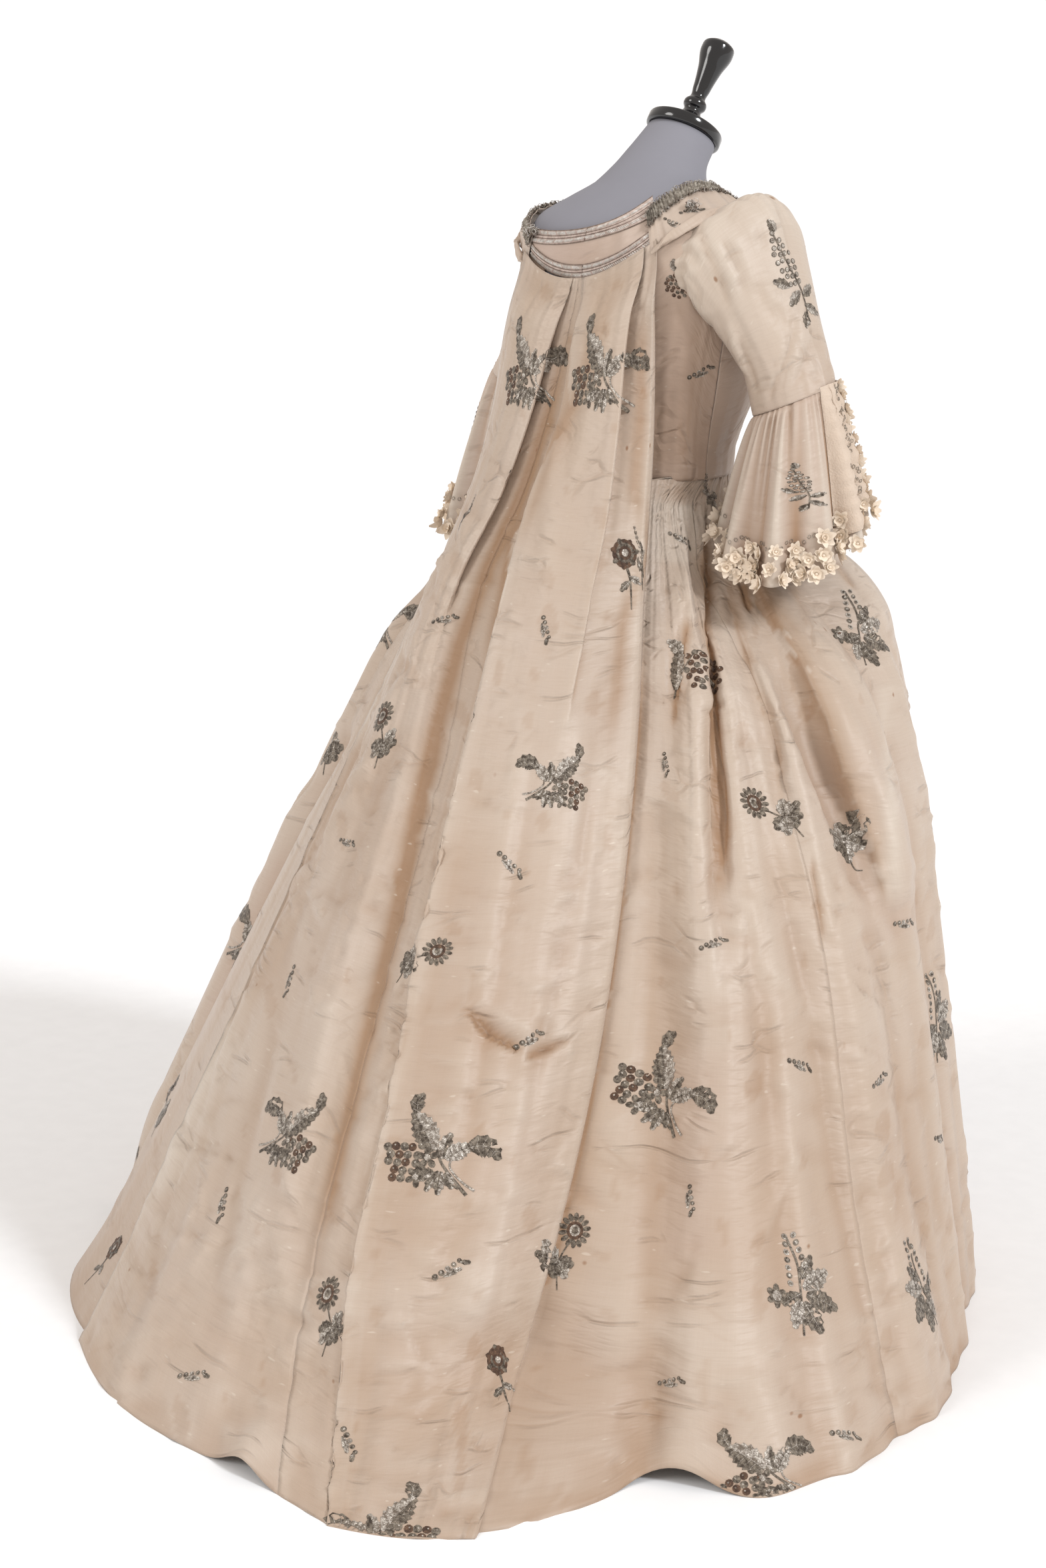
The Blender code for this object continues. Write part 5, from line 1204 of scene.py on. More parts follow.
# ---------------------------------------------------------------- materials
class Nodes:
    """A material's node tree, with short calls for the nodes it needs."""

    def __init__(self, name):
        self.material = bpy.data.materials.new(name)
        self.material.use_nodes = True
        self.tree = self.material.node_tree
        self.shader = self.tree.nodes["Principled BSDF"]

    def node(self, kind, inputs=(), **settings):
        made = self.tree.nodes.new("ShaderNode" + kind)
        for key, value in settings.items():
            setattr(made, key, value)
        for key, value in dict(inputs).items():
            if isinstance(value, bpy.types.NodeSocket):
                self.tree.links.new(value, made.inputs[key])
            else:
                made.inputs[key].default_value = value
        return made

    def attribute(self, name):
        return self.node("Attribute", attribute_name=name).outputs["Vector"]

    def scaled(self, vector, scale):
        return self.node("Mapping", {"Vector": vector, "Scale": scale}).outputs["Vector"]

    def noise(self, vector, scale, detail=3.0, rough=0.55, spread=(0.3, 0.7)):
        found = self.node("TexNoise", {"Vector": vector, "Scale": scale, "Detail": detail,
                                       "Roughness": rough})
        return self.node("MapRange", {"Value": found.outputs["Fac"], "From Min": spread[0],
                                      "From Max": spread[1]}).outputs["Result"]

    def maths(self, operation, a, b=0.0):
        return self.node("Math", {0: a, 1: b}, operation=operation).outputs[0]

    def mix(self, factor, a, b):
        return self.node("Mix", {0: factor, 6: a, 7: b}, data_type="RGBA").outputs[2]

    def bump(self, height, strength, distance, normal=None):
        inputs = {"Height": height, "Strength": strength, "Distance": distance}
        if normal:
            inputs["Normal"] = normal
        return self.node("Bump", inputs).outputs["Normal"]

    def put(self, **inputs):
        for key, value in inputs.items():
            socket = self.shader.inputs[key.replace("_", " ")]
            if isinstance(value, bpy.types.NodeSocket):
                self.tree.links.new(value, socket)
            else:
                socket.default_value = value
        return self.material


def rgb(red, green, blue):
    """Linear colour of a colour given as it looks on a screen, 0 to 255."""
    linear = [((c / 255 + 0.055) / 1.055) ** 2.4 if c > 10 else c / 255 / 12.92 for c in (red, green, blue)]
    return (*linear, 1.0)


def silk_material():
    """Ivory taffeta: slubs across, fine warp, small puckers, pink and brown patches, and painted shade and
    light from the marks.
    """
    n = Nodes("ivory taffeta")
    weave = n.attribute("weave")
    mark = n.node("SeparateXYZ", {"Vector": n.attribute("mark")})
    brown, pink, pale = mark.outputs
    broad = n.noise(weave, 4.5, 2.0)
    patch = n.noise(n.scaled(weave, (1.0, 0.55, 1.0)), 11.0, 3.0, 0.6)
    colour = n.mix(broad, rgb(201, 189, 177), rgb(193, 178, 164))
    colour = n.mix(n.maths("MULTIPLY", patch, 0.45), colour, rgb(193, 175, 161))
    ageing = n.noise(n.scaled(weave, (1.0, 0.6, 1.0)), 5.0, 4.0, 0.7, (0.40, 0.85))
    colour = n.mix(n.maths("MULTIPLY", ageing, 0.30), colour, rgb(190, 169, 141))
    colour = n.mix(n.maths("MINIMUM", pink, 0.9), colour, rgb(184, 156, 146))
    # the brown mark carries dirt and painted shade, the pale mark painted light and highlight and one worn
    # stripe
    colour = n.mix(n.maths("MINIMUM", brown, 0.9), colour, rgb(152, 116, 84))
    colour = n.mix(n.maths("MINIMUM", pale, 0.9), colour, rgb(216, 208, 196))
    slub = n.noise(n.scaled(weave, (18.0, 620.0, 1.0)), 1.0, 2.0, 0.5, (0.30, 0.70))
    warp = n.noise(n.scaled(weave, (900.0, 22.0, 1.0)), 1.0, 1.0, 0.5, (0.30, 0.70))
    thread = n.maths("ADD", n.maths("MULTIPLY", slub, 0.65), n.maths("MULTIPLY", warp, 0.35))
    colour = n.mix(n.maths("MULTIPLY", thread, 0.16), colour, rgb(158, 133, 110))
    bands = n.noise(n.scaled(weave, (13.0, 0.9, 1.0)), 1.0, 2.0, 0.5, (0.25, 0.75))
    # streaky tone, and painted shade down the troughs of the long folds that these bands bump in
    colour = n.mix(n.maths("MULTIPLY", bands, 0.34), colour, rgb(163, 137, 112))
    flecks = n.noise(n.scaled(weave, (55.0, 130.0, 1.0)), 1.0, 1.0, 0.5, (0.73, 0.79))
    colour = n.mix(n.maths("MULTIPLY", flecks, 0.30), colour, rgb(222, 213, 199))
    dots = n.node("TexVoronoi", {"Vector": n.scaled(weave, (26.0, 18.0, 1.0)), "Scale": 1.0,
                                 "Randomness": 1.0})
    dot = n.node("MapRange", {"Value": dots.outputs["Distance"], "From Min": 0.075,
                              "From Max": 0.035}).outputs["Result"]
    rare = n.noise(weave, 9.0, 0.0, 0.5, (0.60, 0.66))
    colour = n.mix(n.maths("MULTIPLY", n.maths("MULTIPLY", dot, rare), 0.75), colour, rgb(133, 92, 58))
    swirl = n.node("TexNoise", {"Vector": weave, "Scale": 9.0, "Detail": 2.0}).outputs["Color"]
    bend = n.scaled(swirl, (0.045, 0.045, 0.0))
    warped = n.node("VectorMath", {0: weave, 1: bend}, operation="ADD").outputs["Vector"]
    cells = n.node("TexVoronoi", {"Vector": n.scaled(warped, (9.0, 30.0, 1.0)), "Scale": 1.0},
                   feature="DISTANCE_TO_EDGE").outputs["Distance"]
    ridge = n.node("MapRange", {"Value": cells, "From Max": 0.10},
                   interpolation_type="SMOOTHSTEP").outputs["Result"]
    where = n.noise(weave, 15.0, 1.0, 0.5, (0.54, 0.64))
    crumple = n.maths("MULTIPLY", n.maths("SUBTRACT", 1.0, ridge), where)
    # painted shade along the bottoms of the crumpled creases that the bump draws
    line = n.node("MapRange", {"Value": cells, "From Min": 0.035, "From Max": 0.0}).outputs["Result"]
    colour = n.mix(n.maths("MULTIPLY", n.maths("MULTIPLY", line, where), 0.20), colour, rgb(146, 114, 86))
    fine = n.node("TexVoronoi", {"Vector": n.scaled(warped, (26.0, 80.0, 1.0)), "Scale": 1.0},
                  feature="DISTANCE_TO_EDGE").outputs["Distance"]
    fine_ridge = n.node("MapRange", {"Value": fine, "From Max": 0.22},
                        interpolation_type="SMOOTHSTEP").outputs["Result"]
    pucker = n.noise(n.scaled(weave, (14.0, 40.0, 1.0)), 1.0, 3.0, 0.55, (0.2, 0.8))
    normal = n.bump(bands, 1.0, -0.010)
    normal = n.bump(crumple, 0.80, -0.0022, normal)
    normal = n.bump(fine_ridge, 0.30, 0.0007, normal)
    normal = n.bump(pucker, 0.80, 0.0020, normal)
    normal = n.bump(thread, 0.35, 0.00012, normal)
    return n.put(Base_Color=colour, Roughness=0.47, Normal=normal, Sheen_Weight=0.10, Sheen_Roughness=0.4,
                 Specular_IOR_Level=0.35)


def metal_material(name, dark, light, roughness, grain=900.0, gloss=0.75, ribbing=0.45):
    """Woven metal thread: fine ribs with sparkle, tarnished in patches."""
    n = Nodes(name)
    place = n.node("NewGeometry").outputs["Position"]
    tarnish = n.noise(place, 190.0, 3.0, 0.6, (0.38, 0.68))
    ribs = n.noise(n.scaled(place, (1.0, 1.0, 1.7)), grain, 1.0, 0.5, (0.35, 0.65))
    colour = n.mix(tarnish, dark, light)
    colour = n.mix(n.maths("MULTIPLY", ribs, ribbing), colour, dark)
    normal = n.bump(ribs, 0.9, 0.0005)
    return n.put(Base_Color=colour, Metallic=gloss, Roughness=roughness, Normal=normal)


def plain_material(name, colour, roughness, metallic=0.0, scale=700.0, depth=0.0002, strength=0.3, coat=0.0):
    """One colour, a little uneven, over a fine grain."""
    n = Nodes(name)
    place = n.node("NewGeometry").outputs["Position"]
    grain = n.noise(place, scale, 2.0, 0.5, (0.3, 0.7))
    darker = (*(c * 0.8 for c in colour[:3]), 1.0)
    shade = n.mix(n.maths("MULTIPLY", n.noise(place, 25.0, 2.0), 0.12), colour, darker)
    return n.put(Base_Color=shade, Roughness=roughness, Metallic=metallic, Coat_Weight=coat,
                 Normal=n.bump(grain, strength, depth))


SILK = silk_material()
PEWTER = metal_material("dark pewter thread", rgb(72, 62, 52), rgb(172, 160, 144), 0.38, 1100.0, 0.30)
SILVER = metal_material("bright silver thread", rgb(206, 196, 186), rgb(255, 252, 247), 0.30, 1300.0, 0.05,
                        0.25)
LEAF_SILVER = metal_material("brocaded silver thread", rgb(112, 100, 88), rgb(240, 233, 222), 0.34, 520.0,
                             0.15, 0.80)
BROWN = metal_material("brown silk thread", rgb(72, 52, 40), rgb(130, 100, 78), 0.55, 1300.0, 0.1)
BRAID = metal_material("braid of metal thread", rgb(206, 184, 172), rgb(246, 230, 220), 0.50, 1500.0, 0.0)
BRAID_DARK = metal_material("dark edge of the braid", rgb(120, 102, 90), rgb(178, 160, 146), 0.45, 1500.0,
                            0.2)
FRILL = metal_material("frilled metal trim", rgb(132, 122, 110), rgb(224, 216, 202), 0.40, 1500.0, 0.35)
CREAM = plain_material("cream fly fringe", rgb(240, 226, 208), 0.75, scale=900.0, depth=0.0004, strength=0.5)
RUCHE = plain_material("ruched silk", rgb(206, 188, 170), 0.6, scale=420.0, depth=0.0006, strength=0.6)
LACE = plain_material("white lace", rgb(214, 210, 205), 0.8, scale=420.0, depth=0.0008, strength=0.9)
FORM = plain_material("grey form cover", rgb(137, 137, 145), 0.75, scale=1600.0, depth=0.00015, strength=0.2)
BLACK = plain_material("black gloss wood", rgb(14, 14, 16), 0.14, scale=60.0, depth=0.0003, strength=0.05,
                       coat=0.5)
STEEL = plain_material("painted steel", rgb(38, 38, 41), 0.35, 0.6, scale=300.0, depth=0.0002, strength=0.1)


# ---------------------------------------------------------------- the form, its cap and the stand
def solid(name, rings, material, node):
    """A smooth closed piece through rings, with flat ends, in place of a node."""
    rings = np.array(rings)
    rows, cols = rings.shape[:2]
    faces = [list(range(cols))[::-1], list(range((rows - 1) * cols, rows * cols))]
    faces += quads(rows, cols, closed=True)
    mesh = bpy.data.meshes.new(name)
    mesh.from_pydata(rings.reshape(-1, 3).tolist(), [], faces)
    mesh.shade_smooth()
    for face in mesh.polygons[:2]:
        face.use_smooth = False
    made = link(mesh, name, [material])
    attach(made, "root")
    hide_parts(node)
    return made


def neck_ring(distance, radius, sides=64):
    """A ring at a distance along the neck's slanting axis."""
    centre = np.array([0.0, TORSO_RINGS[-1][1] - math.sin(NECK_TILT) * distance,
                       TORSO_RINGS[-1][0] + math.cos(NECK_TILT) * distance])
    forward = np.array([0.0, -math.cos(NECK_TILT), -math.sin(NECK_TILT)])
    turn = full_turn(sides)[:, None]
    return centre + radius * (np.cos(turn) * np.array([1.0, 0.0, 0.0]) + np.sin(turn) * forward)


def stand_ring(height, radius, sides=64):
    """A level ring round the upright axis."""
    turn = full_turn(sides)
    return np.stack([radius * np.cos(turn), radius * np.sin(turn), height + 0 * turn], -1)


def rounded(table, count):
    """A finer profile through a table of (place, radius)."""
    table = np.array(table, float)
    steps = running(np.hypot(*np.diff(table, axis=0).T))
    fine = np.linspace(0, steps[-1], count)
    return np.stack([smooth(fine, steps, table[:, 0]), smooth(fine, steps, table[:, 1])], -1)


FORM_SIDES = 96
COVERED_BELOW = 1.44        # the form's surface is drawn in a little below this height, under the robe


def build_form():
    """The padded form, its neck cap and finial, and the pole and base of its stand."""
    around = np.linspace(0, 360, FORM_SIDES, endpoint=False)
    levels = np.concatenate([np.linspace(0.90, 1.40, 34), np.linspace(1.406, 1.503, 24)])
    inside = np.where(levels < COVERED_BELOW, -0.0006, 0.0)
    rings = [torso(around, h, np.full(FORM_SIDES, e)) for h, e in zip(levels, inside)]
    solid("form_body", rings, FORM, "form_torso")
    rim = CAP_RADIUS - 0.003
    cap = ((SEAM, rim), (SEAM + 0.0015, CAP_RADIUS - 0.0008), (SEAM + 0.003, CAP_RADIUS),
           (0.0085, CAP_RADIUS), (CAP_HEIGHT - 0.003, CAP_RADIUS),
           (CAP_HEIGHT - 0.0012, CAP_RADIUS - 0.0008), (CAP_HEIGHT, rim))
    solid("neck_cap", [neck_ring(*p) for p in cap], BLACK, "form_neck_cap")
    foot = CAP_HEIGHT + SEAM
    profile = ((0.0, 0.028), (0.006, 0.026), (0.016, 0.014), (0.022, 0.012), (0.028, 0.0155),
               (0.034, 0.0155), (0.040, 0.011), (0.055, 0.012), (0.085, 0.0165), (0.112, 0.0225),
               (0.120, 0.0215), (0.125, 0.015))
    rings = [neck_ring(foot + d, r, 48) for d, r in rounded(profile, 60)]
    solid("finial", rings, BLACK, "form_finial")
    levels = np.linspace(BASE_HEIGHT + SEAM, FORM_BOTTOM - SEAM, 8)
    solid("pole", [stand_ring(h, POLE_RADIUS, 48) for h in levels], STEEL, "stand_pole")
    base = ((0.0, BASE_RADIUS), (0.007, BASE_RADIUS), (0.010, BASE_RADIUS - 0.002),
            (BASE_HEIGHT, BASE_RADIUS - 0.006))
    solid("base", [stand_ring(h, r, 96) for h, r in base], STEEL, "stand_base")


# ---------------------------------------------------------------- cloth pieces
# each finished cloth and the piece made from it, by name
FINISHED = {}


def paint_fold_shading(cloth, reach=0.020, depth=0.0045, brown=0.20, pale=0.20):
    """Painted shade down in the cloth's folds and painted highlight along their tops."""
    across = np.linalg.norm(np.diff(cloth.grid, axis=1), axis=2).mean()
    down = np.linalg.norm(np.diff(cloth.grid, axis=0), axis=2).mean()
    evened_out = spread(cloth.grid, (2 * reach / down, reach / across), cloth.closed)
    height = ((cloth.grid - evened_out) * cloth.normals()).sum(-1)
    height = height - height.mean()
    cloth.mark[..., 0] += brown * np.clip(-height / depth, 0, 1.3)
    cloth.mark[..., 2] += pale * np.clip(height / depth, 0, 1.2)


def finish_cloth(cloth, material, node):
    """Makes a cloth into a piece that replaces a node of the frame."""
    if material is SILK and min(cloth.grid.shape[:2]) > 20:
        if cloth.closed:
            paint_fold_shading(cloth, 0.012, 0.0035)
        else:
            paint_fold_shading(cloth)
    made = cloth.mesh(material)
    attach(made, "root")
    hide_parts(node)
    FINISHED[cloth.name] = (cloth, made)
    return made


def build_sack():
    """The sack back as one cloth, creased as a whole and cut in two at its centre."""
    grid = sack_grid(SACK_ROWS)
    centre = 1 + sum(SACK_COLUMNS_AT[key] for key in ("turn", "left", "fold", "valley"))
    out = sideways(grid)
    whole = Cloth("sack_left", grid, out)
    whole.hold = fade(from_edge(grid), 0.0, 0.03) * fade(from_edge(grid, False), 0.0, 0.03)
    whole.hold *= fade(SACK_TOP - grid[..., 2], -0.02, 0.02)
    whole.crease(SEEN_SACK_CREASES.values(), seen=True)
    for seed, count, box, extra in SACK_CRINKLES:
        whole.crinkle(seed, count, box, **extra)
    # painted shade down the valley at the centre of the box pleats
    heights = np.linspace(1.325, 0.15, 14)
    whole.mark_stains_and_light(0, 0.92, [(rail("centre", h)[0], h) for h in heights], 17)
    # painted shade down the strip under the right pleat's edge
    heights = np.linspace(1.32, 0.75, 8)
    whole.mark_stains_and_light(0, 0.62, [((rail("pleat", h)[0] + rail("right", h)[0]) / 2, h) for h in heights], 12)
    for row in SEEN_SACK_MARKS:
        whole.mark_stains_and_light(*row, seen=True)
    for row in SACK_MARKS:
        whole.mark_stains_and_light(*row)
    hem_marks(whole)
    right_part = slice(centre + BROWNER_FROM, None)
    whole.mark[:, right_part, 0] += BROWNER_RIGHT * (1 - fade(grid[:, right_part, 2], 0.05, 0.95))
    for name, node, part in (("sack_left", "sack_back_left", slice(0, centre)),
                             ("sack_right", "sack_back_right", slice(centre - 1, None))):
        piece = Cloth(name, whole.grid[:, part], out[:, part], whole.chart[:, part])
        piece.mark = whole.mark[:, part]
        piece.origin = whole.origin
        finish_cloth(piece, SILK, node)


def hem_marks(cloth):
    """Dirt along the hem, and a little browner over the lowest 0.3 m."""
    z = cloth.grid[..., 2]
    rough = Wobble(5, 0.08)(cloth.grid[..., 0] + cloth.grid[..., 1], z)
    cloth.mark[..., 0] += 0.20 * (1 - fade(z, 0.0, 0.035 + 0.02 * rough)) + 0.05 * (1 - fade(z, 0.0, 0.3))


def from_edge(grid, first=True):
    """Distance of each point from the first or last column, along its row."""
    steps = np.linalg.norm(np.diff(grid, axis=1), axis=2)
    distance = np.concatenate([np.zeros((len(grid), 1)), np.cumsum(steps, axis=1)], axis=1)
    return distance if first else distance[:, -1:] - distance


def build_skirt():
    """Each side of the skirt as one cloth, cut at the seam between its two widths."""
    def width_line(height):
        return float(along(WIDTH_SEAM, height))

    def front_line(height):
        return float(along(FRONT_EDGE, height))

    for side, word in SIDES:
        rows, seam = SKIRT_ROWS[side], SIDE_COLUMNS[side]
        back, back_chart = skirt_panel(side, lambda h, s=side: seam_angle(s, h), width_line, rows,
                                       seam + 1, pull=True)
        front, front_chart = skirt_panel(side, width_line, front_line, rows, FRONT_COLUMNS[side])
        grid = np.concatenate([back, front[:, 1:]], axis=1)
        chart = np.concatenate([back_chart, front_chart[:, 1:]], axis=1)
        out = sideways(grid)
        whole = Cloth("skirt_" + word, grid, out, chart, scale=ANGLE_SCALE)
        whole.hold = fade(from_edge(grid), 0.0, 0.03) * fade(WAIST - grid[..., 2], 0.0, 0.015)
        if side == RIGHT:
            whole.crease(SEEN_SKIRT_CREASES.values(), seen=True)
        for seed, count, box, extra in SKIRT_CRINKLES[side]:
            whole.crinkle(seed, count, box, **extra)
        for row in SEEN_SKIRT_MARKS if side == RIGHT else ():
            whole.mark_stains_and_light(*row, seen=True)
        for row in SKIRT_MARKS[side]:
            whole.mark_stains_and_light(*row)
        hem_marks(whole)
        # painted shade: the skirt darker towards the hem
        whole.mark[..., 0] += 0.15 * (1 - fade(grid[..., 2], 0.1, 0.85))
        for name, part in (("skirt_side_", slice(0, seam + 1)), ("skirt_front_", slice(seam, None))):
            piece = Cloth(name + word, whole.grid[:, part], out[:, part], whole.chart[:, part])
            piece.mark = whole.mark[:, part]
            finish_cloth(piece, SILK, name + word)


def build_petticoat():
    """The strip of petticoat that shows between the front edges."""
    grid = []
    for height in np.minimum(skirt_levels(50), WAIST - PETTICOAT_DROP):
        reach = float(along(FRONT_EDGE, height)) + PETTICOAT_LAP
        angle = np.linspace(-reach, reach, PETTICOAT_COLUMNS)
        inside = PETTICOAT_INSIDE[0] + PETTICOAT_INSIDE[1] * float(1 - fade(height, 0.90, 1.06))
        radius = skirt_radius(RIGHT, np.abs(angle), height) - inside
        radius = radius - 0.004 * fade(height, 1.10, 0.9) * (0.5 + 0.5 * np.cos(np.radians(angle * 9)))
        turn = np.radians(angle)
        grid.append(np.column_stack([radius * np.sin(turn), -radius * np.cos(turn),
                                     np.full(PETTICOAT_COLUMNS, height)]))
    grid = np.array(grid)
    cloth = Cloth("petticoat", grid, sideways(grid))
    cloth.crinkle(61, 60, ((-0.2, 0.02), (0.2, 0.95)))
    hem_marks(cloth)
    finish_cloth(cloth, SILK, "petticoat_front")


def build_bodice():
    """The fitted back and front pieces of the bodice, and the stomacher."""
    for side, word in SIDES:
        for name, node, angles, tops in (
                ("body_back_", "bodice_back_", (SIDE_SEAM + SEAM_GAP, BACK_INNER), BACK_TOP[side]),
                ("body_front_", "bodice_front_", (FRONT_ANGLE, SIDE_SEAM - SEAM_GAP), FRONT_TOP[side])):
            grid, chart = bodice_grid(np.linspace(*angles, BODICE_COLUMNS), tops, side, BODICE_ROWS)
            cloth = Cloth(name + word, grid, sideways(grid), chart, scale=TORSO_SCALE)
            # painted shade: the bodice is browner, more so on its back beside the sack and under the arm, and
            # its back pieces pinker
            brown = 0.20 + 0.16 * fade(chart[..., 0], 100, 118)
            cloth.mark[..., 0] += brown * (0.7 if "front" in name else 1.0)
            cloth.mark[..., 1] += 0.36 if "back" in name else 0.20
            box = ((chart[..., 0].min(), 1.09), (chart[..., 0].max(), 1.36))
            cloth.crinkle(71 + side + len(name), 26, box, length=(0.01, 0.05), depth=(0.3, 0.9),
                          width=(2.5, 5), tilt=0.5)
            finish_cloth(cloth, SILK, node + word)
    grid, chart = bodice_grid(np.linspace(-24.8, 24.8, 40), ((-25, 1.330), (0, 1.322), (25, 1.330)), 1, 50)
    cloth = Cloth("stomacher", grid, sideways(grid), chart, scale=TORSO_SCALE)
    cloth.crinkle(77, 14, ((-24, 1.09), (24, 1.31)), length=(0.01, 0.04), depth=(0.3, 0.8), width=(2.5, 4))
    finish_cloth(cloth, SILK, "stomacher")


def build_neck():
    """The band of silk across the back of the neck."""
    grid = neck_strip(band_low, band_high, EASE + CLOTH, rows=24)
    cloth = Cloth("neck_band", grid, sideways(grid))
    cloth.crinkle(81, 14, ((-0.1, 1.33), (0.1, 1.40)), length=(0.006, 0.03), depth=(0.2, 0.6), width=(2, 3.5))
    cloth.mark[..., 1] += 0.42
    finish_cloth(cloth, SILK, "neck_band")


TWIST_LIFT = 0.0045         # how far the middle of the twisted fold lies above the robing
TWIST_HALF = (0.0068, 0.0030)
TWIST_END = {RIGHT: 190, LEFT: 120}


def build_robings():
    """The flat folded strips down both front edges, each with its twisted fold."""
    twists = {}
    shares = np.linspace(0, 1, 14)
    for side, word in SIDES:
        under = EASE + CLOTH + SEAM * 4 + CLOTH
        wave = Wobble(90 + side, 0.03)
        place = np.arange(ROBING_COLUMNS)
        lifts = [under - 0.0006 + 0.0012 * math.sin(math.pi * share)
                 + 0.0007 * wave(place * 0.0026, share * 0.03)
                 + 0.0011 * np.sin(place * 0.62 + 2.2 * np.sin(place * 0.083 + side) + 1.6 * share)
                 for share in shares]
        grid = robing_grid(side, lifts, shares)
        out = robing_grid(side, under + 0.01, shares) - robing_grid(side, under, shares)
        cloth = Cloth("robing_strip_" + word, grid, out)
        finish_cloth(cloth, SILK, "robing_" + word)
        twists[word] = build_twist(side, word, under)
    return twists


def build_twist(side, word, under):
    """A twisted fold of silk along the outer edge of the robing, from its back end over the shoulder."""
    line, above = (robing_grid(side, under + lift, (0.99,), 2 * ROBING_COLUMNS)[0][4:TWIST_END[side]]
                   for lift in (TWIST_LIFT, 0.02))
    up = unit(above - line)
    way = unit(np.gradient(line, axis=0))
    flat = unit(np.cross(way, up))
    share = np.linspace(0, 1, len(line))
    spin = 2 * math.pi * (1.3 * share + 0.10 * np.sin(9 * share))
    size = 0.25 + 0.75 * np.minimum(fade(share, 0.0, 0.12), 1 - fade(share, 0.86, 1.0))
    grid = []
    for turn in full_turn(24):
        pinch = 1 + 0.16 * np.cos(3 * turn + 5 * spin) + 0.08 * np.cos(5 * turn - 3 * spin)
        u, v = TWIST_HALF[0] * np.cos(turn) * pinch, TWIST_HALF[1] * np.sin(turn) * pinch
        grid.append(line + (size * (u * np.cos(spin) - v * np.sin(spin)))[:, None] * flat
                    + (size * (0.62 * u * np.sin(spin) + v * np.cos(spin)))[:, None] * up)
    grid = np.stack(grid, 1)
    cloth = Cloth("twist_" + word, grid, grid - line[:, None], closed=True)
    cloth.mark[..., 0] += 0.10
    made = cloth.mesh(SILK)
    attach(made, "root")
    return made


def build_sleeves():
    """The sleeves, each with its flounce and the lace under it."""
    for side, word in SIDES:
        shares = np.linspace(0, LAST_RING, 72)
        turn = full_turn(96)
        grid = np.array([sleeve_ring(side, r) for r in shares])
        out = from_middle(grid)
        chart = np.stack(np.broadcast_arrays(np.degrees(turn)[None, :], shares[:, None]), -1)
        # gathers at the head, at the top and the back
        head = 1 - fade(shares, 0.8, 3.2)
        gather = (np.cos(turn * HEAD_GATHERS + 2.4 * np.sin(turn * 3 + 0.5))
                  * (0.35 + 0.65 * fade(np.cos(turn - 0.5), -0.2, 0.8)))
        cloth = Cloth("upper_sleeve_" + word, grid, out, chart, closed=True, scale=SLEEVE_SCALE)
        pulled = HEAD_GATHER_DEPTH * (1 - gather)[None, :] * head[:, None]
        cloth.grid = cloth.grid - cloth.normals() * pulled[..., None]
        if side == RIGHT:
            right_chart = [(depth, width, kind, ends, [cloth.chart[seen_at(cloth.view, p)[0]] for p in line])
                           for depth, width, kind, ends, line in SEEN_SLEEVE_CREASES.values()]
        cloth.crease(right_chart + list(SLEEVE_CREASES))
        for seed, count, box, extra in SLEEVE_CRINKLES:
            cloth.crinkle(seed + side, count, box, **extra)
        cloth.mark[..., 1] += 0.06 * (0.6 + 0.4 * Wobble(4 + side, 0.09)(grid[..., 0] * 2, grid[..., 2]))
        # painted light: the upper part of the sleeve is paler
        cloth.mark[..., 2] += 0.34 * (1 - fade(shares, 3.0, 6.5))[:, None]
        finish_cloth(cloth, SILK, "sleeve_" + word)

        rng = np.random.default_rng(31 + side)
        pitch = np.cumsum(rng.uniform(0.45, 1.55, FLOUNCE_GATHERS))
        phase = np.interp(np.linspace(0, 1, FLOUNCE_COLUMNS, endpoint=False), pitch / pitch[-1],
                          np.arange(FLOUNCE_GATHERS))
        pleat = phase.astype(int)
        deep = rng.uniform(0.0010, 0.0036, 40)[pleat]
        reach = rng.uniform(0.35, 1.5, 40)[pleat]

        def ripple(angle, share):
            gathers = -deep * (1 - np.cos(2 * math.pi * phase)) * np.clip(1 - share / reach, 0, 1) ** 1.2
            gathers = gathers * (0.3 + 0.7 * float(fade(share, 0.0, 0.07)))
            waves = (1.15 * np.cos(FLOUNCE_FLUTES * angle + 1.1 * np.sin(2 * angle + 0.7))
                     + 0.50 * np.cos(15 * angle + 1.0 + 2 * np.sin(angle)))
            flutes = FLUTE_DEPTH * share ** 0.8 * waves
            flare = 0.012 * share ** 0.5 * fade(np.sin(angle), 0.1, 0.9)
            return gathers + flutes + flare - 0.001

        def lace_ripple(angle, share):
            tuck = float(fade(share, -0.05, 0.10) - 0.5 * fade(share, 0.7, 1.0))
            return 0.0012 * share * np.cos(24 * angle) - LACE_TUCK * tuck

        grid = cuff(side, np.linspace(0, 1, 44), flounce_fall, FLOUNCE_SPREAD, 0.0, ripple, FLOUNCE_COLUMNS)
        out = from_middle(grid)
        cloth = Cloth("flounce_" + word, grid, out, closed=True)
        cloth.mark[..., 1] += 0.22
        # painted shade in the flounce's flutes and painted highlight on their crests
        paint_fold_shading(cloth, 0.014, 0.0040, 0.45, 0.45)
        finish_cloth(cloth, SILK, "sleeve_flounce_" + word)
        grid = cuff(side, np.linspace(0, 1, 24), lace_fall, LACE_SPREAD, -CLOTH - SEAM * 1.5, lace_ripple,
                    LACE_COLUMNS)
        out = from_middle(grid)
        grid[-1, :, 2] += SCALLOP_DEPTH * np.abs(np.sin(full_turn(LACE_COLUMNS) * SCALLOP_PAIRS))
        cloth = Cloth("lace_" + word, grid, out, closed=True)
        finish_cloth(cloth, LACE, "lace_frill_" + word)


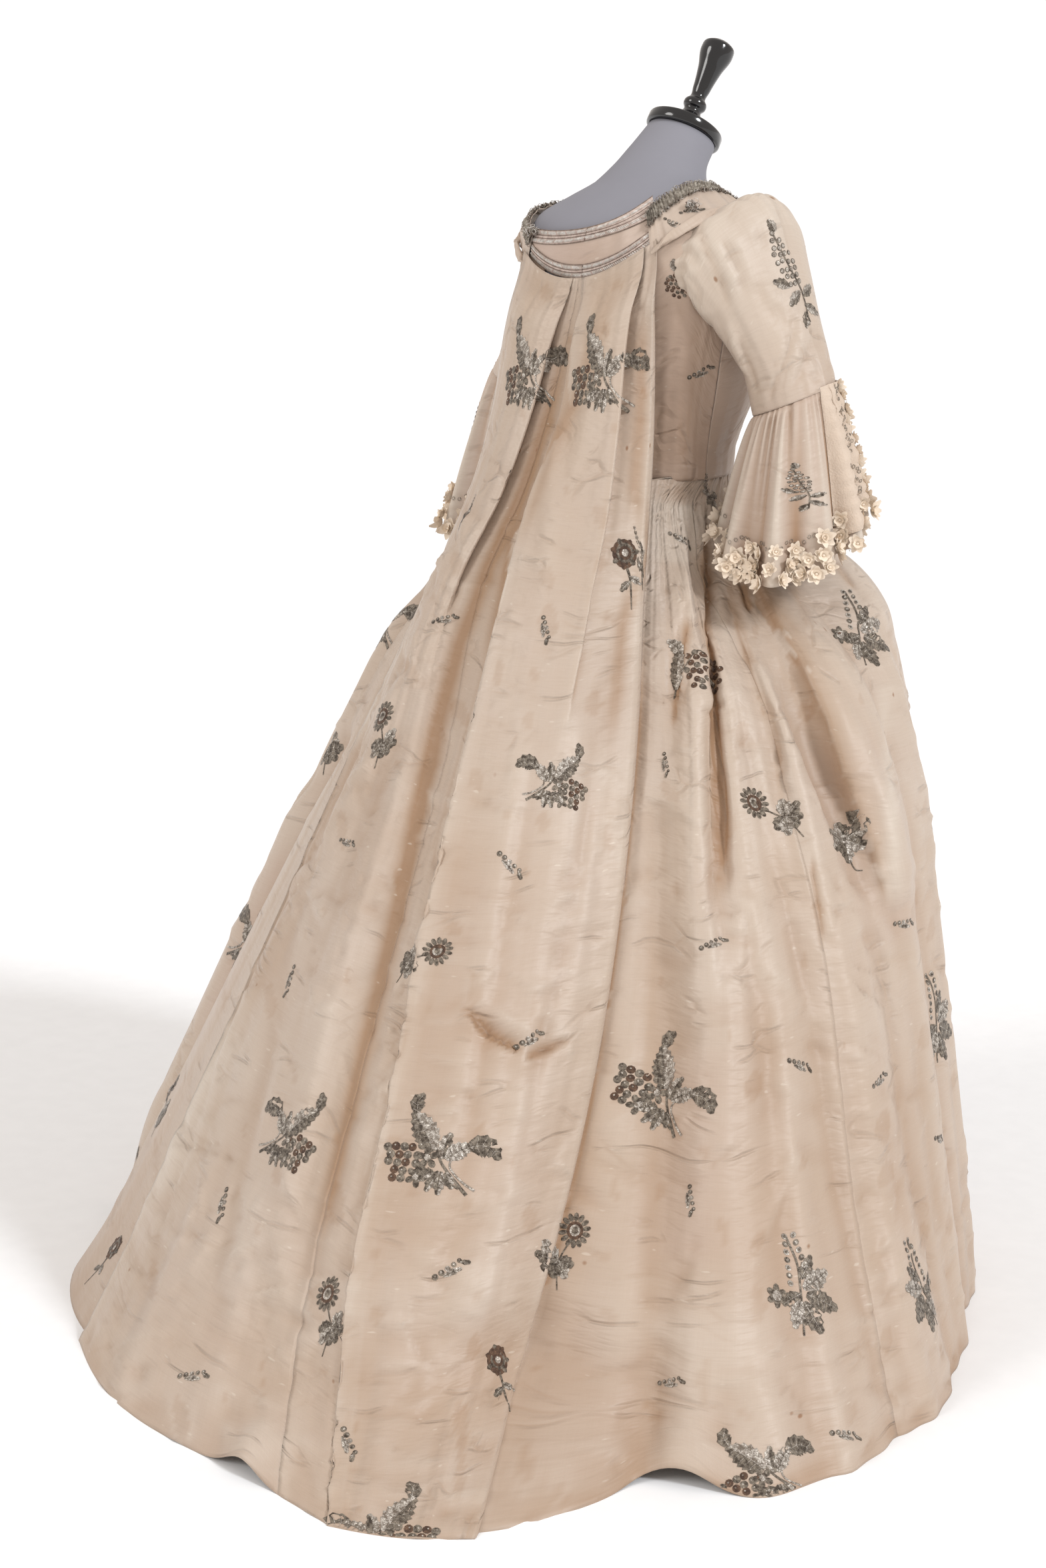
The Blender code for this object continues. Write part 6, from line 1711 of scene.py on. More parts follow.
# ---------------------------------------------------------------- trims
class Heap:
    """Loose polygons gathered into one piece, with a material for each."""

    def __init__(self, name, materials):
        self.name, self.materials = name, materials
        self.points, self.faces, self.kinds = [], [], []

    def add(self, points, faces, kind=0):
        start = len(self.points)
        self.points.extend(map(tuple, np.asarray(points, float)))
        self.faces.extend([start + i for i in face] for face in faces)
        self.kinds.extend([kind] * len(faces))

    def make(self, slot):
        mesh = bpy.data.meshes.new(self.name)
        mesh.from_pydata([tuple(map(float, p)) for p in self.points], [], self.faces)
        made = link(mesh, self.name, self.materials)
        mesh.polygons.foreach_set("material_index", self.kinds)
        mesh.shade_smooth()
        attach(made, "root")
        return made


def grain(heap, centre, lengthways, across, up, length, width, height, kind, sides=6):
    """A small spindle, such as a stitch, lying along a direction."""
    stations = ((-1, 0.25), (-0.55, 0.85), (0, 1.0), (0.55, 0.85), (1, 0.25))
    turn = full_turn(sides)[:, None]
    rings = [centre + lengthways * s * length / 2
             + (across * np.cos(turn) * width / 2 + up * np.sin(turn) * height / 2) * r
             for s, r in stations]
    heap.add(np.concatenate(rings), quads(len(rings), sides, closed=True), kind)


def cord(heap, line, up, radius, kind, sides=5):
    """A thin round cord along a line of points; up is a normal for each."""
    line = np.asarray(line)
    way = unit(np.gradient(line, axis=0))
    across = unit(np.cross(way, up))
    turn = full_turn(sides)
    rings = line[:, None] + radius * (across[:, None] * np.cos(turn)[None, :, None]
                                      + unit(up)[:, None] * np.sin(turn)[None, :, None])
    heap.add(rings.reshape(-1, 3), quads(len(line), sides, closed=True), kind)


def strip_frame(grid):
    """A strip's points, ways along and across, and outward normals, by share of its length and width."""
    rows, cols = grid.shape[:2]
    lengthways = unit(np.gradient(grid, axis=1))
    across = unit(np.gradient(grid, axis=0))
    up = unit(np.cross(lengthways, across))
    out = sideways(grid)
    up = up * np.sign((up * out).sum())

    def at(length_share, width_share):
        i = int(round(width_share * (rows - 1)))
        j = int(round(length_share * (cols - 1)))
        return grid[i, j], lengthways[i, j], across[i, j], up[i, j]

    return at


BRAID_WIDTH = 0.0165
BRAID_OVER = 0.001          # how far each braid laps over the edge of the neck band
BRAID_STITCHES = 84


def build_neck_laces():
    """Braid with two rows of slanted stitches between dark cords, mitred at the centre back."""
    under = EASE + CLOTH + SEAM
    made = []
    for name, node, low, high in (
            ("braid_lower", "neck_lace_lower",
             lambda x: band_low(x) - BRAID_OVER, lambda x: band_low(x) + BRAID_WIDTH),
            ("braid_upper", "neck_lace_upper",
             lambda x: band_high(x) - BRAID_WIDTH, lambda x: band_high(x) + BRAID_OVER)):
        grid = neck_strip(low, high, under + 0.0006, cols=420, rows=41)
        heap = Heap(name, [BRAID_DARK, BRAID, SILVER])
        base = grid[::5, ::3]
        rows, cols = base.shape[:2]
        heap.add(base.reshape(-1, 3), quads(rows, cols), 1)
        at = strip_frame(grid)
        out = sideways(grid)
        for share, radius, kind in ((0.03, 0.0007, 0), (0.40, 0.0006, 0), (0.60, 0.0006, 0),
                                    (0.97, 0.0007, 0), (0.47, 0.0007, 1), (0.53, 0.0007, 1)):
            i = int(round(share * 40))
            line = grid[i, ::3]
            cord(heap, line, unit(out[i, ::3]), radius, kind)
        middle = cols // 2
        outward = unit(out[::5, ::3][:, middle])
        cord(heap, base[:, middle] + 0.0004 * outward, outward, 0.0007, 0)
        for k in range(BRAID_STITCHES):
            place = (k + 0.5) / BRAID_STITCHES
            mirror = 1 if place < 0.5 else -1
            for row, slant in ((0.215, 1), (0.785, -1)):
                point, lengthways, across, up = at(place, row)
                way = unit(lengthways * 0.75 * mirror + across * 0.8 * slant)
                grain(heap, point + up * 0.0004, way, np.cross(up, way), up, 0.0058, 0.0018, 0.0018,
                      2 if k % 7 else 1)
        piece = heap.make("metal_lace")
        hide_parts(node)
        made.append(piece)
    return made


def ring_loop(heap, centre, one, two, radius, thick, kind, sides=9):
    """A small loop of thread in the plane of two directions."""
    turn = full_turn(sides)
    up = np.cross(one, two)
    rings = []
    for t in turn:
        out = one * math.cos(t) + two * math.sin(t)
        middle = centre + out * radius
        rings.append([middle + out * thick, middle + up * thick, middle - out * thick, middle - up * thick])
    rings = np.array(rings).reshape(-1, 3)
    faces = [[i * 4 + j, i * 4 + (j + 1) % 4, ((i + 1) % sides) * 4 + (j + 1) % 4, ((i + 1) % sides) * 4 + j]
             for i in range(sides) for j in range(4)]
    heap.add(rings, faces, kind)


# middles of the knots of thread in the trim
KNOTS = {RIGHT: (-0.1245, 0.011, 1.420), LEFT: (0.0973, 0.0697, 1.3815)}
KNOT_LOOPS = 90
FRILL_COLUMNS = 560
FRILL_SHARES = (0.0, 0.15, 0.30)        # shares of the robing's width that the ruffle covers


def build_robing_frills():
    """Frilled metal trim along the neck edge of each robing: a ruffle with loops of thread."""
    made = []
    for side, word in SIDES:
        rng = np.random.default_rng(40 + side)
        under = EASE + CLOTH + SEAM * 4 + CLOTH + SEAM
        base, top = (robing_grid(side, under + lift, FRILL_SHARES, FRILL_COLUMNS) for lift in (0, 0.01))
        up = unit(top - base)
        place = np.arange(FRILL_COLUMNS)
        heap = Heap("frill_" + word, [BRAID_DARK, FRILL, SILVER])
        ruffle = []
        for k, share in enumerate(np.linspace(0, 2, 7)):
            i = min(int(share), 1)
            t = share - i
            line = base[i] * (1 - t) + base[i + 1] * t
            way = up[i] * (1 - t) + up[i + 1] * t
            edge = abs(share - 1)
            height = 0.0016 + (0.0016 * np.sin(place * 0.75 + 0.6 * np.sin(place * 0.11)) * (0.4 + edge)
                               + 0.0008 * np.sin(place * 1.9 + share * 2))
            ruffle.append(line + way * (height + 0.0010)[:, None])
        ruffle = np.array(ruffle)
        heap.add(ruffle.reshape(-1, 3), quads(*ruffle.shape[:2]), 1)
        for k in range(0, FRILL_COLUMNS, 3):
            for share in (0.0, 2.0):
                if rng.random() < 0.25:
                    continue
                i = int(share)
                one = unit(rng.normal(0, 1, 3) * 0.5 + up[i, k])
                two = unit(np.cross(one, rng.normal(0, 1, 3)))
                ring_loop(heap, base[i, k] + up[i, k] * rng.uniform(0.001, 0.004), one, two,
                          rng.uniform(0.0018, 0.0034), 0.00035,
                          int(rng.choice([0, 1, 2], p=[0.35, 0.35, 0.3])), 8)
        middle = np.array(KNOTS[side])
        k = int(np.linalg.norm(base[0] - middle, axis=1).argmin())
        for _ in range(KNOT_LOOPS):
            one = unit(rng.normal(0, 1, 3))
            two = unit(np.cross(one, rng.normal(0, 1, 3)))
            ring_loop(heap, middle + up[0, k] * 0.006 + rng.normal(0, 0.0032, 3), one, two,
                      rng.uniform(0.002, 0.0042), 0.0004, int(rng.choice([0, 1, 2], p=[0.25, 0.35, 0.4])), 8)
        piece = heap.make("metal_lace")
        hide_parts("robing_frill_" + word)
        made.append(piece)
    return made


def petal(heap, root, way, out, length, width, curl, kind=0):
    """A cupped petal of fringe from its root."""
    across = np.cross(way, out)
    points, faces = [], []
    for i, u in enumerate((0.0, 0.3, 0.6, 0.85, 1.0)):
        spread = width / 2 * math.sin(math.pi * (0.12 + 0.80 * u ** 0.8))
        lift = curl * length * u * u
        for v in (-1, 0, 1):
            points.append(root + way * length * u + across * spread * v
                          + out * (lift + 0.30 * spread * (v * v)))
        if i:
            for j in (0, 1):
                a = (i - 1) * 3 + j
                faces.append([a, a + 1, a + 4, a + 3])
    heap.add(points, faces, kind)


def tuft(heap, centre, out, down, rng, size=1.0):
    """A tuft of fly fringe: two crowded rounds of petals and a pale knot."""
    side = np.cross(out, down)
    first = rng.uniform(0, 6.28)
    for layer, count, lift, reach in ((0, 7, 0.25, 1.0), (1, 5, 0.75, 0.72)):
        for k in range(count):
            angle = first + layer * 0.5 + 2 * math.pi * k / count + rng.normal(0, 0.16)
            flat = side * math.cos(angle) + down * math.sin(angle)
            way = unit(flat + out * (lift + rng.normal(0, 0.12)))
            normal = unit(out - way * (out @ way))
            petal(heap, centre + out * 0.0012 * layer, way, normal,
                  rng.uniform(0.0085, 0.0120) * size * reach,
                  rng.uniform(0.0065, 0.0085) * size, rng.uniform(0.10, 0.45), 0)
    grain(heap, centre + out * 0.004, side, down, out, 0.004, 0.004, 0.004, 0, 5)


FRINGE_FRONT = 38           # angle of the front row of fringe, forward from the outside of the flounce
RUCHE_COLUMNS = 30          # columns of the flounce that the ruched strip covers
GIMP_LEVEL = 0.80           # share of the flounce's depth at which the gimp runs


def build_fringes():
    """Fly fringe in tufts round the hem of each flounce and up its front edge."""
    made = []
    for side, word in SIDES:
        rng = np.random.default_rng(50 + side)
        heap = Heap("fringe_" + word, [CREAM, FRILL, RUCHE])
        grid = FINISHED["flounce_" + word][0].grid
        rows, cols = grid.shape[:2]
        around = unit(np.roll(grid, -1, axis=1) - np.roll(grid, 1, axis=1))
        down = unit(np.gradient(grid, axis=0))
        out = np.cross(around, down)
        out = unit(out * np.sign((out * (from_middle(grid))).sum()))
        for row_share, count, size in ((0.985, 42, 1.40), (0.91, 42, 1.35), (0.83, 32, 1.20)):
            i = int(row_share * (rows - 1))
            for k in range(count):
                place = k + rng.uniform(-0.22, 0.22) + (0.5 if row_share < 0.95 else 0)
                j = int(place / count * cols) % cols
                if row_share < 0.85 and rng.random() < 0.3:
                    continue
                spot = grid[i, j] + out[i, j] * 0.0035 + down[i, j] * rng.uniform(-0.003, 0.003)
                tuft(heap, spot, out[i, j], down[i, j], rng, size * rng.uniform(0.85, 1.15))
        front = int((1 - FRINGE_FRONT / 360) * cols)
        for k, i in enumerate(np.linspace(2, rows - 8, 11).astype(int)):
            j = (front + int(rng.uniform(-2, 3))) % cols
            tuft(heap, grid[i, j] + out[i, j] * 0.004, out[i, j], down[i, j], rng, 1.25)
            beyond = (j + 6) % cols
            tuft(heap, grid[i, beyond] + out[i, beyond] * 0.003, out[i, j], down[i, j], rng, 0.95)
        # ruched strip behind the front row, with metal thread along its folds
        covered = [(front + k) % cols for k in range(-3, RUCHE_COLUMNS)]
        share = np.linspace(0, 1, len(covered))
        level = np.arange(0, rows - 4)[:, None]
        uneven = 0.60 + 0.40 * np.sin(level * 1.35 + 1.6 * np.sin(share * 5 + level * 0.3))
        puff = (0.0010 + 0.0062 * (np.sin(math.pi * share) * uneven))[..., None]
        ruche = grid[:rows - 4][:, covered] + out[:rows - 4][:, covered] * puff
        high, wide = ruche.shape[:2]
        heap.add(ruche.reshape(-1, 3), quads(high, wide), 2)
        for i in range(1, high - 1):
            for k in (int(wide * 0.42), int(wide * 0.55)):
                j = min(wide - 1, k + int(rng.integers(-2, 3)))
                col = covered[j]
                ring_loop(heap, ruche[i, j] + out[i, col] * 0.001, around[i, col], down[i, col],
                          rng.uniform(0.0016, 0.0030), 0.00045, 1, 7)
        # gimp of metal thread above the tufts and beside the front row
        for k in range(0, cols, 2):
            i = int((GIMP_LEVEL + 0.02 * math.sin(k * 0.55)) * (rows - 1))
            ring_loop(heap, grid[i, k] + out[i, k] * 0.0012, around[i, k], down[i, k], 0.0024, 0.0004, 1, 7)
        for i in range(1, rows - 6):
            j = (front + 7 + int(1.6 * math.sin(i * 1.1))) % cols
            ring_loop(heap, grid[i, j] + out[i, j] * 0.0016, around[i, j], down[i, j], 0.0026, 0.0005, 1, 7)
        piece = heap.make("fly_fringe")
        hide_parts("flounce_fringe_" + word)
        made.append(piece)
    return made


# ---------------------------------------------------------------- brocaded flowers
class Design:
    """Flat shapes of a brocaded motif: points in metres, faces, material and lift."""

    def __init__(self):
        self.parts = []

    def shape(self, points, faces, kind, lift=0.0004):
        self.parts.append((np.asarray(points, float), faces, kind, lift))

    def disc(self, x, y, radius, kind, lift=0.0004, sides=9, squash=1.0, turn=0.0):
        angle = full_turn(sides)
        px, py = radius * np.cos(angle), radius * squash * np.sin(angle)
        c, s = math.cos(turn), math.sin(turn)
        points = np.concatenate([[[x, y]], np.stack([x + px * c - py * s, y + px * s + py * c], -1)])
        self.shape(points, [[0, 1 + k, 1 + (k + 1) % sides] for k in range(sides)], kind, lift)

    def line(self, points, width, kind, lift=0.0005, taper=1.0):
        points = np.asarray(points, float)
        fine = np.linspace(0, len(points) - 1, max(4, 4 * (len(points) - 1)))
        knots = np.arange(len(points))
        way = np.stack([smooth(fine, knots, points[:, 0]), smooth(fine, knots, points[:, 1])], -1)
        across = unit(np.gradient(way, axis=0))[:, ::-1] * np.array([-1, 1])
        half = width / 2 * np.linspace(1, taper, len(way))[:, None]
        both = np.stack([way - across * half, way + across * half], 1).reshape(-1, 2)
        self.shape(both, quads(len(way), 2), kind, lift)

    def leaf(self, x, y, heading, length, width, teeth=6, curl=0.0, kinds=(0, 1), two_tone=False):
        """A toothed leaf from (x, y), bending by curl degrees over its length, light veins on it."""
        steps = teeth * 2 + 1
        share = np.linspace(0, 1, steps)
        angle = np.radians(heading + curl * share ** 1.5)
        step = length / (steps - 1)
        spine = np.stack([x + running(np.cos(angle[:-1]) * step), y + running(np.sin(angle[:-1]) * step)], -1)
        across = np.stack([-np.sin(angle), np.cos(angle)], -1)
        forward = np.stack([np.cos(angle), np.sin(angle)], -1)
        half = width / 2 * np.sin(math.pi * (0.06 + 0.90 * share) ** 0.85)
        tooth = np.where(np.arange(steps) % 2 == 1, 1.12, 0.90)[:, None]
        point_forward = np.where(np.arange(steps) % 2 == 1, 0.6, 0.0)[:, None] * step
        for sign, kind in ((1, kinds[0]), (-1, kinds[1] if two_tone else kinds[0])):
            edge = spine + sign * across * (half[:, None] * tooth) + forward * point_forward
            edge[-1] = spine[-1]
            points = np.stack([spine, edge], 1).reshape(-1, 2)
            self.shape(points, quads(steps, 2), kind)
        self.line(spine[[0, steps // 2, steps - 2]], 0.0009, kinds[1], 0.0008, 0.5)
        for k in range(1, steps - 2, 2):
            for sign in (1, -1):
                end = spine[k] + sign * across[k] * half[k] * 0.80 + forward[k] * step * 0.8
                self.line([spine[k], end], 0.0008, kinds[1], 0.0008, 0.4)

    def flower(self, x, y, radius, petals, kind, centre, turn=0.0):
        for k in range(petals):
            angle = turn + 2 * math.pi * k / petals
            self.disc(x + 0.62 * radius * math.cos(angle), y + 0.62 * radius * math.sin(angle),
                      radius * 0.42, kind,
                      0.0004 + 0.0001 * (k % 2), 8, 0.72, angle)
        self.disc(x, y, radius * 0.30, centre, 0.0008, 8)


def grape_bunch():
    """A bunch of berries with two small flowers and long toothed leaves on a forked stem."""
    d = Design()
    rng = np.random.default_rng(3)
    d.line([(0.052, -0.058), (0.038, -0.044), (0.016, -0.020), (0.004, 0.004)], 0.0052, 0, 0.0004, 0.6)
    d.line([(0.062, -0.050), (0.044, -0.040), (0.026, -0.022), (0.030, -0.002)], 0.0036, 1, 0.0006, 0.6)
    d.line([(0.040, -0.050), (0.018, -0.040), (-0.004, -0.026)], 0.0034, 0, 0.0005, 0.6)
    for row in range(5):
        for k in range(5 - (row > 1) - (row > 2) * 2):
            x = -0.066 + 0.0128 * k + 0.0064 * (row % 2) + 0.004 * max(row - 1, 0) + rng.normal(0, 0.0009)
            y = 0.002 - 0.0115 * row + rng.normal(0, 0.0009)
            d.disc(x, y, 0.0061, (0, 2, 0, 2, 0)[(2 * row + k) % 5], 0.0004, 10)
            # painted highlight: a small silver dot at the upper left of each berry
            d.disc(x - 0.0012, y + 0.0016, 0.0014, 1, 0.0007, 6)
    d.flower(-0.006, -0.012, 0.0165, 5, 0, 1, 0.4)
    d.flower(-0.020, -0.040, 0.0150, 5, 0, 1, 1.1)
    d.leaf(0.002, -0.002, 118, 0.066, 0.036, 7, 14, (0, 1), True)
    d.leaf(-0.028, 0.050, 104, 0.032, 0.020, 4, -95, (0, 1))
    d.leaf(0.016, -0.012, 92, 0.040, 0.018, 5, -44, (1, 0), True)
    d.leaf(0.020, -0.012, 48, 0.044, 0.022, 6, -30, (1, 0))
    d.leaf(0.046, 0.010, 22, 0.052, 0.030, 6, -108, (0, 1))
    for x, angle, length in ((0.016, -98, 0.034), (0.012, -122, 0.034), (0.004, -150, 0.028),
                             (0.022, -70, 0.024), (-0.004, -172, 0.022)):
        d.leaf(x, -0.030, angle, length, 0.015, 4, 14, (1, 0), True)
    return d


def berry_bunch():
    """A close bunch of berries hanging beside one long feathered leaf."""
    d = Design()
    rng = np.random.default_rng(8)
    for row in range(6):
        wide = (3, 5, 4, 5, 4, 2)[row]
        for k in range(wide):
            x = 0.012 + 0.0104 * (k - (wide - 1) / 2) + 0.0016 * row + rng.normal(0, 0.0011)
            y = 0.026 - 0.0102 * row + rng.normal(0, 0.0011)
            d.disc(x, y, 0.0048, 2 if (row + k) % 3 else 0, 0.0004, 9)
            # painted highlight: a small silver dot at the upper left of each berry
            d.disc(x - 0.0009, y + 0.0012, 0.0010, 1, 0.0007, 5)
    d.leaf(-0.014, -0.034, 96, 0.070, 0.022, 8, 16, (0, 1), True)
    d.leaf(-0.018, 0.018, 128, 0.034, 0.018, 5, 50, (1, 0))
    d.line([(-0.014, -0.046), (-0.012, -0.020), (0.000, 0.026), (0.012, 0.030)], 0.0026, 0, 0.0006, 0.6)
    return d


def tall_bunch():
    """A tall open bunch of small pale berries over a stem with short leaves."""
    d = Design()
    rng = np.random.default_rng(9)
    for row, wide in enumerate((1, 2, 3, 4, 4, 4, 3, 3)):
        for k in range(wide):
            x = -0.006 + 0.0092 * (k - (wide - 1) / 2) + 0.0020 * row + rng.normal(0, 0.0009)
            y = 0.062 - 0.0098 * row + rng.normal(0, 0.0009)
            d.disc(x, y, 0.0042, 0, 0.0004, 9, 0.85, 0.4)
            d.disc(x, y, 0.0031, 1, 0.0007, 8, 0.85, 0.4)
    d.line([(-0.008, 0.070), (0.004, 0.020), (0.016, -0.020), (0.014, -0.060)], 0.0026, 0, 0.0006, 0.8)
    for x, y, angle, length, kinds in (
            (-0.004, -0.010, 150, 0.026, (1, 0)), (0.012, -0.018, -150, 0.030, (0, 1)),
            (0.016, -0.024, 20, 0.030, (1, 0)), (0.014, -0.036, -30, 0.034, (0, 1)),
            (0.014, -0.046, -120, 0.024, (1, 0)), (0.000, 0.064, 105, 0.018, (0, 1))):
        d.leaf(x, y, angle, length, 0.014, 4, 12, kinds, True)
    return d


def stemmed_flower():
    """A round many-petalled flower with leaves below it."""
    d = Design()
    d.line([(-0.022, 0.020), (-0.006, 0.004), (0.006, -0.018), (0.010, -0.052)], 0.0026, 0, 0.0004, 0.7)
    for k in range(14):
        angle = 2 * math.pi * k / 14
        d.disc(-0.024 + 0.0175 * math.cos(angle), 0.030 + 0.0200 * math.sin(angle), 0.0062, 0, 0.0004, 8,
               0.60, angle)
    d.disc(-0.024, 0.030, 0.0122, 2, 0.0006, 14, 1.1)
    d.disc(-0.024, 0.030, 0.0080, 1, 0.0008, 12, 1.1)
    d.disc(-0.024, 0.030, 0.0048, 0, 0.0010, 10, 1.1)
    for angle, length, kinds in ((60, 0.030, (1, 0)), (10, 0.028, (0, 1)), (-40, 0.026, (0, 1)),
                                 (-160, 0.026, (0, 1)), (-115, 0.030, (1, 0)), (-75, 0.026, (0, 1))):
        d.leaf(0.006, -0.010, angle, length, 0.021, 4, 18, kinds)
    return d


def open_flower():
    """A broad open flower of toothed petals with a leaf above it."""
    d = Design()
    for angle, length, kinds in ((98, 0.026, (1, 0)), (22, 0.034, (0, 1)), (-32, 0.030, (0, 1)),
                                 (-92, 0.034, (1, 0)), (168, 0.030, (0, 1)), (-146, 0.032, (0, 1))):
        d.leaf(0.0, 0.0, angle, length, 0.022, 4, 10, kinds, True)
    d.disc(0.0, 0.0, 0.0062, 1, 0.0009, 9)
    d.disc(0.0, 0.0, 0.0030, 0, 0.0011, 7)
    d.leaf(0.014, 0.018, 66, 0.040, 0.024, 5, -10, (0, 1))
    d.line([(0.002, -0.030), (0.008, -0.042), (0.018, -0.044)], 0.0022, 0, 0.0006, 0.6)
    return d


def rose_on_stem():
    """A dark oval rose with a tapering stem."""
    d = Design()
    d.disc(0, 0.026, 0.0175, 2, 0.0004, 14, 1.15)
    for radius, kind in ((0.0128, 0), (0.0088, 2), (0.0048, 1)):
        d.disc(0.001, 0.027, radius, kind, 0.0006 + (0.0128 - radius) * 0.05, 12, 1.1)
    for k in range(7):
        angle = 2 * math.pi * k / 7
        d.disc(0.0155 * math.cos(angle), 0.026 + 0.017 * math.sin(angle), 0.0052, 2 if k % 2 else 0, 0.0005,
               7, 0.7, angle)
    d.line([(0.0, 0.010), (0.002, -0.012), (-0.004, -0.050)], 0.0042, 0, 0.0004, 0.35)
    d.leaf(0.001, -0.006, -30, 0.022, 0.010, 3, -20, (1, 0))
    d.leaf(0.001, -0.012, -150, 0.020, 0.010, 3, 20, (0, 1))
    return d


def branch():
    """A tall sprig of berries over a cluster of pointed leaves."""
    d = Design()
    d.line([(-0.002, 0.070), (0.004, 0.036), (0.000, 0.004), (-0.010, -0.052)], 0.0030, 0, 0.0004, 0.8)
    for k in range(7):
        for sign in (-1, 1):
            x = sign * (0.006 + 0.0012 * k) + 0.002
            y = 0.070 - 0.0095 * k
            d.disc(x, y, 0.0044, 0 if k % 2 else 1, 0.0004, 8, 0.8, sign * 0.8)
            d.disc(x, y, 0.0019, 1 if k % 2 else 0, 0.0008, 6)
    d.flower(-0.036, 0.000, 0.0150, 6, 0, 2, 0.3)
    d.disc(-0.036, 0.000, 0.0068, 1, 0.0009, 9)
    for x, y, angle, length, width, kinds in (
            (0.004, 0.004, 20, 0.046, 0.024, (1, 0)), (0.006, -0.004, -30, 0.048, 0.026, (0, 1)),
            (0.000, -0.012, -75, 0.044, 0.024, (0, 1)), (-0.004, -0.010, -120, 0.036, 0.020, (1, 0)),
            (-0.002, -0.002, -165, 0.030, 0.018, (0, 1)), (0.004, 0.016, 48, 0.034, 0.016, (0, 1))):
        d.leaf(x, y, angle, length, width, 5, 10, kinds)
    return d


def tiny_sprig():
    """Five or six small berries in a slanting row with a leaf."""
    d = Design()
    for k in range(5):
        x, y = -0.014 + 0.0068 * k, 0.008 - 0.0042 * k
        d.disc(x, y, 0.0036 - 0.0002 * k, 0 if k != 2 else 1, 0.0004, 8)
        # painted highlight: a small silver dot at the upper right of each berry
        d.disc(x + 0.0006, y + 0.0006, 0.0014, 1, 0.0008, 6)
    d.leaf(-0.010, 0.000, -35, 0.022, 0.007, 3, -20, (1, 0))
    d.leaf(0.012, -0.010, -70, 0.012, 0.006, 2, 20, (0, 1))
    return d


DESIGNS = {"bunch": grape_bunch, "berries": berry_bunch, "tall": tall_bunch, "flower": stemmed_flower,
           "rose": rose_on_stem, "branch": branch, "open": open_flower, "sprig": tiny_sprig}
NEAR_STEPS = ((0.02, 0, 0), (-0.02, 0, 0), (0, 0, 0.02), (0, 0, -0.02), (0, 0.02, 0))
LONGEST_FACE = 0.022        # a motif's face longer than this has jumped over a fold and is left out
RAY_START = 0.03            # how far outside the cloth the rays that lay a motif down start
RAY_REACH = 0.075
LIFT_SHARE = 1.2


def seen_place(names, pixel):
    """The point of the named cloths that the picture shows at a pixel, the front one where several lie."""
    found = []
    for name in names:
        grid = FINISHED[name][0].grid
        view = in_picture(grid)
        at, gap = seen_at(view, pixel)
        found.append((gap > PIXEL_REACH, gap if gap > PIXEL_REACH else view[1][at], tuple(grid[at])))
    return min(found)[2]


def lay_motifs(heap, names, rows, designs):
    """Lays motifs on the named cloths."""
    tree = cloth_tree(names)
    for name, turn, size, mirrored, place in rows:
        if len(place) == 2:
            place = seen_place(names, place)
        size = np.array(size if hasattr(size, "__len__") else (size, size))
        found = tree.find_nearest(Vector(place))
        spot, normal = np.array(found[0]), np.array(found[1])
        normal = normal * (1 if normal @ sideways(spot) > 0 else -1)
        # evened out over the folds near the place
        near = [np.array(tree.find_nearest(found[0] + Vector(step))[1]) for step in NEAR_STEPS]
        normal = unit(normal + sum(other * np.sign(other @ normal) for other in near))
        up = unit(np.array([0, 0, 1.0]) - normal * normal[2])
        right = np.cross(up, normal)
        c, s = math.cos(math.radians(turn)), math.sin(math.radians(turn))
        for points, faces, kind, lift in designs[name].parts:
            flat = points * size * np.array([-1.0 if mirrored else 1.0, 1.0])
            x, y = flat[:, 0] * c - flat[:, 1] * s, flat[:, 0] * s + flat[:, 1] * c
            starts = [spot + right * a + up * b + normal * RAY_START for a, b in zip(x, y)]
            hits = [tree.ray_cast(Vector(start), Vector(-normal), RAY_REACH)[0] for start in starts]
            laid = np.array([spot if hit is None else np.array(hit) + normal * lift * LIFT_SHARE
                             for hit in hits])
            kept = [face for face in faces if all(hits[i] is not None for i in face)
                    and np.ptp(laid[face], axis=0).max() < LONGEST_FACE]
            if kept:
                heap.add(laid, kept, kind)


def cloth_tree(names):
    """A search tree of the faces of the named cloths."""
    points, faces, start = [], [], 0
    for name in names:
        cloth = FINISHED[name][0]
        rows, cols = cloth.grid.shape[:2]
        points.extend(Vector(p) for p in cloth.grid.reshape(-1, 3))
        faces.extend([start + corner for corner in face] for face in quads(rows, cols, cloth.closed))
        start += rows * cols
    return BVHTree.FromPolygons(points, faces)


def on_skirt(side, angle, height):
    """A place on the skirt at an angle from the centre front and a height."""
    radius = float(skirt_radius(side, angle, height))
    turn = math.radians(angle)
    return side * radius * math.sin(turn), -radius * math.cos(turn), height


def build_motifs():
    """Brocaded flowers over the body of the robe and over each sleeve."""
    designs = {name: make() for name, make in DESIGNS.items()}
    body = [name for name in FINISHED
            if name.startswith(("sack", "skirt", "body", "petticoat", "stomacher", "robing"))]
    for name, rows in (("brocade_back", BACK_MOTIFS), ("brocade_right", RIGHT_MOTIFS),
                       ("brocade_left", LEFT_MOTIFS), ("brocade_front", FRONT_MOTIFS)):
        heap = Heap(name, [PEWTER, LEAF_SILVER, BROWN])
        lay_motifs(heap, body, rows, designs)
        heap.make("metal_lace")
    for side, word in SIDES:
        heap = Heap("brocade_sleeve_" + word, [PEWTER, LEAF_SILVER, BROWN])
        lay_motifs(heap, ["upper_sleeve_" + word, "flounce_" + word], SLEEVE_MOTIFS[side], designs)
        heap.make("metal_lace")


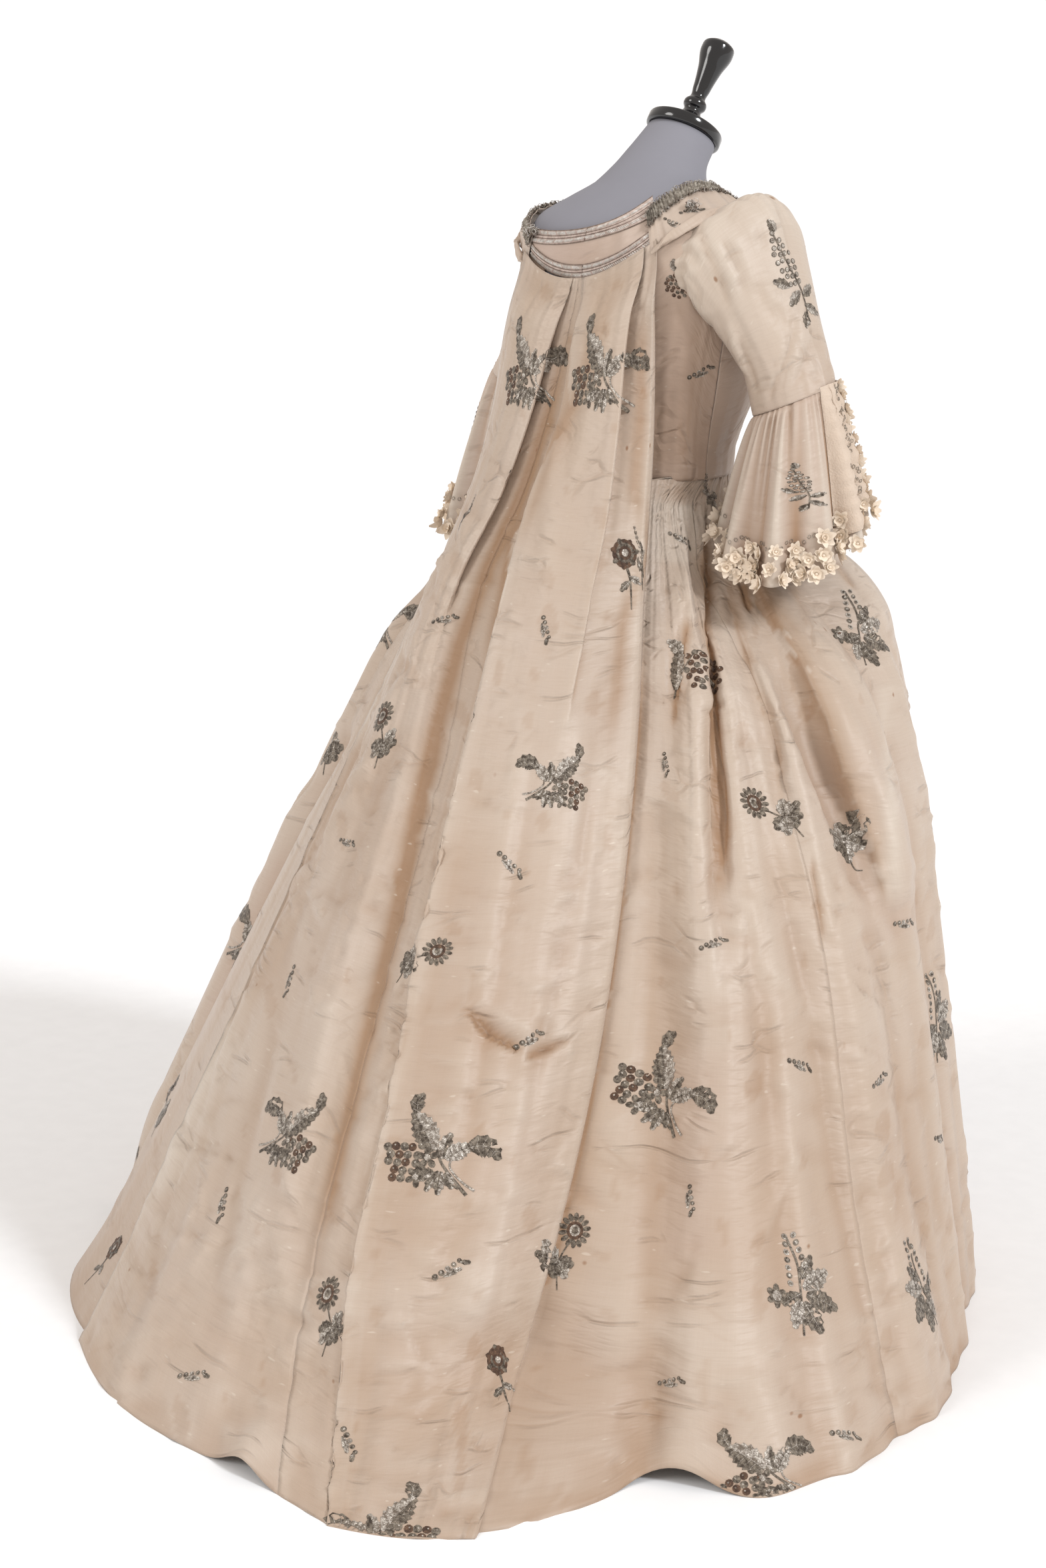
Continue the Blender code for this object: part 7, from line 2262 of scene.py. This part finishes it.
# Motifs are (design, turn, size or (width, height) size, mirrored, place).  A place of two numbers is a pixel
# of the picture, and one of three is metres.
BACK_MOTIFS = (
    ("bunch", 14, (0.62, 0.92), False, (790, 552)), ("bunch", 10, (0.66, 0.95), False, (899, 552)),
    ("bunch", -20, (0.60, 0.66), True, (837, 1164)), ("bunch", -8, (0.80, 0.80), True, (437, 1693)),
    ("bunch", 0, (0.86, 0.86), False, (646, 1722)), ("rose", 4, 0.95, False, (940, 858)),
    ("flower", -20, 0.75, True, (623, 1434)), ("flower", 0, 0.85, False, (497, 1975)),
    ("flower", 0, 0.85, False, (575, 1105)), ("rose", -10, 0.85, False, (750, 2069)),
    ("sprig", 60, 0.9, False, (664, 926)), ("sprig", -30, 0.9, False, (820, 940)),
    ("sprig", 40, 0.8, False, (520, 1260)), ("sprig", -10, 1.0, False, (766, 1291)),
    ("sprig", -40, 1.0, False, (435, 1469)), ("sprig", 60, 1.0, False, (793, 1557)),
    ("sprig", -30, 1.1, False, (335, 1804)), ("sprig", 60, 1.1, False, (670, 1904)),
    ("sprig", 60, 1.1, False, (288, 2055)), ("sprig", -20, 1.1, False, (525, 2163)),
    ("bunch", 10, 0.9, True, (578, 2294)), ("branch", 0, (0.12, 0.66), False, (963, 845)),
    ("berries", 62, (0.50, 0.56), True, (1020, 422)), ("sprig", 50, 0.8, False, (1035, 315)),
    ("sprig", 10, 0.7, False, (1009, 334)),
    ("branch", 0, (0.22, 0.40), True, (1065, 745)), ("branch", 0, (0.12, 0.42), False, (0.105, 0.215, 1.03)),
)
RIGHT_MOTIFS = (
    ("berries", -4, 0.92, False, (1034, 999)), ("bunch", -15, 0.84, False, (993, 1628)),
    ("bunch", 20, 0.80, False, (1140, 2204)), ("flower", 25, 0.85, False, (1164, 1217)),
    ("open", 0, 0.95, False, (1264, 1258)), ("flower", 10, 0.85, True, (837, 1881)),
    ("branch", 0, 1.0, False, (1199, 1934)), ("branch", 0, 0.95, True, (1381, 1934)),
    ("branch", 0, 0.9, False, (1291, 952)), ("branch", 0, 0.95, False, (1405, 1534)),
    ("sprig", 60, 0.9, False, (1066, 1413)), ("sprig", 10, 1.0, False, (1199, 1595)),
    ("sprig", 50, 0.9, False, (1316, 1616)), ("sprig", -30, 0.9, False, (1034, 1798)),
    ("sprig", 60, 0.9, False, (1005, 2069)), ("sprig", 20, 1.0, False, (1269, 2145)),
    ("sprig", -20, 0.8, False, (999, 1140)), ("sprig", 30, 0.9, False, (1354, 1381)),
    ("sprig", 20, 0.9, False, (1408, 1704)), ("sprig", 0, 0.9, False, (1020, 805)),
    ("sprig", 60, 0.9, False, (1048, 556)),
    ("sprig", 40, 1.0, False, on_skirt(RIGHT, 70.0, 0.62)),
    ("sprig", -30, 1.0, False, on_skirt(RIGHT, 72.0, 0.30)),
)
LEFT_MOTIFS = tuple((*look, on_skirt(LEFT, angle, height)) for *look, angle, height in (
    ("bunch", 15, 0.82, False, 118, 0.84), ("branch", 0, 0.9, True, 84, 0.86),
    ("flower", 20, 0.9, False, 128, 0.68), ("flower", -25, 0.9, True, 103, 0.62),
    ("bunch", -10, 0.85, True, 136, 0.40), ("branch", 5, 0.95, False, 92, 0.38),
    ("flower", 10, 0.85, False, 147, 0.20), ("branch", 0, 1.0, True, 122, 0.17),
    ("branch", -5, 0.95, False, 104, 0.13), ("bunch", 15, 0.8, False, 134, 0.03),
    ("bunch", 10, 0.8, True, 62, 0.60), ("flower", 0, 0.9, False, 66, 0.25),
    ("rose", 0, 0.85, False, 158, 0.035), ("sprig", 50, 0.9, False, 124, 0.54),
    ("sprig", 10, 0.9, True, 112, 0.42), ("sprig", -40, 1.0, False, 98, 0.50),
    ("sprig", 60, 0.9, False, 140, 0.28), ("sprig", 20, 0.9, True, 83, 0.24),
    ("sprig", -20, 0.9, False, 77, 0.70), ("sprig", 30, 0.9, False, 66, 0.42)))
FRONT_MOTIFS = tuple((*look, on_skirt(side, angle, height)) for *look, side, angle, height in (
    ("bunch", 10, 0.8, False, RIGHT, 44, 0.66), ("branch", 0, 0.9, False, RIGHT, 46, 0.22),
    ("sprig", 30, 0.9, False, RIGHT, 40, 0.45), ("flower", 15, 0.85, True, LEFT, 44, 0.80),
    ("branch", 0, 0.9, True, LEFT, 44, 0.36), ("sprig", -30, 0.9, False, LEFT, 40, 0.55),
    ("bunch", -10, 0.85, True, RIGHT, 2, 0.55), ("flower", 10, 0.9, False, RIGHT, 10, 0.30),
    ("flower", -10, 0.9, True, LEFT, 9, 0.75), ("branch", 0, 0.9, False, LEFT, 10, 0.14),
    ("sprig", 20, 0.9, False, RIGHT, 11, 0.88), ("sprig", -20, 0.9, False, LEFT, 4, 0.40)))
SLEEVE_MOTIFS = {
    RIGHT: (("tall", 6, (0.95, 1.00), False, (1185, 420)), ("tall", 0, (0.85, 0.42), False, (1195, 735)),
            ("sprig", -20, 0.8, False, (1093, 517)),
            ("branch", 0, (0.55, 0.70), True, (-0.300, -0.095, 1.100))),
    LEFT: (("bunch", -24, (0.55, 0.90), True, tuple(sleeve_ring(LEFT, 3.0)[8])),
           ("branch", 0, (0.55, 0.70), True,
            tuple(sleeve_ring(LEFT, 6.0)[12] + np.array([0.02, 0.0, -0.09]))))}


# ---------------------------------------------------------------- floor, lights and camera
FLOOR_REACH = 300
FLOOR_LEVEL = -0.0002


def sun(name, place, strength, angle, colour):
    """A sun that shines from a place towards the foot of the form."""
    lamp = bpy.data.lights.new(name, "SUN")
    lamp.energy = strength
    lamp.color = colour
    lamp.angle = angle
    made = bpy.data.objects.new(name, lamp)
    bpy.context.scene.collection.objects.link(made)
    made.location = place
    made.rotation_euler = (-Vector(place)).to_track_quat("-Z", "Y").to_euler()


def build_picture():
    """Floor, sky, suns and camera."""
    floor_mesh = bpy.data.meshes.new("floor")
    corners = [(x * FLOOR_REACH, y * FLOOR_REACH, FLOOR_LEVEL)
               for x, y in ((-1, -1), (1, -1), (1, 1), (-1, 1))]
    floor_mesh.from_pydata(corners, [], [(0, 1, 2, 3)])
    floor_material = plain_material("pale floor", (0.93, 0.945, 0.96, 1.0), 0.9, scale=40.0, depth=0.0,
                                    strength=0.0)
    link(floor_mesh, "floor", [floor_material])
    world = bpy.data.worlds.new("studio")
    bpy.context.scene.world = world
    world.use_nodes = True
    sky = world.node_tree.nodes["Background"].inputs
    sky["Color"].default_value = (0.98, 0.92, 0.875, 1.0)
    sky["Strength"].default_value = 0.76
    sun("key", (-7.5, -0.7, 5.4), strength=1.66, angle=0.18, colour=(0.96, 0.985, 1.02))
    sun("second", (2.4, 7.0, 5.0), strength=0.84, angle=0.40, colour=(1.0, 0.98, 0.96))
    camera = bpy.data.cameras.new("camera")
    camera.lens = LENS
    camera.sensor_width = SENSOR
    camera.sensor_fit = "AUTO"
    made = bpy.data.objects.new("camera", camera)
    bpy.context.scene.collection.objects.link(made)
    made.location = CAMERA_PLACE
    made.rotation_euler = Vector(FORWARD).to_track_quat("-Z", "Y").to_euler()
    bpy.context.scene.camera = made
    bpy.context.scene.view_settings.view_transform = "Standard"


# ---------------------------------------------------------------- all together
def main():
    build_form()
    build_sack()
    build_skirt()
    build_petticoat()
    build_bodice()
    build_neck()
    twists = build_robings()
    build_sleeves()
    braids = build_neck_laces()
    frills = build_robing_frills()
    fringes = build_fringes()
    build_motifs()
    build_picture()


main()
